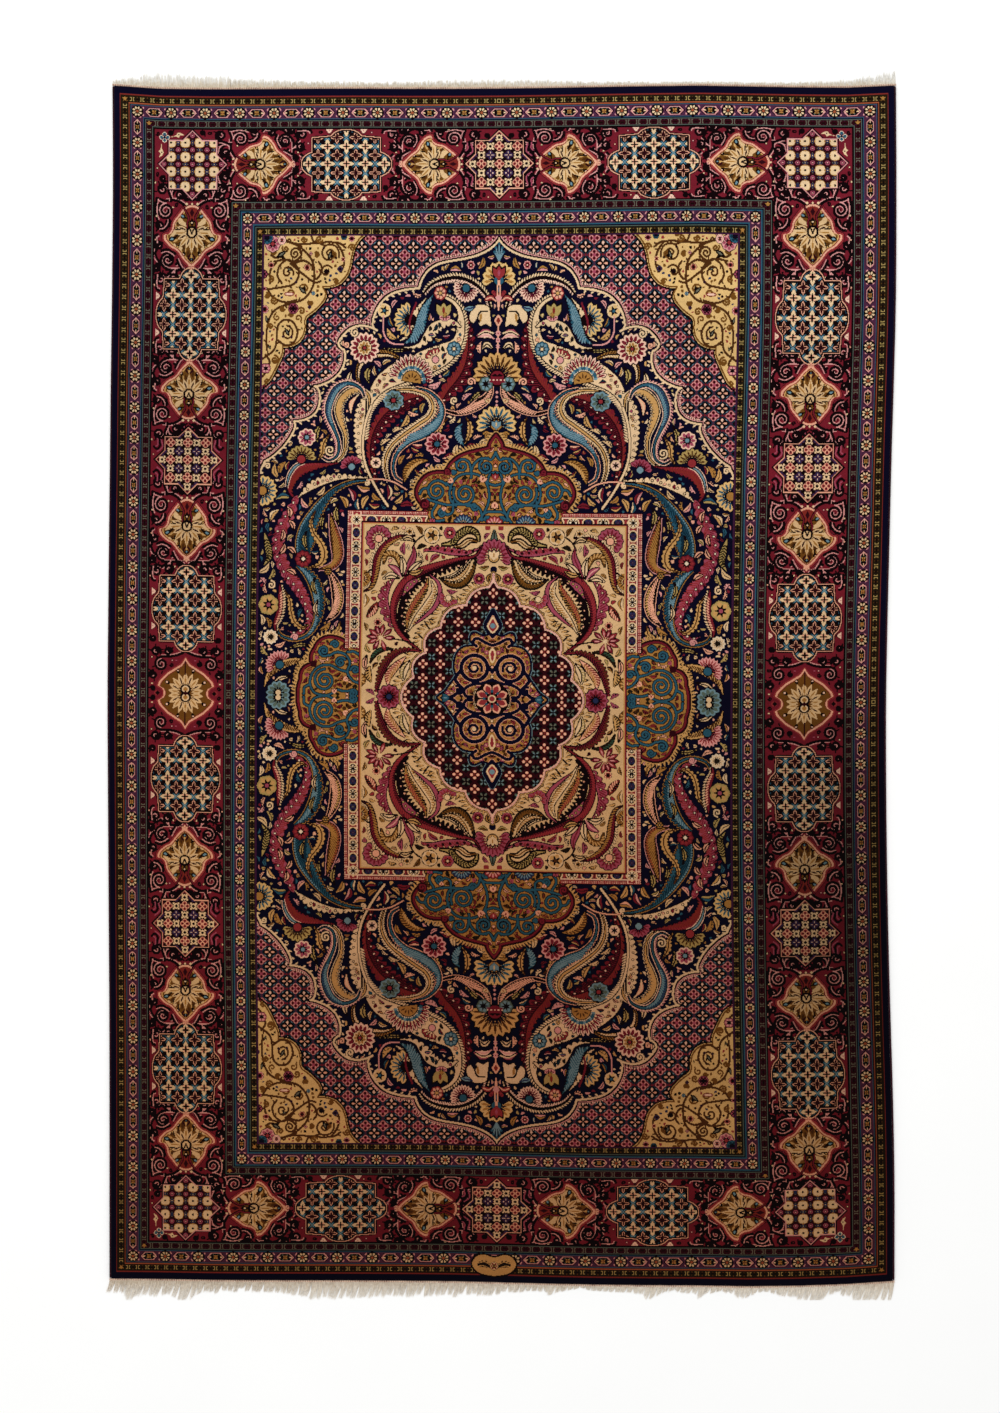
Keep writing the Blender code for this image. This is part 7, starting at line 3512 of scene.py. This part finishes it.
@dataclass(frozen=True)
class WovenCotton:
    """Undyed cotton, plain woven: pale cream with a pink cast, fine crossed threads."""

    light: str = "#D9B9A2"
    dark: str = "#7E5A50"

    def material(self) -> bpy.types.Material:
        """Make the material.

        Returns:
            The material.
        """
        material, tree, shader = new_material("plain_woven_cotton")
        where = add(tree, "TexCoord").outputs["Object"]
        wave = {"Vector": where, "Scale": 1 / (20 * 1.1 * MM), "Distortion": 1.0}
        threads = add(tree, "TexWave", wave, bands_direction="X").outputs[0]
        soil = add(tree, "TexNoise", {"Vector": where, "Scale": 30.0, "Detail": 4.0}).outputs[0]
        mix = maths(tree, "MULTIPLY_ADD", threads, 0.35, maths(tree, "MULTIPLY", soil, 0.9))
        tree.links.new(ramp(tree, mix, ((0.25, self.dark), (0.8, self.light))), shader.inputs["Base Color"])
        shader.inputs["Roughness"].default_value = 0.9
        shader.inputs["Specular IOR Level"].default_value = 0.15
        bump = add(tree, "Bump", {"Height": threads, "Distance": 0.3 * MM, "Strength": 0.6})
        tree.links.new(bump.outputs[0], shader.inputs["Normal"])
        return material


@dataclass
class EndStrip:
    """Narrow plain-woven strip at one end, sewn over with a row of slanting stitches.

    Attributes:
        upper: whether it is the upper one.
        depth: its depth, in mm.
        height: its height.
        pitch: distance from stitch to stitch.
        inset: distance from the pile to the strip.
        stations: places along the rug's end at which the strip is measured.
    """

    upper: bool
    depth: float = 6.0
    height: float = 4.0
    pitch: float = 5.0
    inset: float = 0.3
    stations: int = 481
    finish: WovenCotton = field(default_factory=WovenCotton)

    def build(self) -> bpy.types.Object:
        """Make the strip with its stitches.

        Returns:
            The piece.
        """
        outward = 1.0 if self.upper else -1.0
        profile = np.array([(0.0, 0.0), (1.0, 0.0), (1.0, 0.62), (0.8, 0.8), (0.4, 0.84), (0.0, 0.8)])
        count, sides = self.stations, len(profile)
        share = np.linspace(0, 1, count)
        x, y = OUTLINE.point(share, np.full(count, 1.0 if self.upper else 0.0))
        bumps = 1 + 0.06 * np.sin(np.arange(count) * 2.1)
        strip = np.stack(
            [
                np.repeat(x[:, None], sides, 1),
                y[:, None] + outward * (self.inset + profile[None, :, 0] * self.depth) * MM,
                profile[None, :, 1] * self.height * MM * bumps[:, None],
            ],
            -1,
        ).reshape(-1, 3)
        faces = tube_faces(1, count, sides)
        last = (count - 1) * sides
        caps = np.array([[0, 5, 4, 1], [1, 4, 3, 2]])
        faces = np.vstack([faces, caps[:, ::-1], caps + last])
        verts, more = self.stitches(outward)
        verts, faces = np.vstack([strip, verts]), np.vstack([faces, more + len(strip)])
        if self.upper:
            faces = faces[:, ::-1]
        item = new_mesh(f"end_strip_{'upper' if self.upper else 'lower'}_woven", verts, faces)
        item.data.materials.append(self.finish.material())
        return item

    def stitches(self, outward: float) -> tuple[np.ndarray, np.ndarray]:
        """Corners and faces of the row of slanting stitches.

        Args:
            outward: 1 at the upper end, -1 at the lower one.

        Returns:
            The corners, and the faces.
        """
        number = int(2 * HALF_WIDTH / self.pitch) - 1
        share = (np.arange(number) + 1) / (number + 1)
        x, y = OUTLINE.point(share, np.full(number, 1.0 if self.upper else 0.0))
        girth = np.array([0.35, 0.85, 1.0, 0.85, 0.35]) * 1.1 * MM
        rings, sides = len(girth), 6
        steps = np.linspace(-1, 1, rings)
        turn = np.linspace(0, 2 * math.pi, sides, endpoint=False)
        cx = x[:, None] + steps[None] * 1.3 * MM
        cy = y[:, None] + outward * (3.3 + steps[None] * 2.3) * MM
        cz = np.full_like(cx, self.height * 0.8 * MM) - (steps[None] ** 2) * 0.6 * MM
        verts = np.stack(
            [
                cx[:, :, None] + np.cos(turn)[None, None] * girth[None, :, None],
                np.repeat(cy[:, :, None], sides, 2),
                cz[:, :, None] + np.sin(turn)[None, None] * girth[None, :, None],
            ],
            -1,
        )
        return verts.reshape(-1, 3), tube_faces(number, rings, sides)


@dataclass(frozen=True)
class CottonWarp:
    """Undyed cotton warp ends: soft matt off-white, a little yellowed and dusty towards the rug.

    Attributes:
        tip: colour at the tips.
        root: colour at the rug.
        from_edge: distance of the roots from the rug's middle, in mm.
        reach: length over which the colour changes, in mm.
    """

    tip: str
    root: str
    from_edge: float
    reach: float

    def material(self, name: str) -> bpy.types.Material:
        """Make the material, whose tone runs from the root outwards.

        Args:
            name: name of the material.

        Returns:
            The material.
        """
        material, tree, shader = new_material(name)
        where = add(tree, "TexCoord").outputs["Object"]
        outward = maths(tree, "ABSOLUTE", add(tree, "SeparateXYZ", {0: where}).outputs[1])
        root, tip = self.from_edge * MM, (self.from_edge + self.reach) * MM
        share = add(tree, "MapRange", {"Value": outward, "From Min": root, "From Max": tip}).outputs[0]
        strands = add(tree, "TexNoise", {"Vector": where, "Scale": 110.0, "Detail": 3.0}).outputs[0]
        mix = maths(tree, "MULTIPLY_ADD", strands, 0.9, maths(tree, "MULTIPLY_ADD", share, 0.7, -0.35))
        tree.links.new(ramp(tree, mix, ((0.1, self.root), (0.75, self.tip))), shader.inputs["Base Color"])
        shader.inputs["Roughness"].default_value = 0.85
        shader.inputs["Specular IOR Level"].default_value = 0.2
        return material


@dataclass
class Fringe:
    """The warp ends at one end: one comb of strands along the strip.

    Attributes:
        upper: whether it is the upper one.
        strands: how many there are.
        bunch: how many go together towards their tips.
        gather: how much a bunch draws together, from 0 to 1.
        stray: how far tips stray sideways, in mm.
        girth: radius of a strand at its root, in mm.
        uneven: how much the length of bunches differs, as a share of it.
        finish: the cotton.
        seed: seed of the random draws.
        lean: how far the tips lie to the right of the roots, in mm.
        clumps: where ends are longer or shorter: share along the end, half width as such a share,
            and how much.
        sides: flat sides of a strand.
        rings: rings of vertices along a strand.
        inset: distance of the roots from the pile, in mm.
        usual: length for which stray and lean are given, in metres.
        farthest: how far from the rug's middle a tip may lie, in metres.
    """

    upper: bool
    strands: int
    bunch: int
    gather: float
    stray: float
    girth: float
    uneven: float
    finish: CottonWarp
    seed: int
    lean: float = 0.0
    clumps: tuple[tuple[float, float, float], ...] = ()
    sides: int = 3
    rings: int = 7
    inset: float = 3.4
    usual: float = 0.04
    farthest: float = 1.880

    def build(self) -> bpy.types.Object:
        """Make the fringe.

        Returns:
            The piece.
        """
        rng = np.random.default_rng(self.seed)
        end = "upper" if self.upper else "lower"
        outward = 1.0 if self.upper else -1.0
        count = self.strands
        share = np.clip((np.arange(count) + 0.5 + rng.uniform(-0.4, 0.4, count)) / count, 0.0008, 0.9992)
        x, y = OUTLINE.point(share, np.full(count, 1.0 if self.upper else 0.0))
        reach = OUTLINE.end(4 if self.upper else 3, share) * MM
        group = np.arange(count) // self.bunch
        groups = group.max() + 1
        group_long = rng.normal(1.0, self.uneven, groups)[group]
        for place, wide, more in self.clumps:
            reach *= 1.0 + more * np.exp(-(((share - place) / wide) ** 2))
        long = reach * np.clip(group_long * rng.normal(0.96, self.uneven * 0.8, count), 0.45, 1.22)
        long = np.minimum(long, self.farthest - np.abs(y))
        group_middle = np.array([x[group == g].mean() for g in range(groups)])[group]
        drift = (rng.normal(0, self.stray, groups)[group] + self.lean) * MM * (long / self.usual)
        sway = rng.normal(0, self.stray * 0.5, count) * MM * (long / self.usual)
        start = self.inset * MM
        t = np.linspace(0, 1, self.rings)
        bend = t[None] ** 1.6
        path_x = x[:, None] + bend * ((group_middle - x) * self.gather + drift + sway)[:, None]
        ripple = t[None] * rng.uniform(3, 8, count)[:, None] + rng.uniform(0, 6, count)[:, None]
        path_x += np.sin(ripple) * 0.5 * MM * t[None]
        path_y = y[:, None] + outward * (start + (long - start)[:, None] * t[None])
        lift = rng.uniform(0.9, 2.6, count) * MM
        path_z = lift[:, None] * (1 - 0.45 * t[None]) + 0.3 * MM
        girth = self.girth * MM * rng.uniform(0.75, 1.15, count)[:, None] * (1 - 0.72 * t[None] ** 1.7)
        corners = np.linspace(0, 2 * math.pi, self.sides, endpoint=False)
        turn = corners[None, None] + rng.uniform(0, 6, count)[:, None, None]
        verts = np.stack(
            [
                path_x[:, :, None] + np.cos(turn) * girth[:, :, None],
                np.repeat(path_y[:, :, None], self.sides, 2),
                np.maximum(path_z[:, :, None] + np.sin(turn) * girth[:, :, None], 0.05 * MM),
            ],
            -1,
        ).reshape(-1, 3)
        faces = tube_faces(count, self.rings, self.sides)
        item = new_mesh(f"fringe_{end}_strands", verts, faces)
        item.data.materials.append(self.finish.material(f"cotton_warp_ends_{end}"))
        return item


# ---------------------------------------------------------------------------------------------
# Floor, light and camera
# ---------------------------------------------------------------------------------------------


@dataclass(frozen=True)
class PhotographTable:
    """Plain pale floor, soft studio light and a camera that looks straight down.

    Attributes:
        floor: the floor's two tones.
        floor_half: half the floor's width, in metres.
        sky: strength of the even light from all round.
        lamp: power of the large soft lamp, in watts.
        lamp_size: its width, in metres.
        lamp_place: its place.
        sensor: width of the camera's sensor, in mm.
        lens: focal length, in mm.
        rows: rows of the photograph's picture.
        row: length of floor that a row stands for, in mm.
        aim: point of the floor at the middle of the picture.
    """

    floor: tuple[str, str] = ("#FCFCFB", "#FDFDFC")
    floor_half: float = 9.0
    sky: float = 0.82
    lamp: float = 190.0
    lamp_size: float = 5.0
    lamp_place: tuple[float, float, float] = (-1.6, 2.6, 7.0)
    sensor: float = 36.0
    lens: float = 85.0
    rows: int = 1413
    row: float = 3.06
    aim: tuple[float, float] = (-0.006, -0.064)

    def build(self) -> None:
        """Make the floor, the lamps and the camera."""
        scene = bpy.context.scene
        scene.view_settings.view_transform = "Standard"
        self.build_floor()
        self.build_light(scene)
        self.build_camera(scene)

    def build_floor(self) -> None:
        """Make the floor, a hair below the rug's underside."""
        corners = np.array([(-1, -1, 0), (1, -1, 0), (1, 1, 0), (-1, 1, 0)]) * self.floor_half
        floor = new_mesh("studio_floor", corners - (0, 0, 0.0004), np.array([[0, 1, 2, 3]]))
        material, tree, shader = new_material("painted_studio_floor")
        where = add(tree, "TexCoord").outputs["Object"]
        grain = add(tree, "TexNoise", {"Vector": where, "Scale": 3.0, "Detail": 3.0}).outputs[0]
        tone = ramp(tree, grain, ((0.3, self.floor[0]), (0.7, self.floor[1])))
        tree.links.new(tone, shader.inputs["Base Color"])
        shader.inputs["Roughness"].default_value = 0.8
        shader.inputs["Specular IOR Level"].default_value = 0.1
        floor.data.materials.append(material)

    def build_light(self, scene: bpy.types.Scene) -> None:
        """Make the even surroundings and the lamp.

        Args:
            scene: the scene.
        """
        world = bpy.data.worlds.new("soft_white_surroundings")
        world.use_nodes = True
        background = world.node_tree.nodes["Background"].inputs
        background["Color"].default_value = (1.0, 1.0, 1.0, 1.0)
        background["Strength"].default_value = self.sky
        scene.world = world

        lamp = bpy.data.lights.new("large_softbox", "AREA")
        lamp.energy, lamp.shape = self.lamp, "RECTANGLE"
        lamp.size = lamp.size_y = self.lamp_size
        holder = bpy.data.objects.new("large_softbox", lamp)
        bpy.context.collection.objects.link(holder)
        holder.location = self.lamp_place
        towards_rug = -Vector(self.lamp_place)
        holder.rotation_euler = towards_rug.to_track_quat("-Z", "Y").to_euler()

    def build_camera(self, scene: bpy.types.Scene) -> None:
        """Make the camera, so far up that it sees as much floor as the photograph.

        Args:
            scene: the scene.
        """
        camera = bpy.data.cameras.new("camera_overhead")
        camera.lens, camera.sensor_width = self.lens, self.sensor
        viewer = bpy.data.objects.new("camera_overhead", camera)
        bpy.context.collection.objects.link(viewer)
        viewer.location = (*self.aim, self.rows * self.row * MM * self.lens / self.sensor)
        viewer.rotation_euler = (0.0, 0.0, 0.0)
        scene.camera = viewer


def main() -> None:
    """Build the rug and its surroundings, and report each piece."""
    logging.basicConfig(level=logging.INFO, format="%(name)s: %(message)s")
    PhotographTable().build()
    knots = draw_chart()
    LOG.info("chart: %d x %d knots", knots.shape[1], knots.shape[0])

    pile = RugPile().build(knots)
    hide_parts("rug_pile")
    pieces = []
    for left in (True, False):
        cord = SideCord(left).build()
        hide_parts(f"side_cord_{'left' if left else 'right'}")
        pieces.append(cord)
    for upper in (False, True):
        end = "upper" if upper else "lower"
        strip = EndStrip(upper).build()
        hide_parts(f"end_strip_{end}")
        if upper:
            warp = CottonWarp(tip="#F7F4EC", root="#DCCDB4", from_edge=1830.0, reach=30.0)
            fringe = Fringe(
                True, strands=2600, bunch=9, gather=0.35, stray=1.6, girth=0.95, uneven=0.10, finish=warp,
                seed=41,
            )  # fmt: skip
        else:
            warp = CottonWarp(tip="#F0E7D9", root="#CDBCA6", from_edge=1822.0, reach=40.0)
            clumps = (
                (0.10, 0.012, 0.5), (0.27, 0.02, 0.25), (0.565, 0.008, 0.5), (0.692, 0.008, 0.7),
                (0.756, 0.006, 0.6), (0.81, 0.010, 0.8), (0.90, 0.010, 0.7), (0.963, 0.010, 0.5),
                (0.996, 0.006, 0.5), (0.60, 0.010, -0.4), (0.72, 0.008, -0.4), (0.78, 0.008, -0.3),
                (0.84, 0.012, -0.3), (0.93, 0.010, -0.3), (0.03, 0.006, 0.4),
            )  # fmt: skip
            fringe = Fringe(
                False, strands=2900, bunch=22, gather=0.32, stray=2.2, girth=1.0, uneven=0.07, finish=warp,
                seed=17, lean=-9.0, clumps=clumps,
            )  # fmt: skip
        comb = fringe.build()
        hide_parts(f"fringe_{end}")
        pieces += [strip, comb]
    for piece in (pile, *pieces):
        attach(piece, "root")
        LOG.info("%s: %d faces", piece.name, len(piece.data.polygons))


if __name__ == "__main__":
    main()
